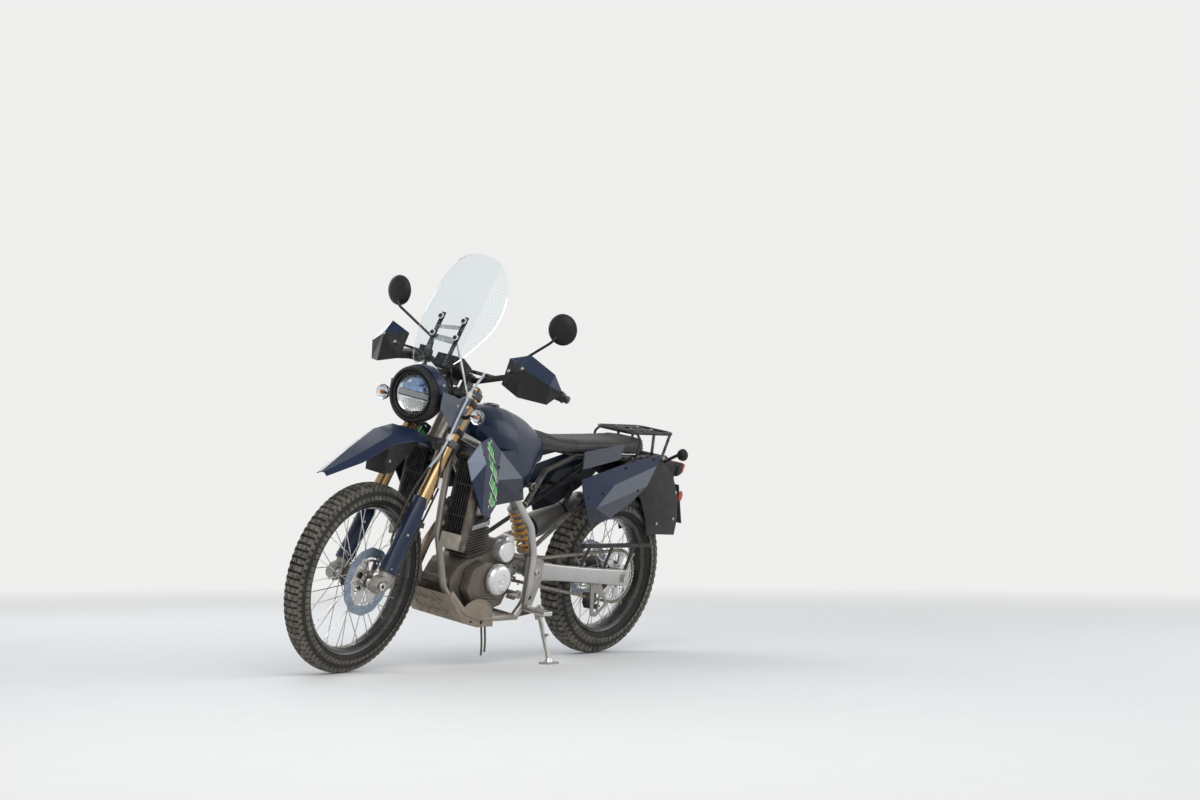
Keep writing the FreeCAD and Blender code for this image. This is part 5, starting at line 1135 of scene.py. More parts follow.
# %% Front fender
fender_table = {"tip": (-456, 488, 6, 22, 10), "nose": (-330, 388, 30, 58, 26),
    "crown": (-196, 286, 44, 72, 34), "top": (-132, 196, 50, 76, 40), "rear": (-112, 108, 46, 62, 30),
    "tail": (-126, 28, 34, 42, 20)}
corners = {}
for name, (up, ahead, crease, edge, drop) in fender_table.items():
    for s, tag in ((1, "l"), (-1, "r")):
        corners[name + "_c" + tag] = fork(up, ahead, s * crease)
        corners[name + "_e" + tag] = fork(up - drop, ahead, s * edge)
deck, skirts = [], []
names = list(fender_table)
for a, b in zip(names, names[1:]):
    deck.append([a + "_cl", b + "_cl", b + "_cr", a + "_cr"])
    for tag in ("l", "r"):
        skirts.append([a + "_e" + tag, b + "_e" + tag, b + "_c" + tag])
        skirts.append([a + "_e" + tag, b + "_c" + tag, a + "_c" + tag])
tongue = [fork(-226, 290), fork(-330, 226), fork(-306, 192), fork(-140, 128), fork(-156, 200)]
t = linspace(0, 1, 12)[:, None]
tongue_front = tongue[0] * (1 - t) + tongue[1] * t
across = linspace(-45, 45, 9)
bow = 10 * (1 - (across / 45) ** 2)
front_skin = tongue_front[:, None] + across[None, :, None] * side + bow[None, :, None] * (fore * 0.5
    - fork_up * 0.2)
back_skin = front_skin - fore * 3
pads = [rod(fork(low_clamp - clamp_half - 0.3, 48, y), fork(-129, 48, y), 8) for y in (-22, 22)]
fender_screws = []
for y in (-34, 34):
    fender_screws += screw(fork(-121, 76, y) + Z * 1.5, Z, 4.5, 4)
    for at in (fork(-192, 248, y * 1.36), fork(-282, 236, y * 1.36)):
        fender_screws += screw(at, side * np.sign(y), 4, 3)
piece("front_fender_skin", [(navy, [facets(corners, deck + skirts, (0, 0, -4))])], "steering",
    ["front_fender"], 20, 1.2)
piece("front_fender_tongue", [(black, both([slab(tongue, 42, 46, 1)]) + [walled(front_skin, back_skin)]
    + pads), (zinc, fender_screws)], "steering", [], 32)

# %% [markdown]
# The handlebar is one bent tube with a brace across it, on two risers. Grips have ribs round them,
# which are only steps in the turned section, and the levers are long flat tubes bent at their root.

# %% Handlebar
bar_up = top_clamp + 62
bends = [fork(bar_up, 20, 0), fork(bar_up, 20, 76), fork(bar_up + 48, 2, 170), fork(bar_up + 56, -30, 282),
    fork(bar_up + 50, -66, 402)]
mirror_side = array([1.0, -1, 1])
whole_bar = [p * mirror_side for p in bends[:0:-1]] + bends
brace = rod(fork(bar_up + 34, 12, -138), fork(bar_up + 34, 12, 138), 7)
risers, riser_screws = [], []
for y in (-42, 42):
    foot_point = fork(top_clamp + clamp_half + 0.3, 20, y)
    risers.append(box(foot_point, fork(bar_up - 2, 20, y), 34, 28, side))
    risers.append(box(fork(bar_up - 1, 20, y), fork(bar_up + 16, 20, y), 36, 30, side))
    for da, dy in ((-12, -9), (12, -9), (-12, 9), (12, 9)):
        riser_screws += bolt(fork(bar_up + 16, 20 + da, y + dy), fork_up, 4, 5)
ends = both([rod(bends[2] * 0.38 + bends[1] * 0.62, fork(bar_up + 34, 12, 132), 5)])
piece("handlebar_and_brace", [(black_metal, [tube(whole_bar, 11, 24, 50), brace] + ends),
    (clamp_grey, risers), (zinc, riser_screws)], "steering", ["handlebar"], 32)


def bar_run(y):
    """The bar at a sideways place: its middle and its direction there."""
    for a, b in zip(bends, bends[1:]):
        if y <= b[1]:
            break
    return a + (b - a) * (y - a[1]) / (b[1] - a[1]), unit(b - a)


def bar_at(y):
    """Middle of the bar at a sideways place."""
    return bar_run(y)[0]


def on_bar(profile, y, around):
    """A ring turned round the bar at a sideways place."""
    return turned(profile, *bar_run(y), around, True)


# %% Grips, switches and levers
perch_y, mirror_y = 222.0, 192.0
grip = [(11.3, 0), (18.8, 0), (18.8, 5)]
for start in range(8, 104, 6):
    grip += [(15.6, start), (15.6, start + 1.6), (16.6, start + 2.4), (16.6, start + 5.2)]
grip += [(18.8, 108), (18.8, 112), (11.3, 112)]
pod = [(11.6, 0), (19, 0), (22, 4), (23.6, 9), (23.6, 28), (20, 34), (11.6, 34)]
switches = []
for s, turn in ((1, 0.4), (1, 1.3), (-1, 0.7)):
    out = -fore * cos(turn) + fork_up * sin(turn)
    at = bar_at(250) + out * 22
    switches.append(box(at, at + out * 4, 12, 8, side) if s > 0 else mirrored(box(at, at + out * 4, 10, 10,
        side)))
lever_root = bar_at(perch_y) + fore * 44
lever_tip = bar_at(388) + fore * 58
lever_line = flowing([lever_root, lever_root * 0.8 + lever_tip * 0.2 + fore * 3,
    lever_root * 0.45 + lever_tip * 0.55 - fore * 1, lever_tip])
radius = interp(linspace(0, 1, len(lever_line)), [0, 0.12, 0.9, 0.95, 1.0], [6.5, 5.0, 4.4, 6.0, 5.0])
perch = [on_bar([(11.6, -7), (18, -7), (18, 7), (11.6, 7)], perch_y, 28),
    box(bar_at(perch_y) + fore * 15, lever_root + fore * 4, 15, 12, fork_up)]
root = bar_at(perch_y + 9) * mirror_side
reservoir = [box(root + fork_up * 14, root + fork_up * 36, 28, 38, side),
    box(root + fork_up * 36, root + fork_up * 41, 30, 40, side)]
controls_groups = [(grip_rubber, both([on_bar(grip, 290, 32)])),
    (black, both([on_bar(pod, 234, 24)]) + switches + reservoir), (black_metal, both(perch)),
    (cast, both([tube(None, radius, 12, path=lever_line)]))]
piece("grips_and_levers", controls_groups, "steering", ["controls"], 34)

# %% [markdown]
# The hand guards are faceted shields in front of the grips, navy above and black below, held by a curved
# strut.

# %% Hand guards
guard_corners = {"inner_top": fork(248, 112, 232), "inner_low": fork(150, 96, 236),
    "mid_top": fork(276, 122, 318), "mid": fork(214, 136, 320), "mid_low": fork(118, 96, 322),
    "outer_top": fork(250, 60, 404), "outer": fork(200, 66, 410), "outer_low": fork(142, 30, 404),
    "back": fork(214, -8, 420)}
upper_faces = [["inner_top", "mid_top", "mid"], ["mid_top", "outer_top", "outer"],
    ["mid_top", "outer", "mid"], ["outer_top", "back", "outer"]]
lower_faces = [["inner_top", "mid", "inner_low"], ["inner_low", "mid", "mid_low"],
    ["mid", "outer", "outer_low"], ["mid", "outer_low", "mid_low"], ["outer", "back", "outer_low"]]


def part_of(corners, faces):
    """The corners that a set of facets uses."""
    used = {name for face in faces for name in face}
    return {name: corners[name] for name in corners if name in used}


inward = fore * -4
upper_shell = facets(part_of(guard_corners, upper_faces), upper_faces, inward)
lower_shell = facets(part_of(guard_corners, lower_faces), lower_faces, inward)
piece("hand_guard_shields", [(navy, both([upper_shell])), (black, both([lower_shell]))], "steering",
    ["hand_guards"], 12, 1.0)
bar_end = bends[-1]
end_way = bar_run(402)[1]
end_weight = turned([(0, 0), (13, 0), (14, 3), (14, 13), (11, 16), (0, 16)], bar_end + end_way * 0.3,
    end_way, 24)
strut = box(bar_end + end_way * 9, guard_corners["back"] + fore * 6, 12, 8, fork_up)
inner_arm = tube([bar_at(200) + fore * 12, bar_at(210) + fore * 60, fork(196, 118, 262)], 5, 12, 25)
guard_screws = sum((screw(fork(up, ahead - 2, y), fore, 4.5, 3.5)
    for up, ahead, y in ((196, 128, 262), (214, 137, 318))), [])
piece("hand_guard_mounts", [(black_metal, both([end_weight, strut, inner_arm])),
    (zinc, both(guard_screws))], "steering", [], 32)

# %% [markdown]
# The mirrors are round, with a domed black back, a rubber rim and a flat glass towards the rider.

# %% Mirrors
mirror_top = fork(404, 96, 376)
mirror_root = bar_at(mirror_y)
stalk = tube([mirror_root + fork_up * 10, mirror_root + fork_up * 80 + (8, 12, 0), fork(352, 92, 352),
    mirror_top], 5, 14, 30)
boot = turned([(0, 0), (9, 0), (9, 8), (6, 20), (0, 20)], mirror_root + fork_up * 12, fork_up, 16)
mirror_collar = on_bar([(11.6, -7), (17, -7), (17, 7), (11.6, 7)], mirror_y, 28)
mirror_face = unit((1, 0.12, -0.06))
mirror_centre = mirror_top + (0, 0, 4)
dome = [(0, 18), (14, 17.6), (28, 16.2), (40, 13.2), (50, 8), (55.5, 3), (57, -2), (56, -7), (53.4, -9),
    (52, -8.2), (52, -7), (0, -7)]
mirror_glass_form = turned([(0, -7.2), (51.8, -7.2), (51.8, -6.4), (0, -6.4)], mirror_centre, mirror_face,
    48)
piece("round_mirrors", [(black, both([turned(dome, mirror_centre, mirror_face, 48), boot])),
    (black_metal, both([stalk, mirror_collar])), (mirror_glass, both([mirror_glass_form]))], "steering",
    ["mirrors"], 34)

# %% [markdown]
# The headlight is the face of the machine: stepped black rings, a clear front glass, and behind it a mirror
# bowl with a bright bar across its middle and a dark line under the bar. The mirror's upper steps are tinted
# blue, a painted reflection of the sky.

# %% Headlight
lamp_mid = fork(5, 186)
lamp_way = unit((1, 0, -0.04))
lamp_rise = np.cross(lamp_way, side)
lamp = placing(lamp_mid, lamp_way, side, lamp_rise)
shell_profile = [(0, -62), (30, -62), (48, -60), (72, -42), (92, -20), (98, -4), (102.6, 18), (102.6, 50),
    (100, 56), (94, 59.6), (90, 59.6), (87, 55), (87, 51), (83, 51), (82, 56.5), (79, 58.5), (76, 56),
    (74.5, 48), (73.5, 38), (73.5, 34), (0, 30)]
lens_profile = [(73, 46), (60, 51), (40, 54.4), (20, 56.2), (0, 56.8), (0, 54.3), (20, 53.7), (40, 51.9),
    (60, 48.5), (73, 43.5)]
bowl = turned([(0, 32), (24, 32.8), (44, 35), (60, 38.5), (72.5, 43), (72.5, 41), (60, 36.6), (44, 33.1),
    (0, 30.4)], lamp_mid, lamp_way, 64)


def lamp_box(y, rise, front, width, height, depth):
    """A small block inside the lamp, placed sideways, upwards and forwards from the lamp's middle."""
    start = lamp(front - depth, y, rise)
    return box(start, start + lamp_way * depth, width, height, lamp_rise)


bar_line_dark = [lamp_box(0, -8, 46.5, 128, 4.5, 10), lamp_box(0, 10.5, 45, 126, 2, 10)]
# Upper steps of the mirror bowl, in the blue-tinted mirror finish: painted sky reflection.
reflector_steps = [lamp_box(y, rise, 42, 33, 17, 6) for y in (-35, 0, 35)
    for rise in (24, 43) if abs(y) < 20 or rise < 40]
lower_ribs = [lamp_box(y, -34, 40, 2, 44 - abs(y) * 0.4, 5) for y in range(-40, 41, 10)]

piece("headlight_body", [(black, [turned(shell_profile, lamp_mid, lamp_way, 72)]
    + both([rod(lamp(6, 92), lamp(6, 116), 14)])), (mirror_chrome, [bowl]),
    (lamp_white, [lamp_box(0, 3, 46, 132, 17, 10)]), (lamp_mirror_painted_sky, reflector_steps), (gloss, bar_line_dark),
    (bright, lower_ribs)], "steering", ["headlight"], 30)
piece("headlight_glass", [(lens_glass, [turned(lens_profile, lamp_mid, lamp_way, 64)])], "steering", [],
    40)

# %% [markdown]
# Behind the lamp a navy cowl closes its upper half, and two grey side plates carry it from the fork legs.

# %% Cowl, side plates and meter
plate_outline = [fork(80, 6), fork(82, 86), fork(44, 128), lamp_mid + (30, 0, 34), lamp_mid + (30, 0, -30),
    fork(-60, 90), fork(-64, 14)]
plate_holes = [circle(9, fork(48, 60)[[0, 2]], 20), circle(6, fork(14, 50)[[0, 2]], 16),
    circle(5, fork(52, 92)[[0, 2]], 16), circle(7, fork(-34, 56)[[0, 2]], 16)]
leg_clip = [(25.8, -10), (31, -10), (31.5, -8), (31.5, 8), (31, 10), (25.8, 10)]
clips = [turned(leg_clip, leg(66), fork_up, 36, True), turned(leg_clip, leg(-50), fork_up, 36, True)]
plate_screws = sum((screw(fork(up, ahead, 120.8), side, 4.2, 3.5)
    for up, ahead in ((66, 22), (-50, 22), (66, 96), (20, 118), (-40, 84))), [])
t = radians(linspace(8, 172, 33))
cowl_rows = []
for back_off, r in ((30, 104.0), (8, 106.5), (-22, 104), (-56, 88), (-84, 62)):
    centre = lamp(back_off)
    cowl_rows.append(centre + (r * cos(t))[:, None] * side + (r * sin(t) * 1.02)[:, None] * lamp_rise)
cowl_outer = array(cowl_rows)
cowl_inner = cowl_outer - (cowl_outer - lamp(-20)) * 0.03
cowl_screws = []
for angle in (0.5, 2.64):
    out = side * cos(angle) + lamp_rise * sin(angle)
    cowl_screws += screw(lamp(-4) + out * 106, out, 4, 3)
meter_low, meter_high = fork(top_clamp + 48, 96), fork(top_clamp + 94, 92)
meter_up = unit(meter_high - meter_low)
display = box(meter_high - meter_up * 2, meter_high + meter_up * 0.8, 84, 46, fore)
meter_stem = [box(fork(top_clamp + clamp_half + 0.3, 56), fork(top_clamp + 60, 56), 60, 6, fore),
    box(fork(top_clamp + 56, 53), fork(top_clamp + 56, 64), 60, 8, fork_up)]
mask_groups = [(grey_panel, both([slab(plate_outline, 116.3, 120.8, 1, plate_holes)])),
    (black_metal, both(clips) + [rod(fork(66, 96, -117), fork(66, 96, 117), 5)] + meter_stem),
    (zinc, both(plate_screws)), (black, [box(meter_low, meter_high, 116, 72, fore)]),
    (meter_face, [display])]
piece("lamp_side_plates_and_meter", mask_groups, "steering", ["mask"], 30)
piece("lamp_cowl", [(navy, [walled(cowl_outer, cowl_inner)]), (zinc, cowl_screws)], "steering", [],
    40)

# %% [markdown]
# The windscreen is a slice of a wide tube. Seen from the front its outline widens to two thirds of its
# height and closes to a rounded top, so the surface is that outline's width at each height, bent back by
# the tube's radius.

# %% Windscreen
screen_foot, screen_head = fork(106, 226), fork(560, 214)
screen_up = unit(screen_head - screen_foot)
screen_ahead = array([screen_up[2], 0, -screen_up[0]])
screen = placing(screen_foot, screen_up, screen_ahead, side)
screen_r, screen_t = 330.0, 4.0
kernel = array([1, 3, 4, 3, 1]) / 12
high = concatenate([linspace(0, 440, 30), 440 + 28 * sin(linspace(0.1, 1, 8) * pi / 2)])
half = interp(high, [0, 14, 50, 120, 200, 280, 330, 370, 408, 440, 458, 466, 468],
    [66, 80, 104, 134, 160, 164, 155, 143, 126, 100, 74, 42, 12])
half[2:-2] = convolve(half, kernel, "valid")


def screen_skin(radius):
    """Points at each height, spread over the width; the radius bends them back."""
    t = linspace(-1, 1, 29)
    y = half[:, None] * t[None]
    back_by = screen_r - sqrt(radius ** 2 - y ** 2)
    return screen(high[:, None, None], -back_by[..., None], y[..., None])


skins = concatenate([screen_skin(screen_r), screen_skin(screen_r - screen_t)[:, ::-1]], 1)
piece("clear_windscreen", [(screen_glass, [loft(skins)])], "steering", ["windscreen"], 40)

# %% Screen bracket and its fixings
brackets, silver, fixings, washers = [], [], [], []
for y in (-52.0, 52.0):
    foot_end = screen(20, -22, y)
    top_end = screen(218, -14, y)
    brackets.append(box(foot_end, top_end, 16, 5, screen_ahead))
    for height in (128, 198):
        at = screen(height, 0, y)
        sag = screen_r - sqrt(screen_r ** 2 - y ** 2)
        back_sag = screen_r - sqrt((screen_r - screen_t) ** 2 - (abs(y) + 7) ** 2)
        brackets.append(rod(at - screen_ahead * 20, at - screen_ahead * (back_sag + 0.3), 7))
        washers.append(turned([(0, 0.2), (12, 0.2), (12, 1.6), (0, 1.6)], at - screen_ahead * sag,
            screen_ahead, 24))
        fixings += bolt(at - screen_ahead * (sag - 1.6), screen_ahead, 7.5, 5)
cross = screen(120, -20)
silver.append(box(cross - side * 60, cross + side * 60, 5, 22, screen_up))
slant = screen(168, -19)
silver.append(box(slant - side * 46 - screen_up * 6, slant + side * 46 + screen_up * 8, 4, 14, screen_up))
for s in (-1, 1):
    start = screen(120, -20, 56 * s)
    silver.append(rod(start, fork(70, 80, 118.6 * s), 4.6))
    brackets.append(rod(start - screen_up * 60, fork(66, 96, 60 * s), 4.5))
piece("screen_bracket", [(black_metal, brackets), (bright, silver), (white_plastic, washers),
    (gloss, fixings)], "steering", [], 32)

# %% [markdown]
# Front indicators: a black stalk, a clear round lens with a bright bowl behind it, and an amber bulb
# inside.

# %% Front indicators
stalks, bowls, bulbs, lenses = [], [], [], []
for s in (-1, 1):
    root_point = fork(4, 60, s * 121.3)
    knee = fork(4, 60, s * 134)
    tip = fork(2, 110, s * 190)
    pod_at = tip + side * s * 26
    pod_way = unit((1, s * 0.1, 0))
    stalks.append(tube([root_point, knee, tip, pod_at - side * s * 6], 7.4, 14, 10))
    stalks.append(turned([(0, -20), (10, -20), (18, -17), (24, -8), (27.5, 0), (27.5, 3), (0, 3)], pod_at,
        pod_way, 32))
    bowls.append(turned([(0, 3.2), (25, 3.2), (26.4, 8), (25.2, 8), (22, 5), (0, 4.4)], pod_at, pod_way,
        32))
    bulbs.append(turned([(0, 3), (6, 4), (7, 9), (5.5, 13), (3, 15.2), (0, 16)], pod_at, pod_way, 16))
    lenses.append(turned([(28.6, 3), (28.8, 9), (26, 14), (19, 18.5), (10, 21), (0, 21.8), (0, 20.2),
        (10, 19.4), (18, 17), (24.4, 13), (27, 8.4), (27, 3)], pod_at, pod_way, 32))
piece("front_indicator_bodies", [(black, stalks), (mirror_chrome, bowls), (amber, bulbs)], "steering",
    ["front_indicators"], 34)
piece("front_indicator_lenses", [(lens_glass, lenses)], "steering", [], 40)

# %% [markdown]
# The brake caliper grips the disc behind the left leg. Its hose runs up outside the leg and ends at the
# lower clamp.

# %% Front caliper and hose
caliper_centre = front_hub + caliper_out * 111
caliper = placing(caliper_centre, caliper_out, caliper_along, Y)
caliper_box = [(-28, -46), (-6, -50), (24, -44), (32, -30), (34, 30), (26, 42), (-6, 46), (-30, 44)]
caliper_outline = array([caliper(a, b) for a, b in caliper_box])
bridge = slab([caliper(a, b) for a, b in ((22, -40), (32, -28), (33, 30), (22, 40))], 50, 62, 1)
pistons = [turned([(0, 0), (17, 0), (17, 3), (14, 5), (0, 5)], caliper(2, b, 64), Y, 28) for b in (-20, 20)]
caliper_screws = sum((bolt(caliper(a, b, 66), Y, 4, 4) for a, b in ((24, -34), (26, 0), (22, 34),
    (-18, -38), (-20, 36))), [])
hose_start = (front_hub + caliper_out * 137) * (1, 0, 1) + Y * 60
hose_points = [hose_start - caliper_out * 8, hose_start + caliper_out * 34,
    fork(axle_up + 170, leg_ahead - 48, 104), fork(axle_up + 330, leg_ahead - 42, 112),
    fork(-250, leg_ahead - 5, 138), fork(-190, leg_ahead + 27, 122),
    fork(low_clamp - clamp_half - 12, leg_ahead + 31, 108), fork(low_clamp - clamp_half - 0.5,
    leg_ahead + 31, 108)]
hose = tube(hose_points, 4, 12, 60)
knuckles = [rod(fork(-250 + 18, leg_ahead + 2, 134), fork(-250 - 18, leg_ahead - 8, 138), 7, 16)]
line_points = [fork(196, 34, 104), fork(150, 62, 116), fork(110, 88, 127), fork(82, 92, 127),
    fork(0, 94, 127), fork(-91, 88, 125), fork(-170, 80, 112), fork(-222, 80, 96)]
hose_points = [fork(-214, 80, 98), fork(-240, 79, 90), fork(-310, 66, 68), fork(-400, 54, 59),
    fork(-490, 46, 59), fork(-525, 26, 61), fork(-545, 0, 66)]
collar_profile = [(0, -13), (7, -13), (9.5, -10), (9.5, 6), (7, 11), (0, 11)]
for place_up, ahead in ((82, 92), (-91, 88)):
    knuckles.append(turned(collar_profile, fork(place_up, ahead, 127 if place_up > 0 else 125), fork_up,
        24))
line_clips = [tube(None, 4.2, 12, path=flowing(hose_points, 8))] + [turned([(0, -5), (6.6, -5), (6.6, 5),
    (0, 5)], fork(up, ahead, y), fork_up, 20) for up, ahead, y in ((-222, 80, 96), (-400, 54, 59),
    (-470, 48, 59))]
piece("front_caliper_and_hose", [(cast, [slab(caliper_outline, 59.4, 66, 1.5),
    slab(caliper_outline, 40.2, 52.6, 2), bridge] + pistons), (zinc, caliper_screws),
    (rubber, [hose] + line_clips), (white_plastic, knuckles),
    (tube_grey, [tube(None, 4.6, 14, path=flowing(line_points, 8))])], "steering", ["front_caliper"],
    32)

# %% [markdown]
# The tank is one moulded form. At each place along its length its section is the same closed curve, a
# rounded box that is widest below and narrow on top, so the skin is a grid of such sections with the knees
# pulled in.

# %% Tank
tank_rows = {"x": [552, 580, 640, 700, 770, 836, 890, 930, 954],
    "low": [775, 775, 668, 668, 700, 745, 785, 830, 868], "high": [898, 906, 940, 961, 980, 990, 985, 974,
    962], "half": [66, 76, 96, 110, 122, 120, 108, 84, 62], "crown": [50, 56, 62, 62, 60, 56, 52, 46, 40]}
places = linspace(tank_rows["x"][0], tank_rows["x"][-1], 46)
column = {key: interp(places, tank_rows["x"], values) for key, values in tank_rows.items()}
for key in ("high", "half", "crown"):
    column[key][2:-2] = convolve(column[key], kernel, "valid")
turn = full_turn(56)
sine, cosine = sin(turn), cos(turn)
rise_share = (np.sign(sine) * np.abs(sine) ** 0.62 + 1) / 2
width_share = np.sign(cosine) * np.abs(cosine) ** 0.55
taper = interp(rise_share, [0, 0.55, 0.8, 1.0], [0.96, 1.0, 0.86, 0.55])
y = column["half"][:, None] * width_share[None] * taper[None]
z = column["low"][:, None] + (column["high"] - column["low"])[:, None] * rise_share[None]
tank_form = loft(stack([broadcast_to(places[:, None], y.shape), y, z], -1))
cap_centre = head(-250, 44)
cap_way = unit((0.05, 0, 1))
cap_forms = [turned([(0, 0), (35, 0), (35, 6), (33.5, 7), (33.5, 14), (31, 17.5), (26, 18.6), (0, 18.6)],
    cap_centre, cap_way, 40), box(cap_centre + cap_way * 18 - X * 12, cap_centre + cap_way * 18 + X * 14,
    12, 5, Z)]
cap_screws = [f for a in radians(60 * arange(6) + 30) for f in bolt(cap_centre + cap_way * 7
    + array([cos(a), sin(a), 0]) * 31, cap_way, 2.6, 1.6)]
collar_ring = turned([(33, -3), (42, -3), (42, 2), (39, 5), (33, 5)], cap_centre, cap_way, 40, True)
piece("fuel_tank", [(navy, [tank_form]), (gloss, cap_forms[:1]),
    (black_metal, [collar_ring] + cap_forms[1:]), (zinc, cap_screws)], "chassis", ["tank"],
    50)

# %% [markdown]
# The seat is a long bench with padding under a tight cover. Its core is a loft through sections along its
# length. Cloth pressure makes the cover swell between its edges. The seam along each side is a thin welt
# that follows the pad's own surface.

# %% Seat pad
seat_base = 815 + 11 + 0.3
seat_stations = array([(588, seat_base + 12, 908, 60, 44), (560, seat_base + 8, 902, 72, 54),
    (470, seat_base + 3, 881, 87, 70), (380, seat_base + 3, 876, 94, 80), (300, seat_base + 3, 877, 98, 86),
    (160, seat_base + 3, 881, 97, 86), (60, seat_base + 3, 886, 94, 82), (-10, seat_base + 3, 889, 88, 74),
    (-58, seat_base + 4, 889, 78, 64), (-70, seat_base + 8, 884, 70, 56)])
along_seat = linspace(588, -70, 70)
columns = [interp(along_seat[::-1], seat_stations[::-1, 0], seat_stations[::-1, k])[::-1]
    for k in range(1, 5)]
low, high, below, above = columns
section_turn = array([(-1, 0, 0), (-0.5, 0, 0), (0, 0, 0), (0.5, 0, 0), (1, 0, 0), (1.0, 0.35, 0),
    (1.0, 0.62, 0.15), (1, 0.84, 0.6), (1, 0.95, 0.9), (0.75, 1.0, 1), (0.4, 1.0, 1), (0, 1.0, 1),
    (-0.4, 1.0, 1), (-0.75, 1.0, 1), (-1, 0.95, 0.9), (-1, 0.84, 0.6), (-1, 0.62, 0.15), (-1, 0.35, 0)])
share_y, share_z, share_top = section_turn.T
width = below[:, None] * (1 - share_top) + above[:, None] * share_top
pad_points = stack([broadcast_to(along_seat[:, None], width.shape), width * share_y,
    low[:, None] + (high - low)[:, None] * share_z], -1)
pad_points[:, :, 2] -= 3.0 * (share_z > 0.9)
seat_cover = finish("seat cover", (0.02, 0.02, 0.022), 0.48, grain=380, bump=0.35, dust=0.35, vary=0.2)
seat_pad = piece("seat_pad", [(seat_cover, [loft(pad_points)])], "chassis", ["seat"], 60)


def swell(pad, reach):
    """Voxel remesh, cloth pressure for twenty frames, then a limit on how far each point may have moved."""
    scene = bpy.context.scene
    remesh = pad.modifiers.new("remesh", "REMESH")
    remesh.mode = "VOXEL"
    remesh.voxel_size = 0.006
    depsgraph = bpy.context.evaluated_depsgraph_get()
    cover = bpy.data.meshes.new_from_object(pad.evaluated_get(depsgraph))
    pad.modifiers.clear()
    work = placed("cover_work", cover)
    cloth = work.modifiers.new("cloth", "CLOTH")
    cloth.settings.effector_weights.gravity = 0
    cloth.settings.use_pressure = True
    cloth.settings.uniform_pressure_force = 4.0
    cloth.point_cache.frame_start = 1
    cloth.point_cache.frame_end = 20
    for number in range(1, 21):
        scene.frame_set(number)
    depsgraph = bpy.context.evaluated_depsgraph_get()
    swollen = work.evaluated_get(depsgraph).to_mesh()
    before = corner_places(cover)
    move = corner_places(swollen) - before
    size = np.linalg.norm(move, axis=1, keepdims=True)
    move *= np.minimum(1, reach / np.maximum(size, 1e-09))
    cover.vertices.foreach_set("co", (before + move).ravel())
    bpy.data.objects.remove(work)
    scene.frame_set(1)
    cover.materials.clear()
    cover.materials.append(seat_cover)
    cover.polygons.foreach_set("use_smooth", ones(len(cover.polygons), bool))
    pad.data = cover
    smooth = pad.modifiers.new("smooth", "SUBSURF")
    smooth.levels = 1
    smooth.render_levels = 1
    print("seat swollen, largest move", round(float(size.max()) * 1000, 1), "mm")


swell(seat_pad, 0.004)

# %% Seat seams
seams = []
for spot, radius in (("welt", 1.6), ("under", 1.2)):
    for way in (-1, 1):
        index = {("welt", 1): 7, ("welt", -1): 15, ("under", 1): 5, ("under", -1): 17}[spot, way]
        line = pad_points[2:-2, index] + (0, way * 3.6, 1.0)
        seams.append(tube(None, radius, 8, path=line))
for x in (388.0, -6.0):
    row = int(np.argmin(np.abs(along_seat - x)))
    cross = pad_points[row, 5:18] + (0, 0, 3.4)
    cross[:3, 1] += 3.6
    cross[-3:, 1] -= 3.6
    seams.append(tube(None, 1.3, 8, path=flowing(cross, 4)))
base_edge = [slab([(590, seat_base + 1), (-70, seat_base + 1), (-70, seat_base + 9), (590, seat_base + 15)],
    way * 60 - 4, way * 60 + 4, 1) for way in (-1, 1)]
piece("seat_seams", [(seat_cover, seams), (black, base_edge)], "chassis", [], 60)

# %% [markdown]
# The shrouds and side panels are thin mouldings with sharp creases. Each is a shell of flat facets between
# named corners, sorted by colour, and a small bevel rounds the creases. The coloured band on the shroud is
# drawn by its material: distance along and across the band decides the colour, so nothing is glued on.

# %% Band material for the shrouds
band_high, band_low = array([1000.0, 872.0]), array([948.0, 640.0])
band_length = float(np.linalg.norm(band_low - band_high))
band_along = (band_low - band_high) / band_length


def machine_plane(tree, direction, origin):
    """Distance in millimetres along a direction of the upright side view, from Object coordinates."""
    line = leaning @ (direction[0], 0, direction[1])
    start = float(upright(array([origin[0], 0, origin[1]])) @ line)
    dot = add(tree, "VectorMath", {0: on_piece(tree), 1: tuple(line)}, operation="DOT_PRODUCT")
    return maths(tree, "MULTIPLY_ADD", dot.outputs["Value"], 1000, -start * 1000)


def between(tree, value, low, high):
    """One where the value lies between two limits, else zero."""
    return times(tree, maths(tree, "GREATER_THAN", value, low), maths(tree, "LESS_THAN", value, high))


shroud_banded = finish("shroud with band", navy_colour, 0.28, coat=0.12, dust=0.06, vary=0.1, bump=0.03,
    worn=(0.05, 0.08, 0.15), wear=0.12, shine=0.3)
tree = shroud_banded.node_tree
grain_node = next((n for n in tree.nodes if n.type == "GROUP" and n.node_tree == grain_group))
v = machine_plane(tree, band_along, band_high)
u = machine_plane(tree, array([-band_along[1], band_along[0]]), band_high)
inside = times(tree, between(tree, v, -6, band_length + 6), between(tree, u, -86, 30))
first = maths(tree, "FLOORED_MODULO", plus(tree, v, times(tree, u, 1.35)), 66)
second = maths(tree, "FLOORED_MODULO", maths(tree, "SUBTRACT", v, times(tree, u, 2.1)), 92)
green = times(tree, between(tree, first, 0, 34), between(tree, u, -78, 16))
pale = maths(tree, "MAXIMUM", times(tree, between(tree, first, 37, 45), between(tree, u, -84, 22)),
    times(tree, between(tree, second, 0, 10), between(tree, u, -70, 24)))
dark = maths(tree, "MAXIMUM", between(tree, second, 13, 24), between(tree, first, 50, 57))
dark = times(tree, dark, inside)
colour = blend(tree, times(tree, green, inside), (*navy_colour, 1), (0.05, 0.5, 0.06, 1))
colour = blend(tree, times(tree, pale, inside), colour, (0.72, 0.76, 0.7, 1))
colour = blend(tree, dark, colour, (0.008, 0.008, 0.009, 1))
tree.links.new(colour, grain_node.inputs["Colour"])
print("band length", round(band_length), "mm")

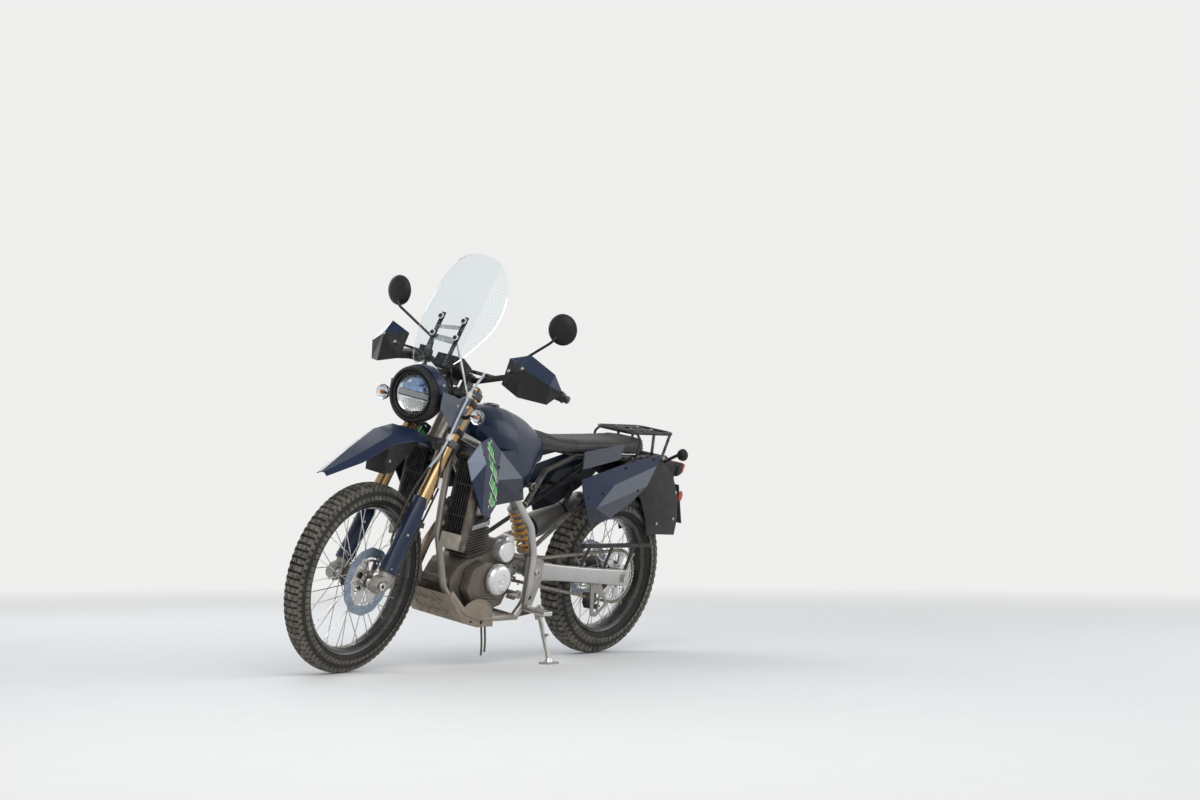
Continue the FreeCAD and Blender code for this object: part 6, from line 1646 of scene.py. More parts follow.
# %% Shrouds
shroud_corners = {"top": head(-4, -59, 190), "nose": head(59, -125, 196), "chin": head(27, -196, 200),
    "hem": head(-61, -321, 196), "toe": head(-116, -333, 184), "heel": head(-166, -291, 168),
    "tail": pivot(153, 284, 148), "tail_top": pivot(169, 365, 142), "back": head(-271, -93, 134),
    "brow": head(-180, -93, 142), "shoulder": head(-86, -39, 164), "ridge": head(-31, -131, 206),
    "waist": head(-141, -196, 178)}
shroud_colours = [(pale_panel, [["top", "nose", "ridge"], ["nose", "chin", "ridge"]]),
    (shroud_banded, [["chin", "hem", "ridge"], ["hem", "waist", "ridge"], ["top", "ridge", "shoulder"],
    ["ridge", "waist", "shoulder"], ["hem", "toe", "waist"], ["toe", "heel", "waist"]]),
    (navy, [["shoulder", "waist", "brow"], ["brow", "tail_top", "back"]]),
    (grey_panel, [["brow", "waist", "tail_top"]]), (dark_panel,
    [["waist", "heel", "tail"], ["waist", "tail", "tail_top"]])]
shroud_groups = [(tone, both([facets(part_of(shroud_corners, faces), faces, (0, -5, 0))]))
    for tone, faces in shroud_colours]
piece("shroud_panels", shroud_groups, "chassis", ["shrouds"], 8, 0.9)
bosses = both([rod(head(-36, -230, 176.3), head(-36, -230, 192), 10),
    rod(pivot(215, 323, 124), pivot(215, 323, 146), 9)])
shroud_screws = sum((bolt(at, Y, 5.5, 3) for at in (head(-36, -225, 199.5), head(-20, -100, 196.5),
    head(-150, -150, 166), pivot(182, 320, 149))), [])
vent_lines = [box(head(-128 - 14 * k, -128 - 8 * k, 158.5 - 3.4 * k),
    head(-140 - 14 * k, -168 - 8 * k, 160.5 - 3.4 * k), 3, 4, Y) for k in range(4)]
piece("shroud_fixings", [(black, bosses + both(vent_lines)), (gloss, both(shroud_screws))], "chassis", [],
    32)

# %% Side panels
panel_corners = {"front": (386, 140, 732), "upper": (150, 142, 792), "rear": (-116, 128, 834),
    "rear_low": (-95, 132, 790), "corner": (-42, 138, 711), "hem": (42, 142, 649), "belly": (180, 146, 580),
    "toe": (307, 146, 556), "shin": (350, 146, 640), "ridge": (191, 152, 714), "knee": (285, 153, 622)}
panel_colours = [(navy, [["front", "upper", "ridge"], ["upper", "rear", "rear_low"],
    ["upper", "rear_low", "ridge"], ["front", "ridge", "shin"], ["shin", "ridge", "knee"]]),
    (grey_panel, [["ridge", "rear_low", "corner"], ["ridge", "corner", "knee"]]),
    (slate_panel, [["knee", "corner", "hem"], ["knee", "hem", "belly"]]),
    (dark_panel, [["knee", "belly", "toe"], ["shin", "knee", "toe"]])]
panel_groups = [(tone, both([facets(part_of(panel_corners, faces), faces, (0, -5, 0))]))
    for tone, faces in panel_colours]
piece("side_panel_facets", panel_groups, "chassis", ["side_panels"], 8, 0.9)
strip_corners = {"a": (371, 124, 838), "b": (128, 124, 870), "c": (150, 130, 812), "d": (374, 130, 770)}
strip = facets(strip_corners, [["a", "b", "c"], ["a", "c", "d"]], (0, -5, 0))
panel_bosses = both([rod((px, 88, pz), (px, py, pz), 8) for px, pz, py in ((-70, 815, 126), (250, 672, 145),
    (330, 660, 143))] + [rod((250, 85, 815), (250, 124, 815), 8)])
panel_screws = sum((bolt(array(at, float), Y, 5.5, 3) for at in ((-70, 132, 815), (250, 151, 680),
    (330, 147, 662), (120, 144.5, 780), (20, 141, 690))), [])
piece("side_strips", [(slate_panel, both([strip]))], "chassis", [], 8, 0.9)
piece("side_panel_fixings", [(black, panel_bosses), (gloss, both(panel_screws))], "chassis", [],
    32)

# %% [markdown]
# The rear fender is a channel over the tyre: a back wall that follows the wheel, and two side walls.
# The tail lamp, the reflector, the bare plate bracket and two round indicators are fixed to it.

# %% Rear fender
outer_line = [(60, 800), (-120, 800), (-215, 800), (-296, 742), (-352, 660), (-372, 560), (-366, 492)]
bent = rounded([array([x, 0, z], float) for x, z in outer_line], 60, 6)
inwards = unit(stack([-gradient(bent[:, 2]), zeros(len(bent)), gradient(bent[:, 0])], -1))
inwards = np.where((inwards[:, 2:] > 0) & (bent[:, :1] > -200), -inwards, inwards)
inwards = np.where(inwards[:, :1] < 0, -inwards, inwards)
t = linspace(-1, 1, 17)
crown = 3.0 * (1 - t ** 4)
wall_skin = bent[:, None] + t[None, :, None] * 73 * side + inwards[:, None] * (3 - crown)[None, :, None]
wall_back = bent[:, None] + t[None, :, None] * 73 * side + inwards[:, None] * (6 - crown)[None, :, None]
wall_outline = [(60, 798), (-212, 798), (-292, 741), (-349, 659), (-369, 560), (-363, 492), (-225, 496),
    (-176, 491), (-150, 560), (-100, 640), (-30, 700), (60, 740)]
bracket = slab([(-352, 700), (-362, 700), (-420, 540), (-414, 538)], -62, 62, 1.2)
shelf = slab([(-150, 800), (-290, 812), (-370, 770), (-352, 700), (-292, 740), (-213, 796)], -34, 34, 3)
mount = slab([(-217, 796), (-193, 796), (-193, 815), (-217, 815)], -30, 30)
ribs = [slab([(x, z), (x - 5, z), (x - 26, z - 120), (x - 21, z - 120)], y - 1.5, y + 1.5)
    for x, z in ((-350, 668),) for y in (-48, 48)]
fender_bolts = sum((screw(array(at, float), Y, 4.5, 3.5) for at in ((-330, 73.5, 670), (-340, 73.5, 560),
    (-120, 73.5, 770), (0, 73.5, 770), (-230, 73.5, 540))), [])
piece("rear_fender_channel", [(black, [walled(wall_skin, wall_back), bracket, shelf,
    mount] + both([slab(wall_outline, 69, 73.5, 1.2)])), (zinc, both(fender_bolts))], "chassis",
    ["rear_fender"], 30)

# %% Tail lamp, reflector and rear indicators
lamp_house = slab([(-371, 773), (-388, 786), (-400, 785), (-392, 740), (-366, 731)], -42, 42, 2.5)
lamp_lens = slab([(-386, 783), (-397, 788), (-417, 780), (-406, 746), (-390, 744)], -40, 40, 3)
lens_ribs = [slab([(-417, 780), (-419, 779), (-408, 746), (-406, 746)], y - 1, y + 1)
    for y in range(-35, 36, 7)]
reflector_centre = array([-381.0, 62.3, 654.0])
reflector_form = []
angle = full_turn(28)
for inset, y in ((1.0, 0.0), (1.0, 1.8), (0.9, 3.2), (0.5, 3.7)):
    oval_ring = reflector_centre + stack([13 * inset * cos(angle), full(28, y), 22 * inset * sin(angle)],
        -1)
    reflector_form.append(oval_ring)
stalk_forms, pod_lenses = [], []
for s in (-1, 1):
    stalk_forms.append(tube([(-250, s * 34.3, 793), (-250, s * 48, 793), (-214, s * 138, 836),
        (-214, s * 150, 839)], 6.8, 14, 14))
    pod_at = array([-214, s * 158.0, 840])
    pod_way = unit((-1, 0, 0.1))
    stalk_forms.append(turned([(0, -12), (9, -12), (16, -10), (22, -3), (24.6, 5), (25, 9), (23, 9),
        (22, 7), (0, 7)], pod_at, pod_way, 32))
    pod_lenses.append(turned([(0, 7), (22.6, 7), (23.4, 11), (21, 16), (13, 20), (0, 21.8)], pod_at,
        pod_way, 28))
piece("rear_lamp_and_indicators", [(black, [lamp_house] + stalk_forms),
    (red_lens, [lamp_lens, loft(reflector_form)] + lens_ribs), (amber, pod_lenses)], "chassis",
    ["rear_lights"], 34)

# %% [markdown]
# The rack is a carrier of bent round tube on three pairs of legs, with two slotted bars for luggage bolts.

# %% Rack
rack_z = 914.0
rack_loop = [array(p, float) for p in ((50, 0, rack_z), (50, 92, rack_z), (-215, 92, rack_z),
    (-235, 60, rack_z), (-235, 0, rack_z))]
rack_forms = both([tube(rack_loop, 7, 18, 30)])
rack_forms += [rod((x, -92, rack_z), (x, 92, rack_z), 6, 16) for x in (-10.0, -80.0, -150.0)]
legs = [rod((-110, 85, 815), (-96, 92, rack_z), 6, 16), rod((-180, 85, 815), (-205, 92, rack_z), 6, 16),
    tube([(20, 92, rack_z), (20, 116, rack_z - 24), (28, 116, 827), (28, 85, 815)], 5, 14, 14)]
bars = []
for y in (-36, 36):
    holes = [circle(3.3, (x, -1 if y > 0 else 1), 16) for x in (-45.0, -115.0)]
    holes.append([(-66, -3), (-94, -3), (-94, 3), (-66, 3)])
    outlines = [[(-8, -11), (-152, -11), (-152, 11), (-8, 11)]] + holes
    bars.append(shifted(plate(outlines, 6, 0.6), (0, y, rack_z + 4)))
rack_screws = [f for x in (-10, -150) for y in (-36, 36) for f in screw((x, y, rack_z + 7), Z, 4.2, 3.5)]
leg_feet = [f for x in (-110, -180, 28) for f in screw((x, 96, 815), Y, 5, 4)]
piece("rear_rack_tubes", [(black_metal, rack_forms + both(legs) + bars),
    (zinc, rack_screws + both(leg_feet))], "chassis", ["rack"], 34)

# %% [markdown]
# The engine's cases are castings: outlines seen from the side, given depth and rounded edges, with ribs,
# bosses and rows of screws round each cover. The cylinder is a stack of thin fins, which is one plate
# repeated.

# %% Crankcase
def p(dx, dz):
    """A side-view point from the swingarm pivot."""
    return pivot(dx, dz)[[0, 2]]


cylinder_lean = radians(12)
cylinder_up = array([sin(cylinder_lean), 0, cos(cylinder_lean)])
cylinder_ahead = array([cylinder_up[2], 0, -cylinder_up[0]])
cylinder = placing(pivot(262, 50), cylinder_up, cylinder_ahead, side)


def soften(outline, radius=12.0, steps=5):
    """A closed side-view outline with its corners rounded."""
    outline = [array([q[0], 0, q[1]], float) for q in outline]
    middle = (outline[0] + outline[-1]) / 2
    return rounded([middle] + outline + [middle], radius, steps)[:-1, [0, 2]]


middle_outline = [p(48, -60), p(90, -140), p(140, -154), p(330, -154), p(392, -112), p(404, -40),
    p(372, 12), cylinder(0, 66)[[0, 2]], cylinder(0, -66)[[0, 2]], p(120, 104), p(60, 100), p(48, 60)]
left_outline = [p(144, -96), p(164, -134), p(300, -134), p(350, -70), p(330, 10), p(260, 40), p(180, 22),
    p(144, 6)]
right_outline = [p(96, -90), p(140, -138), p(300, -138), p(352, -60), p(330, 20), p(240, 46), p(130, 40),
    p(96, 0)]
clutch_cover = turned([(0, 0), (88, 0), (88, 4), (84, 9), (76, 15), (66, 18), (40, 18), (36, 16), (0, 16)],
    pivot(212, -44, -112), -Y, 56)
clutch_ribs = [box(pivot(212 + 40 * cos(a), -44 + 40 * sin(a), -129.4),
    pivot(212 + 72 * cos(a), -44 + 72 * sin(a), -126), 4, 4, Y) for a in radians(arange(20, 380, 45))]
case_ribs = [box(pivot(166 + 17 * k, -132, 84), pivot(178 + 17 * k, -104 + 2 * k, 108), 4, 5, X)
    for k in range(8)]
case_ribs += [box(pivot(176 + 8 * k, -118 + 11 * k, 106.5), pivot(318 - 3 * k, -118 + 11 * k, 106.5), 4, 4,
    Z) for k in range(4)]
mount_forms = [slab(soften([p(250, -150), p(310, -150), p(300, -190), p(262, -190)], 8), -96, 96, 2),
    rod(head(-70, -600, -60), head(-70, -600, 60), 16), slab([head(-70, -584)[[0, 2]],
    head(-70, -616)[[0, 2]], p(380, -60), p(380, -20)], -20, 20, 2)]


def rim_screws(outline, y, way, inset, size=4.0, every=4):
    """Screws along a softened outline, a little inside it."""
    ring = soften(outline, 22)
    middle = ring.mean(axis=0)
    found = []
    for at in ring[::every]:
        inside = at + (middle - at) * inset
        found += bolt((inside[0], y, inside[1]), Y * way, size, 5)
    return found


case_screws = rim_screws(left_outline, 68, 1, 0.03, 4, 3) + rim_screws(right_outline, -112, -1, 0.07, 4, 3)
shaft = rod(drive_hub + Y * 58, drive_hub + Y * 88, 14)
drive_plate = shifted(on_side(plate([sprocket_outline(drive_teeth), circle(12, count=24)], 5.8, 0.4),
    chain_y), drive_hub * (1, 0, 1))
drain = [turned([(0, 0), (13, 0), (13, 3), (10, 10), (0, 10)], pivot(220, -154, 0), -Z, 6),
    turned([(0, 0), (15, 0), (15, 8), (12, 12), (0, 12)], pivot(330, -100, -112), -Y, 24)]
piece("engine_cases", [(case_brown, [slab(soften(middle_outline, 16), -82, 60, 4),
    slab(soften(left_outline, 22), 58, 105, 5)] + case_ribs),
    (engine_dark, [slab(soften(right_outline, 22), -112, -80, 5), slab(soften(left_outline, 22), 60, 68, 1),
    slab(soften(middle_outline, 16), -12, -9, 0.5)] + mount_forms),
    (cover_silver, [clutch_cover] + clutch_ribs), (zinc, case_screws + drain),
    (disc_steel, [shaft, drive_plate])], "chassis", ["crankcase"], 32)

# %% Cylinder and head
def block(low, high, back, front, half, edge=1.5, cut=0.0):
    """A block across the cylinder's line with rounded vertical corners."""
    r = min(16.0, half * 0.3)
    corners_flat = [(cx, cy) + polar(r, radians(linspace(a0, a0 + 90, 5)))
        for cx, cy, a0 in ((front - r, half - r, 0), (back + r, half - r, 90), (back + r, -half + r, 180),
        (front - r, -half + r, 270))]
    flat = vstack(corners_flat)
    points, faces = plate([flat], high - low, edge)
    return cylinder(points[:, 2:] + (low + high) / 2, points[:, :1], points[:, 1:2]), faces


fins = [block(16 + 10.4 * k, 19 + 10.4 * k, -66, 66, 64, 0.6) for k in range(9)]
head_blocks = [block(112, 130, -68, 66, 66, 2), block(132, 168, -64, 60, 60, 3),
    block(170, 196, -70, 66, 68, 2), block(196, 222, -58, 54, 58, 6)]
head_fins = [block(136 + 8 * k, 138.6 + 8 * k, -70, 66, 68, 0.5) for k in range(4)]
port = cylinder(160)
ports = [turned([(0, 60), (30, 60), (30, 66), (26, 68), (26, 92), (0, 92)], port, cylinder_ahead, 32),
    turned([(0, 60), (30, 60), (27, 66), (27, 78), (31, 80), (31, 84), (27, 86), (27, 100), (0, 100)], port,
    -cylinder_ahead, 32)]
head_screws = sum((screw(cylinder(220, a * 0.9, b * 0.9), cylinder_up, 4.5, 4)
    for a, b in ((-50, -50), (46, -50), (-50, 50), (46, 50), (-4, 54), (-4, -54))), [])
for b in (-38, 0, 38):
    head_screws += screw(cylinder(121, 66, b), cylinder_ahead, 5, 4)
plug_cap = [turned([(0, 0), (15, 0), (15, 3), (11, 6), (11, 26), (8, 30), (0, 30)], cylinder(150, 0, 67),
    unit(side + cylinder_up * 0.4), 20)]
side_cover = [turned([(0, 0), (24, 0), (24, 4), (20, 8), (0, 8)], cylinder(183, -4, 66), Y, 32)]
piece("cylinder_and_head", [(engine_dark, [block(0.3, 112, -52, 52, 50)] + fins + head_fins),
    (cast, head_blocks + ports + side_cover), (rubber, plug_cap), (zinc, head_screws)], "chassis",
    ["cylinder"], 34)

# %% Bright round covers
magneto_at = pivot(200, -26, 112.3)
magneto = turned([(0, 0), (60, 0), (60, 10), (58.5, 14), (53, 24), (48, 27.5), (40, 29), (24, 29),
    (22, 27.6), (0, 27.6)], magneto_at, Y, 64)
magneto_mark = [turned([(0, 27.6), (13, 27.6), (13, 30), (9, 30), (8, 29), (0, 29)], magneto_at, Y, 6),
    turned([(15, 27.4), (17, 27.4), (17, 29), (15, 29)], magneto_at, Y, 40, True)]
spokes_mark = [box(magneto_at + Y * 28.4 + (24 * cos(a), 0, 24 * sin(a)),
    magneto_at + Y * 26.6 + (47 * cos(a), 0, 47 * sin(a)), 3, 3, Y) for a in radians(arange(0, 360, 60))]
starter_at = pivot(142, 74, 60.3)
starter = turned([(0, 0), (44, 0), (44, 32), (42, 36), (38, 41), (30, 42), (0, 42)], starter_at, Y, 56)
starter_ring = turned([(26, 41), (28, 41), (28, 43), (26, 43)], starter_at, Y, 48, True)
starter_bridge = turned([(0, 0), (26, 0), (26, 28), (23, 31.5), (0, 31.5)], pivot(124, 112, 60.3), Y, 40)
cover_bolts = []
for a in radians(arange(15, 375, 60)):
    ear = magneto_at + (57 * cos(a), 9, 57 * sin(a))
    cover_bolts += bolt(ear, Y, 4.2, 6)
for a in radians(arange(40, 400, 90)):
    cover_bolts += bolt(starter_at + (40 * cos(a), 33, 40 * sin(a)), Y, 3.8, 5)
sprocket_outline_points = [p(56, -60), p(143.7, -60), p(143.7, 4), p(128, 26), p(100, 46), p(56, 40)]
sprocket_guard = slab(soften(sprocket_outline_points, 10), 98, 105.6, 1.5,
    [circle(6, p(84, -26), 16), circle(6, p(84, 14), 16)])
for at in ((64, -50), (64, 30), (134, -50), (120, 22)):
    cover_bolts += bolt(pivot(at[0], at[1], 105.6), Y, 4, 4)
piece("bright_engine_covers", [(cover_silver, [magneto, starter, starter_bridge,
    starter_ring] + magneto_mark + spokes_mark), (engine_dark, [sprocket_guard]), (zinc, cover_bolts)],
    "chassis", ["engine_covers"], 32)

# %% [markdown]
# Each radiator has a core of thin fins behind a guard of upright louvres, and side tanks. The louvres are
# twisted strips, so they close from the front and open from the side.

# %% Radiators
radiator_low, radiator_high = head(14, -455), head(-31, -108)
radiator_up = unit(radiator_high - radiator_low)
tall = float(np.linalg.norm(radiator_high - radiator_low))
radiator = placing(radiator_low, radiator_up, array([radiator_up[2], 0, -radiator_up[0]]), side)


def up_radiator(outline, h0, h1, edge):
    """An outline ahead and across, given a height along the radiator."""
    points, faces = plate([outline], h1 - h0, edge)
    return radiator(points[:, 2:] + (h0 + h1) / 2, points[:, :1], points[:, 1:2]), faces


def core_block(y0, y1, a0, a1, h0, h1, edge=1.0):
    """A block placed across, ahead and up the radiator."""
    outline = array([(a0, y0), (a1, y0), (a1, y1), (a0, y1)], float)
    return up_radiator(outline, h0, h1, edge)


core = [core_block(90, 162, -42, -14, 24, tall - 22, 0.3)]
core_fins = [core_block(90, 162, -14.5, -12.6, h, h + 1.4, 0.1) for h in arange(28, tall - 26, 6.0)]
guard_edge = [core_block(168, 176.6, -30, 2.5, -6, tall + 2, 1.5),
    core_block(78, 176.6, -6, 2.5, tall - 10, tall + 2, 1.5)]
tanks = [core_block(76, 90, -44, 0, 0, tall, 3), core_block(162, 176, -44, 0, 0, tall, 3),
    core_block(76, 176, -44, 0, 0, 24, 3), core_block(76, 176, -44, 0, tall - 22, tall, 3)]
louvres = []
for y in arange(92, 160, 11.6):
    flat = [(-13, y), (1.2, y + 5.0), (1.8, y + 8.4), (-11, y + 2.4)]
    louvres.append(up_radiator(flat, 22, tall - 22, 0.3))
guard_bars = [core_block(90, 162, -4, 1.5, h, h + 4, 0.6) for h in (tall * 0.34, tall * 0.67)]
stays = [core_block(30, 80, -30, -10, 150, 170), core_block(40, 80, -30, -10, 40, 60)]
hose_fittings = [rod(radiator(h, -22, 76), radiator(h, -22, 58), 14, 20) for h in (60, tall - 50)]
piece("radiators_and_louvres", [(black, both(tanks + louvres + guard_bars)),
    (guard_brown, both(guard_edge)), (engine_dark, both(core + core_fins + stays)),
    (rubber, both(hose_fittings)), (beige_block, both([core_block(80, 174, 2.2, 6.5, -4, 54, 1.2)]))],
    "chassis", ["radiators"], 34)

# %% Header pipe and silencer
can_way = unit((-478.0, -6, 142))
mouth = cylinder(160, 92.3)
pipe_end = pivot(-200, 92, -158)
pipe = placing(pipe_end, can_way)
pipe_points = [mouth, mouth + cylinder_ahead * 52, pivot(424, 90, -60), pivot(408, -20, -112),
    pivot(330, -126, -162), pivot(190, -136, -166), pivot(80, -60, -166), pipe(-150), pipe_end]
flange = turned([(17, 0), (33, 0), (33, 7), (17, 7)], mouth + cylinder_ahead * 1, cylinder_ahead, 32, True)
joint = turned([(17, -60), (20, -58), (20, -30), (17, -28)], pipe_end, can_way, 32, True)
can_profile = [(0, 0.3), (24, 0.3), (26, 4), (49, 44), (51, 48), (52, 60), (52, 398), (51, 402),
    (46.5, 424), (42, 428), (30, 430), (30, 468), (28, 470), (25, 470), (25, 440), (0, 440)]
bands = [turned([(51, h), (52, h), (52.6, h + 2), (52.6, h + 14), (52, h + 16), (51, h + 16)], pipe_end,
    can_way, 56, True) for h in (60, 252, 384)]
u_can, v_can = basis(can_way)[:2]
end_screws = [f for a in radians(60 * arange(6)) for f in bolt(pipe(426)
    + (u_can * cos(a) + v_can * sin(a)) * 40, can_way, 3, 3)]
piece("exhaust_pipe_and_silencer", [(exhaust_steel, [tube(pipe_points, 17, 26, 60), flange, joint]),
    (cast, [turned(can_profile, pipe_end, can_way, 56)]), (black_metal,
    bands + [box(pipe(260) + (0, 20, 30), (64, -90, 799), 24, 6, side)]), (zinc, end_screws)], "chassis",
    ["exhaust"], 34)

# %% Skid plate
belly = [head(-30, -640), head(-121, -744), pivot(290, -204), pivot(200, -204)]
lift = [array(q, float) for q in ((6, 0, 7), (4, 0, 8), (0, 0, 6), (0, 0, 6))]
floor_outline = [q[[0, 2]] for q in belly] + [(q + l)[[0, 2]] for q, l in list(zip(belly, lift))[::-1]]
side_outline = [q[[0, 2]] for q in (head(-30, -640), head(-121, -744), pivot(290, -204), pivot(200, -204),
    pivot(206, -172), pivot(290, -164), head(-126, -690), head(-44, -620))]
skid_sides = both([slab(side_outline, 122, 127.6, 1.2, [circle(8, p(270, -186), 16),
    circle(8, p(330, -178), 16)])])
seats = [rod(pivot(dx, -200, y), pivot(dx, -177, y), 9, 16) for dx in (220, 270) for y in (-108, 108)]
skid_ribs = [box(head(-34, -646, y) + (-1, 0, -1), head(-118, -741, y) + (0, 0, -1.5), 6, 3, Z)
    for y in (-80, -40, 0, 40, 80)]
skid_holes = [turned([(6, 0), (11, 0), (11, 2), (6, 2)], head(-30, -640, y) * (1 - s) + head(-121, -744,
    y) * s + (3, 0, -4), unit((0.75, 0, -0.66)), 20, True) for y in (-60, -20, 20, 60) for s in (0.3, 0.7)]
skid_screws = [f for dx in (220, 270) for y in (-108, 108) for f in screw(pivot(dx, -204, y), -Z, 6, 3)]
wing_turn = radians(linspace(0, 180, 19))
wings = []
for s, reach in ((1, 86.0), (-1, 64.0)):
    middle_x = 214 + reach
    dome = stack([arm_pivot[0] + middle_x + reach * cos(wing_turn),
        arm_pivot[2] - 166 + 66 * sin(wing_turn)], -1)
    outline = vstack([dome, [p(middle_x - reach, -178), p(middle_x + reach, -178)]])
    wings.append(slab(outline, s * 125 - 2, s * 125 + 2, 0.8))
    rim_line = stack([dome[:, 0], full(len(dome), s * 125.0), dome[:, 1]], -1)
    wings.append(tube(None, 4.2, 10, path=rim_line))
edge_tube = both([tube([head(-34, -628, 124), head(-124, -708, 126), pivot(290, -172, 126),
    pivot(208, -174, 125)], 5.5, 12, 30)])
piece("skid_plate_folded", [(alloy_dusty, [slab(floor_outline, -126, 126, 1.5)] + skid_sides + seats
    + skid_ribs + skid_holes + wings + edge_tube), (zinc, skid_screws)], "chassis", ["skid_plate"],
    30)

# %% [markdown]
# The frame is bent round tube. Its left side is drawn by a few points each, the bends are arcs of one
# radius, and the right side is the mirror image. Weld rings at the joints and cast plates at the pivot
# complete it.

# %% Frame
spar = [head(-22, -36, 22), head(-111, -81, 90), head(-211, -161, 122), pivot(177, 283, 130),
    pivot(65, 174, 130), pivot(27, 68, 130), pivot(27, -50, 130), pivot(30, -124, 117),
    pivot(60, -172, 108)]
downtube = [head(-13, -26, 16), head(-31, -131, 30), head(0, -300, 48), head(8, -411, 55),
    head(-63, -622, 60), head(-131, -716, 92), pivot(285, -176, 108), pivot(50, -176, 108)]
rail = [pivot(112, 262, 124), pivot(-15, 388, 96), array([380.0, 85, 815]), array([-205.0, 85, 815])]
stay = [pivot(34, 92, 126), array([300.0, 92, 640]), array([20.0, 85, 803])]
shock_top, shock_low = pivot(70, 330), pivot(-100, 34)
cross_tubes = [(shock_top[0], shock_top[2], 130, 11.0), (-205, 815, 85, 9.0), (330, 815, 85, 9.0),
    (640, 196, 108, 11.0), (960, 850, 90, 12.0)]
silver = both([tube(downtube, 13, 22, 70)])
black_forms = both([tube(rail, 11, 20, 60), tube(stay, 8.8, 18, 50)])
for x, z, y, radius in cross_tubes:
    (silver if z < 400 else black_forms).append(rod((x, -y, z), (x, y, z), radius))
head_tube = turned([(17.5, -84), (29, -84), (29, -76), (27, -73), (27, 73), (29, 76), (29, 84), (17.5, 84)],
    head_middle, fork_up, 40, True)
plate_outline = [p(-34, 44), p(44, 62), p(46, -150), p(10, -150), p(-34, -40)]
pivot_plates = both([slab(soften(plate_outline, 14), 118, 138, 1.5,
    [circle(10, p(0, 0), 28), circle(9, p(16, -100), 20)])])
gusset = slab([head(-20, -40), head(-2, -50), head(-30, -190), head(-120, -96)], -5, 5, 1.5,
    [circle(12, head(-50, -96)[[0, 2]], 20)])
stand_pivot = pivot(-50, -150, 134)
pivot_on_floor = upright(stand_pivot) * 1000
stand_foot = (array([pivot_on_floor[0] + 96, pivot_on_floor[1] + 128, 8.0]) / 1000
    - lean_shift) @ leaning * 1000
stand_way = unit(stand_foot - stand_pivot)
stand_axis = unit(np.cross(stand_way, unit((-0.97, 0.03, 0.24))))
stand = placing(stand_pivot, stand_way, stand_axis)
lug = turned([(5.3, -9), (14, -9), (14, 9), (5.3, 9)], stand_pivot, stand_axis, 28, True)
carrier = box(stand_pivot + (0, -16, -2), pivot(40, -168, 108), 15, 15, Z)
pivot_bolt = both([turned([(0, 0), (17, 0), (17, 3), (13, 10), (7, 10), (7, 6), (0, 6)], pivot(0, 0, 138),
    Y, 6), turned([(10, 0), (20, 0), (20, 2), (10, 2)], pivot(0, 0, 138), Y, 28, True)])
weld_rings = [turned([(r - 3, -3), (r, -2), (r + 1, 0), (r, 2), (r - 3, 3)], at, way, 20, True)
    for at, way, r in ((pivot(70, 330, 118), Y, 13), (head(-13, -28, 17),
    unit(head(-31, -131, 30) - head(-13, -26, 16)), 14.5), (pivot(112, 262, 122),
    unit(pivot(-15, 388, 96) - pivot(112, 262, 124)), 13))]
piece("frame_tubes", [(spar_polished, both([tube(spar, 15, 24, 70)])), (frame_silver, silver + [head_tube]),
    (black_metal, black_forms + [carrier, lug]), (cast, pivot_plates + [gusset]), (zinc, pivot_bolt),
    (frame_silver, both(weld_rings))], "chassis", ["frame"], 34)

# %% Swingarm
outer_y = 96 + 26
stations = [(-34, 26, 96, outer_y), (-10, 33, 96, outer_y), (30, 33, 96, outer_y), (120, 31.5, 96, outer_y),
    (245, 31, 96, outer_y), (400, 32, 91, 116), (515, 36, 88, 112), (560, 33, 88, 112), (599, 26, 88, 112)]
arm_sections = []
for x, half_height, inner, outer in stations:
    z = 330 + (372 - 330) * x / 575 * (1.0 if x > 0 else 0.2)
    r = 7.0
    ring_points = []
    for cy, cz, a0 in ((outer - r, half_height - r, 0), (inner + r, half_height - r, 90),
        (inner + r, -half_height + r, 180), (outer - r, -half_height + r, 270)):
        a = radians(linspace(a0, a0 + 90, 4))
        ring_points.append(stack([full(4, x), cy + r * cos(a), z + cz + r * sin(a)], -1))
    arm_sections.append(vstack(ring_points))
tube_pivot = turned([(10.2, -112), (24, -112), (24, 112), (10.2, 112)], pivot(0, 0), Y, 36, True)
bush = turned([(10.2, -117.7), (16.5, -117.7), (16.5, 117.7), (10.2, 117.7)], pivot(0, 0), Y, 28, True)
arm_bridge = slab(soften([p(-70, 28), p(-150, 24), p(-150, -34), p(-70, -34)], 10), -92, 92, 3)
adjusters = []
for s in (-1, 1):
    adjusters.append(shifted(box((-20, 0, 330), (22, 0, 330), 3, 36, Z), (0, s * (outer_y + 0.8), 0)))
    adjusters.append(rod((-34, s * 109, 330), (-46, s * 109, 330), 5, 12))
    adjusters += screw((-40, s * 109, 330), -X, 6.5, 6)
bolt_profile = [(0, -outer_y - 10), (9, -outer_y - 12), (15, -outer_y - 12), (15, -outer_y - 4),
    (18, -outer_y - 4), (18, -outer_y - 1.8), (9.9, -outer_y - 1.8), (9.9, outer_y + 2.8),
    (18, outer_y + 2.8), (18, outer_y + 5), (14, outer_y + 5), (14, outer_y + 12), (0, outer_y + 12)]
arm_marks = [box((-16 + 6 * k, s * (outer_y + 0.2), 349), (-16 + 6 * k, s * (outer_y + 0.2), 358), 1, 1, Y)
    for k in range(6) for s in (-1, 1)]
wheel_spacers = [turned([(10.3, 0), (17, 0), (19, 3), (19, 8), (10.3, 9)],
    rear_hub + Y * (86 if s > 0 else -86), Y * s, 28, True) for s in (-1, 1)]
piece("swingarm_and_axle", [(spar_polished, both([loft(arm_sections)])),
    (cast, [arm_bridge, tube_pivot, bush]), (zinc, [turned(bolt_profile, rear_hub, Y, 24)] + adjusters
    + arm_marks + wheel_spacers)], "chassis", ["swingarm"], 32)

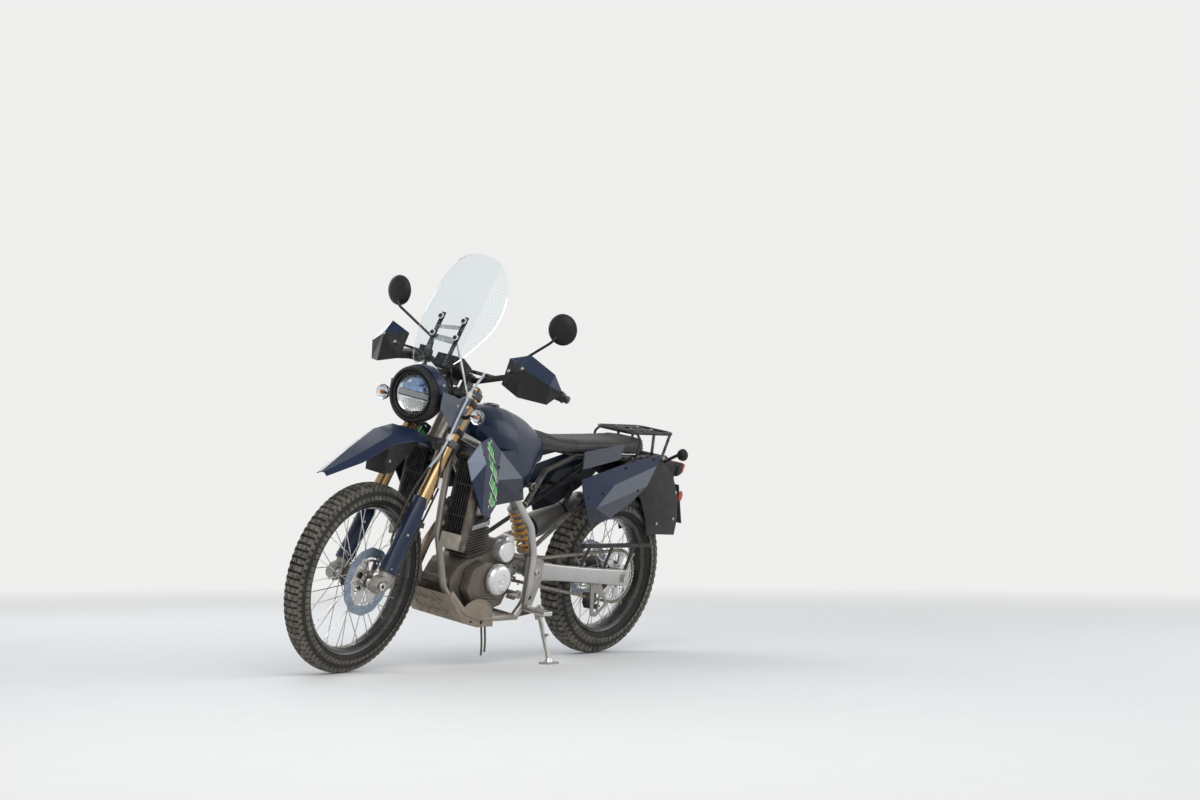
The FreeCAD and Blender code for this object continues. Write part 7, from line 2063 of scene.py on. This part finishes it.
# %% Shock
shock_way = unit(shock_top - shock_low)
shock_length = float(np.linalg.norm(shock_top - shock_low)) - 11.3
damper = turned([(0, 0), (14, 0), (14, 26), (9, 28), (9, 120), (22, 122), (22, shock_length - 26),
    (24, shock_length - 24), (24, shock_length - 6), (18, shock_length), (0, shock_length)], shock_low,
    shock_way, 32)
seats_forms = [turned([(9, 30), (35, 32), (36, 38), (34, 42), (9, 42)], shock_low, shock_way, 36, True),
    turned([(22, 216), (35, 214), (36, 222), (33, 226), (22, 228)], shock_low, shock_way, 36, True)]
coil_turn = linspace(0, 2 * pi * 6.6, 240)
u, v, w = basis(shock_way)
coil_height = interp(linspace(0, 1, 240), [0, 0.06, 0.94, 1], [44, 46, 208, 210])
coil_line = shock_low + 31 * (cos(coil_turn)[:, None] * u + sin(coil_turn)[:, None]
    * v) + coil_height[:, None] * w
piece("shock_absorber", [(cast, [damper] + seats_forms), (spring_yellow,
    [tube(None, 5.5, 10, path=coil_line)])], "chassis", ["shock"], 34)

# %% Chain guards
rail_line = [p(-300, 84), p(-300, 98), array([-150.0, 468]), array([-168.0, 452])]
struts = [slab([(x, z_low), (x + 16, z_low), (x - 24, 462), (x - 40, 462)], 108, 114, 1)
    for x, z_low in ((265, 382), (120, 368), (-20, 358))]
lower_outline = [p(-390, -50), p(-402, -110), p(-420, -196), p(-455, -200), p(-520, -150), p(-500, -120),
    p(-440, -50)]
windows_flat = [array([p(-424, -100), p(-434, -176), p(-456, -182), p(-458, -110)]),
    array([p(-466, -112), p(-464, -178), p(-502, -150), p(-488, -124)])]
lower_guard = slab(soften(lower_outline, 10), 98, 103.6, 1, windows_flat)
inner_guard = slab(soften([p(-396, -104), p(-420, -170), p(-455, -174), p(-496, -146), p(-484, -112)], 8),
    61, 66, 1)
rub_block = slab(soften([p(-400, -138), p(-420, -166), p(-455, -170), p(-490, -156)], 4), 61, 99, 1)
guard_bolts = [f for at in (p(-412, -70), p(-436, -66)) for f in screw((at[0], 103.6, at[1]), Y, 5, 4)]
guard_bolts += [f for x, z in ((258, 392), (112, 380), (-30, 368)) for f in screw((x, 114, z), Y, 4.5, 3.5)]
piece("chain_rail_and_guide", [(black, [slab(rail_line, 96, 118, 2), rub_block] + struts),
    (clamp_grey, [inner_guard]), (cast, [lower_guard]), (zinc, guard_bolts)], "chassis", ["chain_guards"],
    32)

# %% Rear caliper
def r_at(dx, dz):
    """A side-view point from the rear axle."""
    return array([rear_hub[0] + dx, rear_hub[2] + dz])


rear_body = [r_at(60, 46), r_at(126, 42), r_at(120, 94), r_at(64, 102)]
rear_halves = [slab(soften(rear_body, 10), -93.5, -76.5, 2), slab(soften(rear_body, 10), -67.5, -50.5, 2)]
rear_bridge = slab(soften([r_at(112, 46), r_at(126, 44), r_at(120, 92), r_at(104, 94)], 5), -80, -64, 1)
rear_hanger = slab(soften([r_at(-18, -18), r_at(20, -18), r_at(96, 40), r_at(70, 60), r_at(-18, 18)], 8),
    -95, -88.5, 1, [circle(10.6, r_at(0, 0), 24), circle(8, r_at(44, 20), 16)])
rear_bolts = [f for at in (r_at(74, 58), r_at(74, 90), r_at(110, 60))
    for f in bolt((at[0], -93.5, at[1]), -Y, 4.5, 5)]
piece("rear_caliper_halves", [(clamp_grey, rear_halves + [rear_bridge]), (cast, [rear_hanger]),
    (zinc, rear_bolts)], "chassis", ["rear_caliper"], 32)

# %% [markdown]
# Pegs, gear lever, brake pedal and side stand are small forgings and bent rods. The peg is an open loop
# with teeth.

# %% Foot controls
peg_loop = [(14, 160), (66, 160), (60, 250), (10, 250)]
peg_outline = array([(arm_pivot[0] + x, y) for x, y in peg_loop])
peg_window = array([(arm_pivot[0] + x, y) for x, y in ((24, 172), (56, 172), (51, 240), (18, 240))])
peg_form = shifted(plate([peg_outline, peg_window], 16, 2), (0, 0, arm_pivot[2] - 136))
peg_rung = [box((arm_pivot[0] + 20, y, arm_pivot[2] - 134), (arm_pivot[0] + 56, y, arm_pivot[2] - 134), 4,
    8, Z) for y in (196, 218)]
teeth = []
for k in range(9):
    yk = 166 + 9.6 * k
    for x_edge in (19 - 0.05 * k * 9, 61 - 0.06 * k * 9):
        teeth.append(box((arm_pivot[0] + x_edge, yk, arm_pivot[2] - 128.5),
            (arm_pivot[0] + x_edge, yk + 3.6, arm_pivot[2] - 128.5), 5, 3, Z))
spring_small = turned([(9, 142), (12.5, 144), (12.5, 154), (9, 156)], pivot(36, -136), Y, 20, True)
lever_forms = [rod(pivot(86, -84, 60.3), pivot(86, -84, 140), 10),
    box(pivot(86, -84, 134), pivot(166, -84, 146), 9, 15, Z),
    turned([(0, 0), (16, 0), (16, 12), (0, 12)], pivot(86, -84, 128), Y, 24),
    rod(pivot(164, -84, 142), pivot(164, -84, 152), 6)]
lever_rubber = [turned([(0, 0), (8, 0), (8, 4), (7, 5), (7, 8), (8, 9), (8, 14), (7, 15), (7, 18), (8, 19),
    (8, 29), (6.5, 31), (0, 31)], pivot(164, -84, 151), Y, 20)]
pedal_forms = [rod(pivot(30, -112, -138.3), pivot(30, -112, -196), 8),
    box(pivot(30, -112, -192), pivot(200, -96, -192), 9, 14, Z),
    rod(pivot(200, -96, -188), pivot(200, -96, -214), 9)]
piece("pegs_and_levers", [(bright, both([peg_form, rod(pivot(36, -136, 138.3), pivot(36, -136, 172), 9)]
    + peg_rung + teeth) + pedal_forms), (cast, lever_forms), (rubber, lever_rubber),
    (zinc, both([spring_small]))], "chassis", ["foot_controls"], 32)

# %% Side stand
floor_up = (0, 0, 1.0) @ leaning
floor_ahead = (1.0, 0, 0) @ leaning
stand_across = np.cross(stand_way, stand_axis)
stand_leg = tube([stand(18), stand(60), stand_foot - stand_way * 4], 10, 20, 40)
ears = []
for s in (-1, 1):
    near = stand(0, s * 9.5)
    ears.append(turned([(5.2, 0), (15, 0), (15, 7), (5.2, 7)], near, stand_axis * s, 28, True))
    middle = near + stand_axis * s * 3.5
    ears.append(box(middle + stand_way * 6, middle + stand_way * 34, 7, 24, stand_across))
hinge = turned([(0, -21), (8, -21), (8, -16.6), (5, -16.6), (5, 16.6), (8, 16.6), (8, 21), (0, 21)],
    stand_pivot, stand_axis, 6)
sole = box(stand_foot - floor_ahead * 35 - floor_up * 4, stand_foot + floor_ahead * 29 - floor_up * 4, 46,
    8, floor_up)
neck = turned([(0, -4), (19, -4), (12, 16), (10, 18), (0, 18)], stand_foot, floor_up, 28)
piece("side_stand_leg", [(bright, [stand_leg, neck, box(stand(120), stand(120) + (0, 26, 6), 8, 8,
    stand_way)]), (cast, ears + [box(stand(20), stand(36), 32, 24, stand_across), sole]), (zinc, [hinge])],
    "side_stand", ["side_stand"], 30)

# %% [markdown]
# The floor is plain and pale, and the light is soft: two large panels and an even world.
# Their level is set so that a colour renders about as it is written.

# %% Floor and light
backdrop_colour = (0.86, 0.86, 0.85)


def seen_ray(tree):
    """One for rays that show the backdrop: the camera's, mirrored and transmitted ones."""
    ray = add(tree, "LightPath")
    straight = maths(tree, "MAXIMUM", ray.outputs["Is Camera Ray"], ray.outputs["Is Transmission Ray"])
    return maths(tree, "MAXIMUM", straight, ray.outputs["Is Glossy Ray"])


def flat_material(name, colour, rough):
    """A plain floor finish with a slow change of tone, which fades into the backdrop far away."""
    material, tree, shader = new_material(name)
    toned = add(tree, "Group", node_tree=grain_group)
    feed(tree, toned, {"Colour": (*colour, 1), "Scale": 40, "Variation": 0.02})
    feed(tree, shader, {"Base Color": toned.outputs["Colour"], "Roughness": rough})
    away = add(tree, "VectorMath", {0: on_piece(tree)}, operation="LENGTH").outputs["Value"]
    share = times(tree, steps_of(tree, away, 2.6, 8), seen_ray(tree))
    glow = add(tree, "Emission", {"Color": (*backdrop_colour, 1)}).outputs[0]
    fade = add(tree, "MixShader", {0: share, 1: shader.outputs[0], 2: glow}).outputs[0]
    feed(tree, tree.nodes["Material Output"], {"Surface": fade})
    return material


floor_half = 30.0
floor_mesh = bpy.data.meshes.new("floor")
corners = [(-floor_half, -floor_half, 0), (floor_half, -floor_half, 0), (floor_half, floor_half, 0),
    (-floor_half, floor_half, 0)]
floor_mesh.from_pydata(corners, [], [(0, 1, 2, 3)])
floor_mesh.materials.append(flat_material("pale floor", (0.8, 0.8, 0.79), 0.8))
floor = placed("floor", floor_mesh)

world = bpy.data.worlds.new("soft sky")
world.use_nodes = True
sky = world.node_tree
sky_light = sky.nodes["Background"]
feed(sky, sky_light, {"Color": (0.86, 0.9, 0.96, 1), "Strength": 0.6})
upward = steps_of(sky, parted(sky, add(sky, "TexCoord").outputs["Generated"])["Z"], 0.25, 0.9)
overhead = blend(sky, upward, (*backdrop_colour, 1), (0.42, 0.44, 0.47, 1))
sky_mix = add(sky, "MixShader", {0: seen_ray(sky), 1: sky_light.outputs[0],
    2: add(sky, "Background", {"Color": overhead, "Strength": 1}).outputs[0]})
feed(sky, sky.nodes["World Output"], {"Surface": sky_mix.outputs[0]})
bpy.context.scene.world = world


def area_light(name, place, target, size, power, colour):
    """A square soft light at a place, facing a target."""
    data = bpy.data.lights.new(name, "AREA")
    data.size = size
    data.energy = power
    data.color = colour
    w = unit(array(place, float) - target)
    u = unit(np.cross(Z, w))
    turn = np.eye(4)
    turn[:3] = stack([u, np.cross(w, u), w, place], -1)
    placed(name, data).matrix_world = Matrix(turn.tolist())


area_light("key", (3.2, 2.6, 4.2), (0, 0, 0.6), 3.5, 130, (1.0, 0.97, 0.93))
area_light("fill", (-3.6, 3.4, 2.6), (0, 0, 0.6), 3.5, 60, (0.93, 0.96, 1.0))
area_light("back", (-1.5, -4.0, 3.4), (0, 0, 0.6), 3.0, 70, (0.95, 0.97, 1.0))
print("floor and three soft lights")

# %% Piece and face counts, and the view transform
print("pieces", len(pieces_made), "faces", sum(pieces_made.values()))
bpy.context.scene.view_settings.view_transform = "Standard"
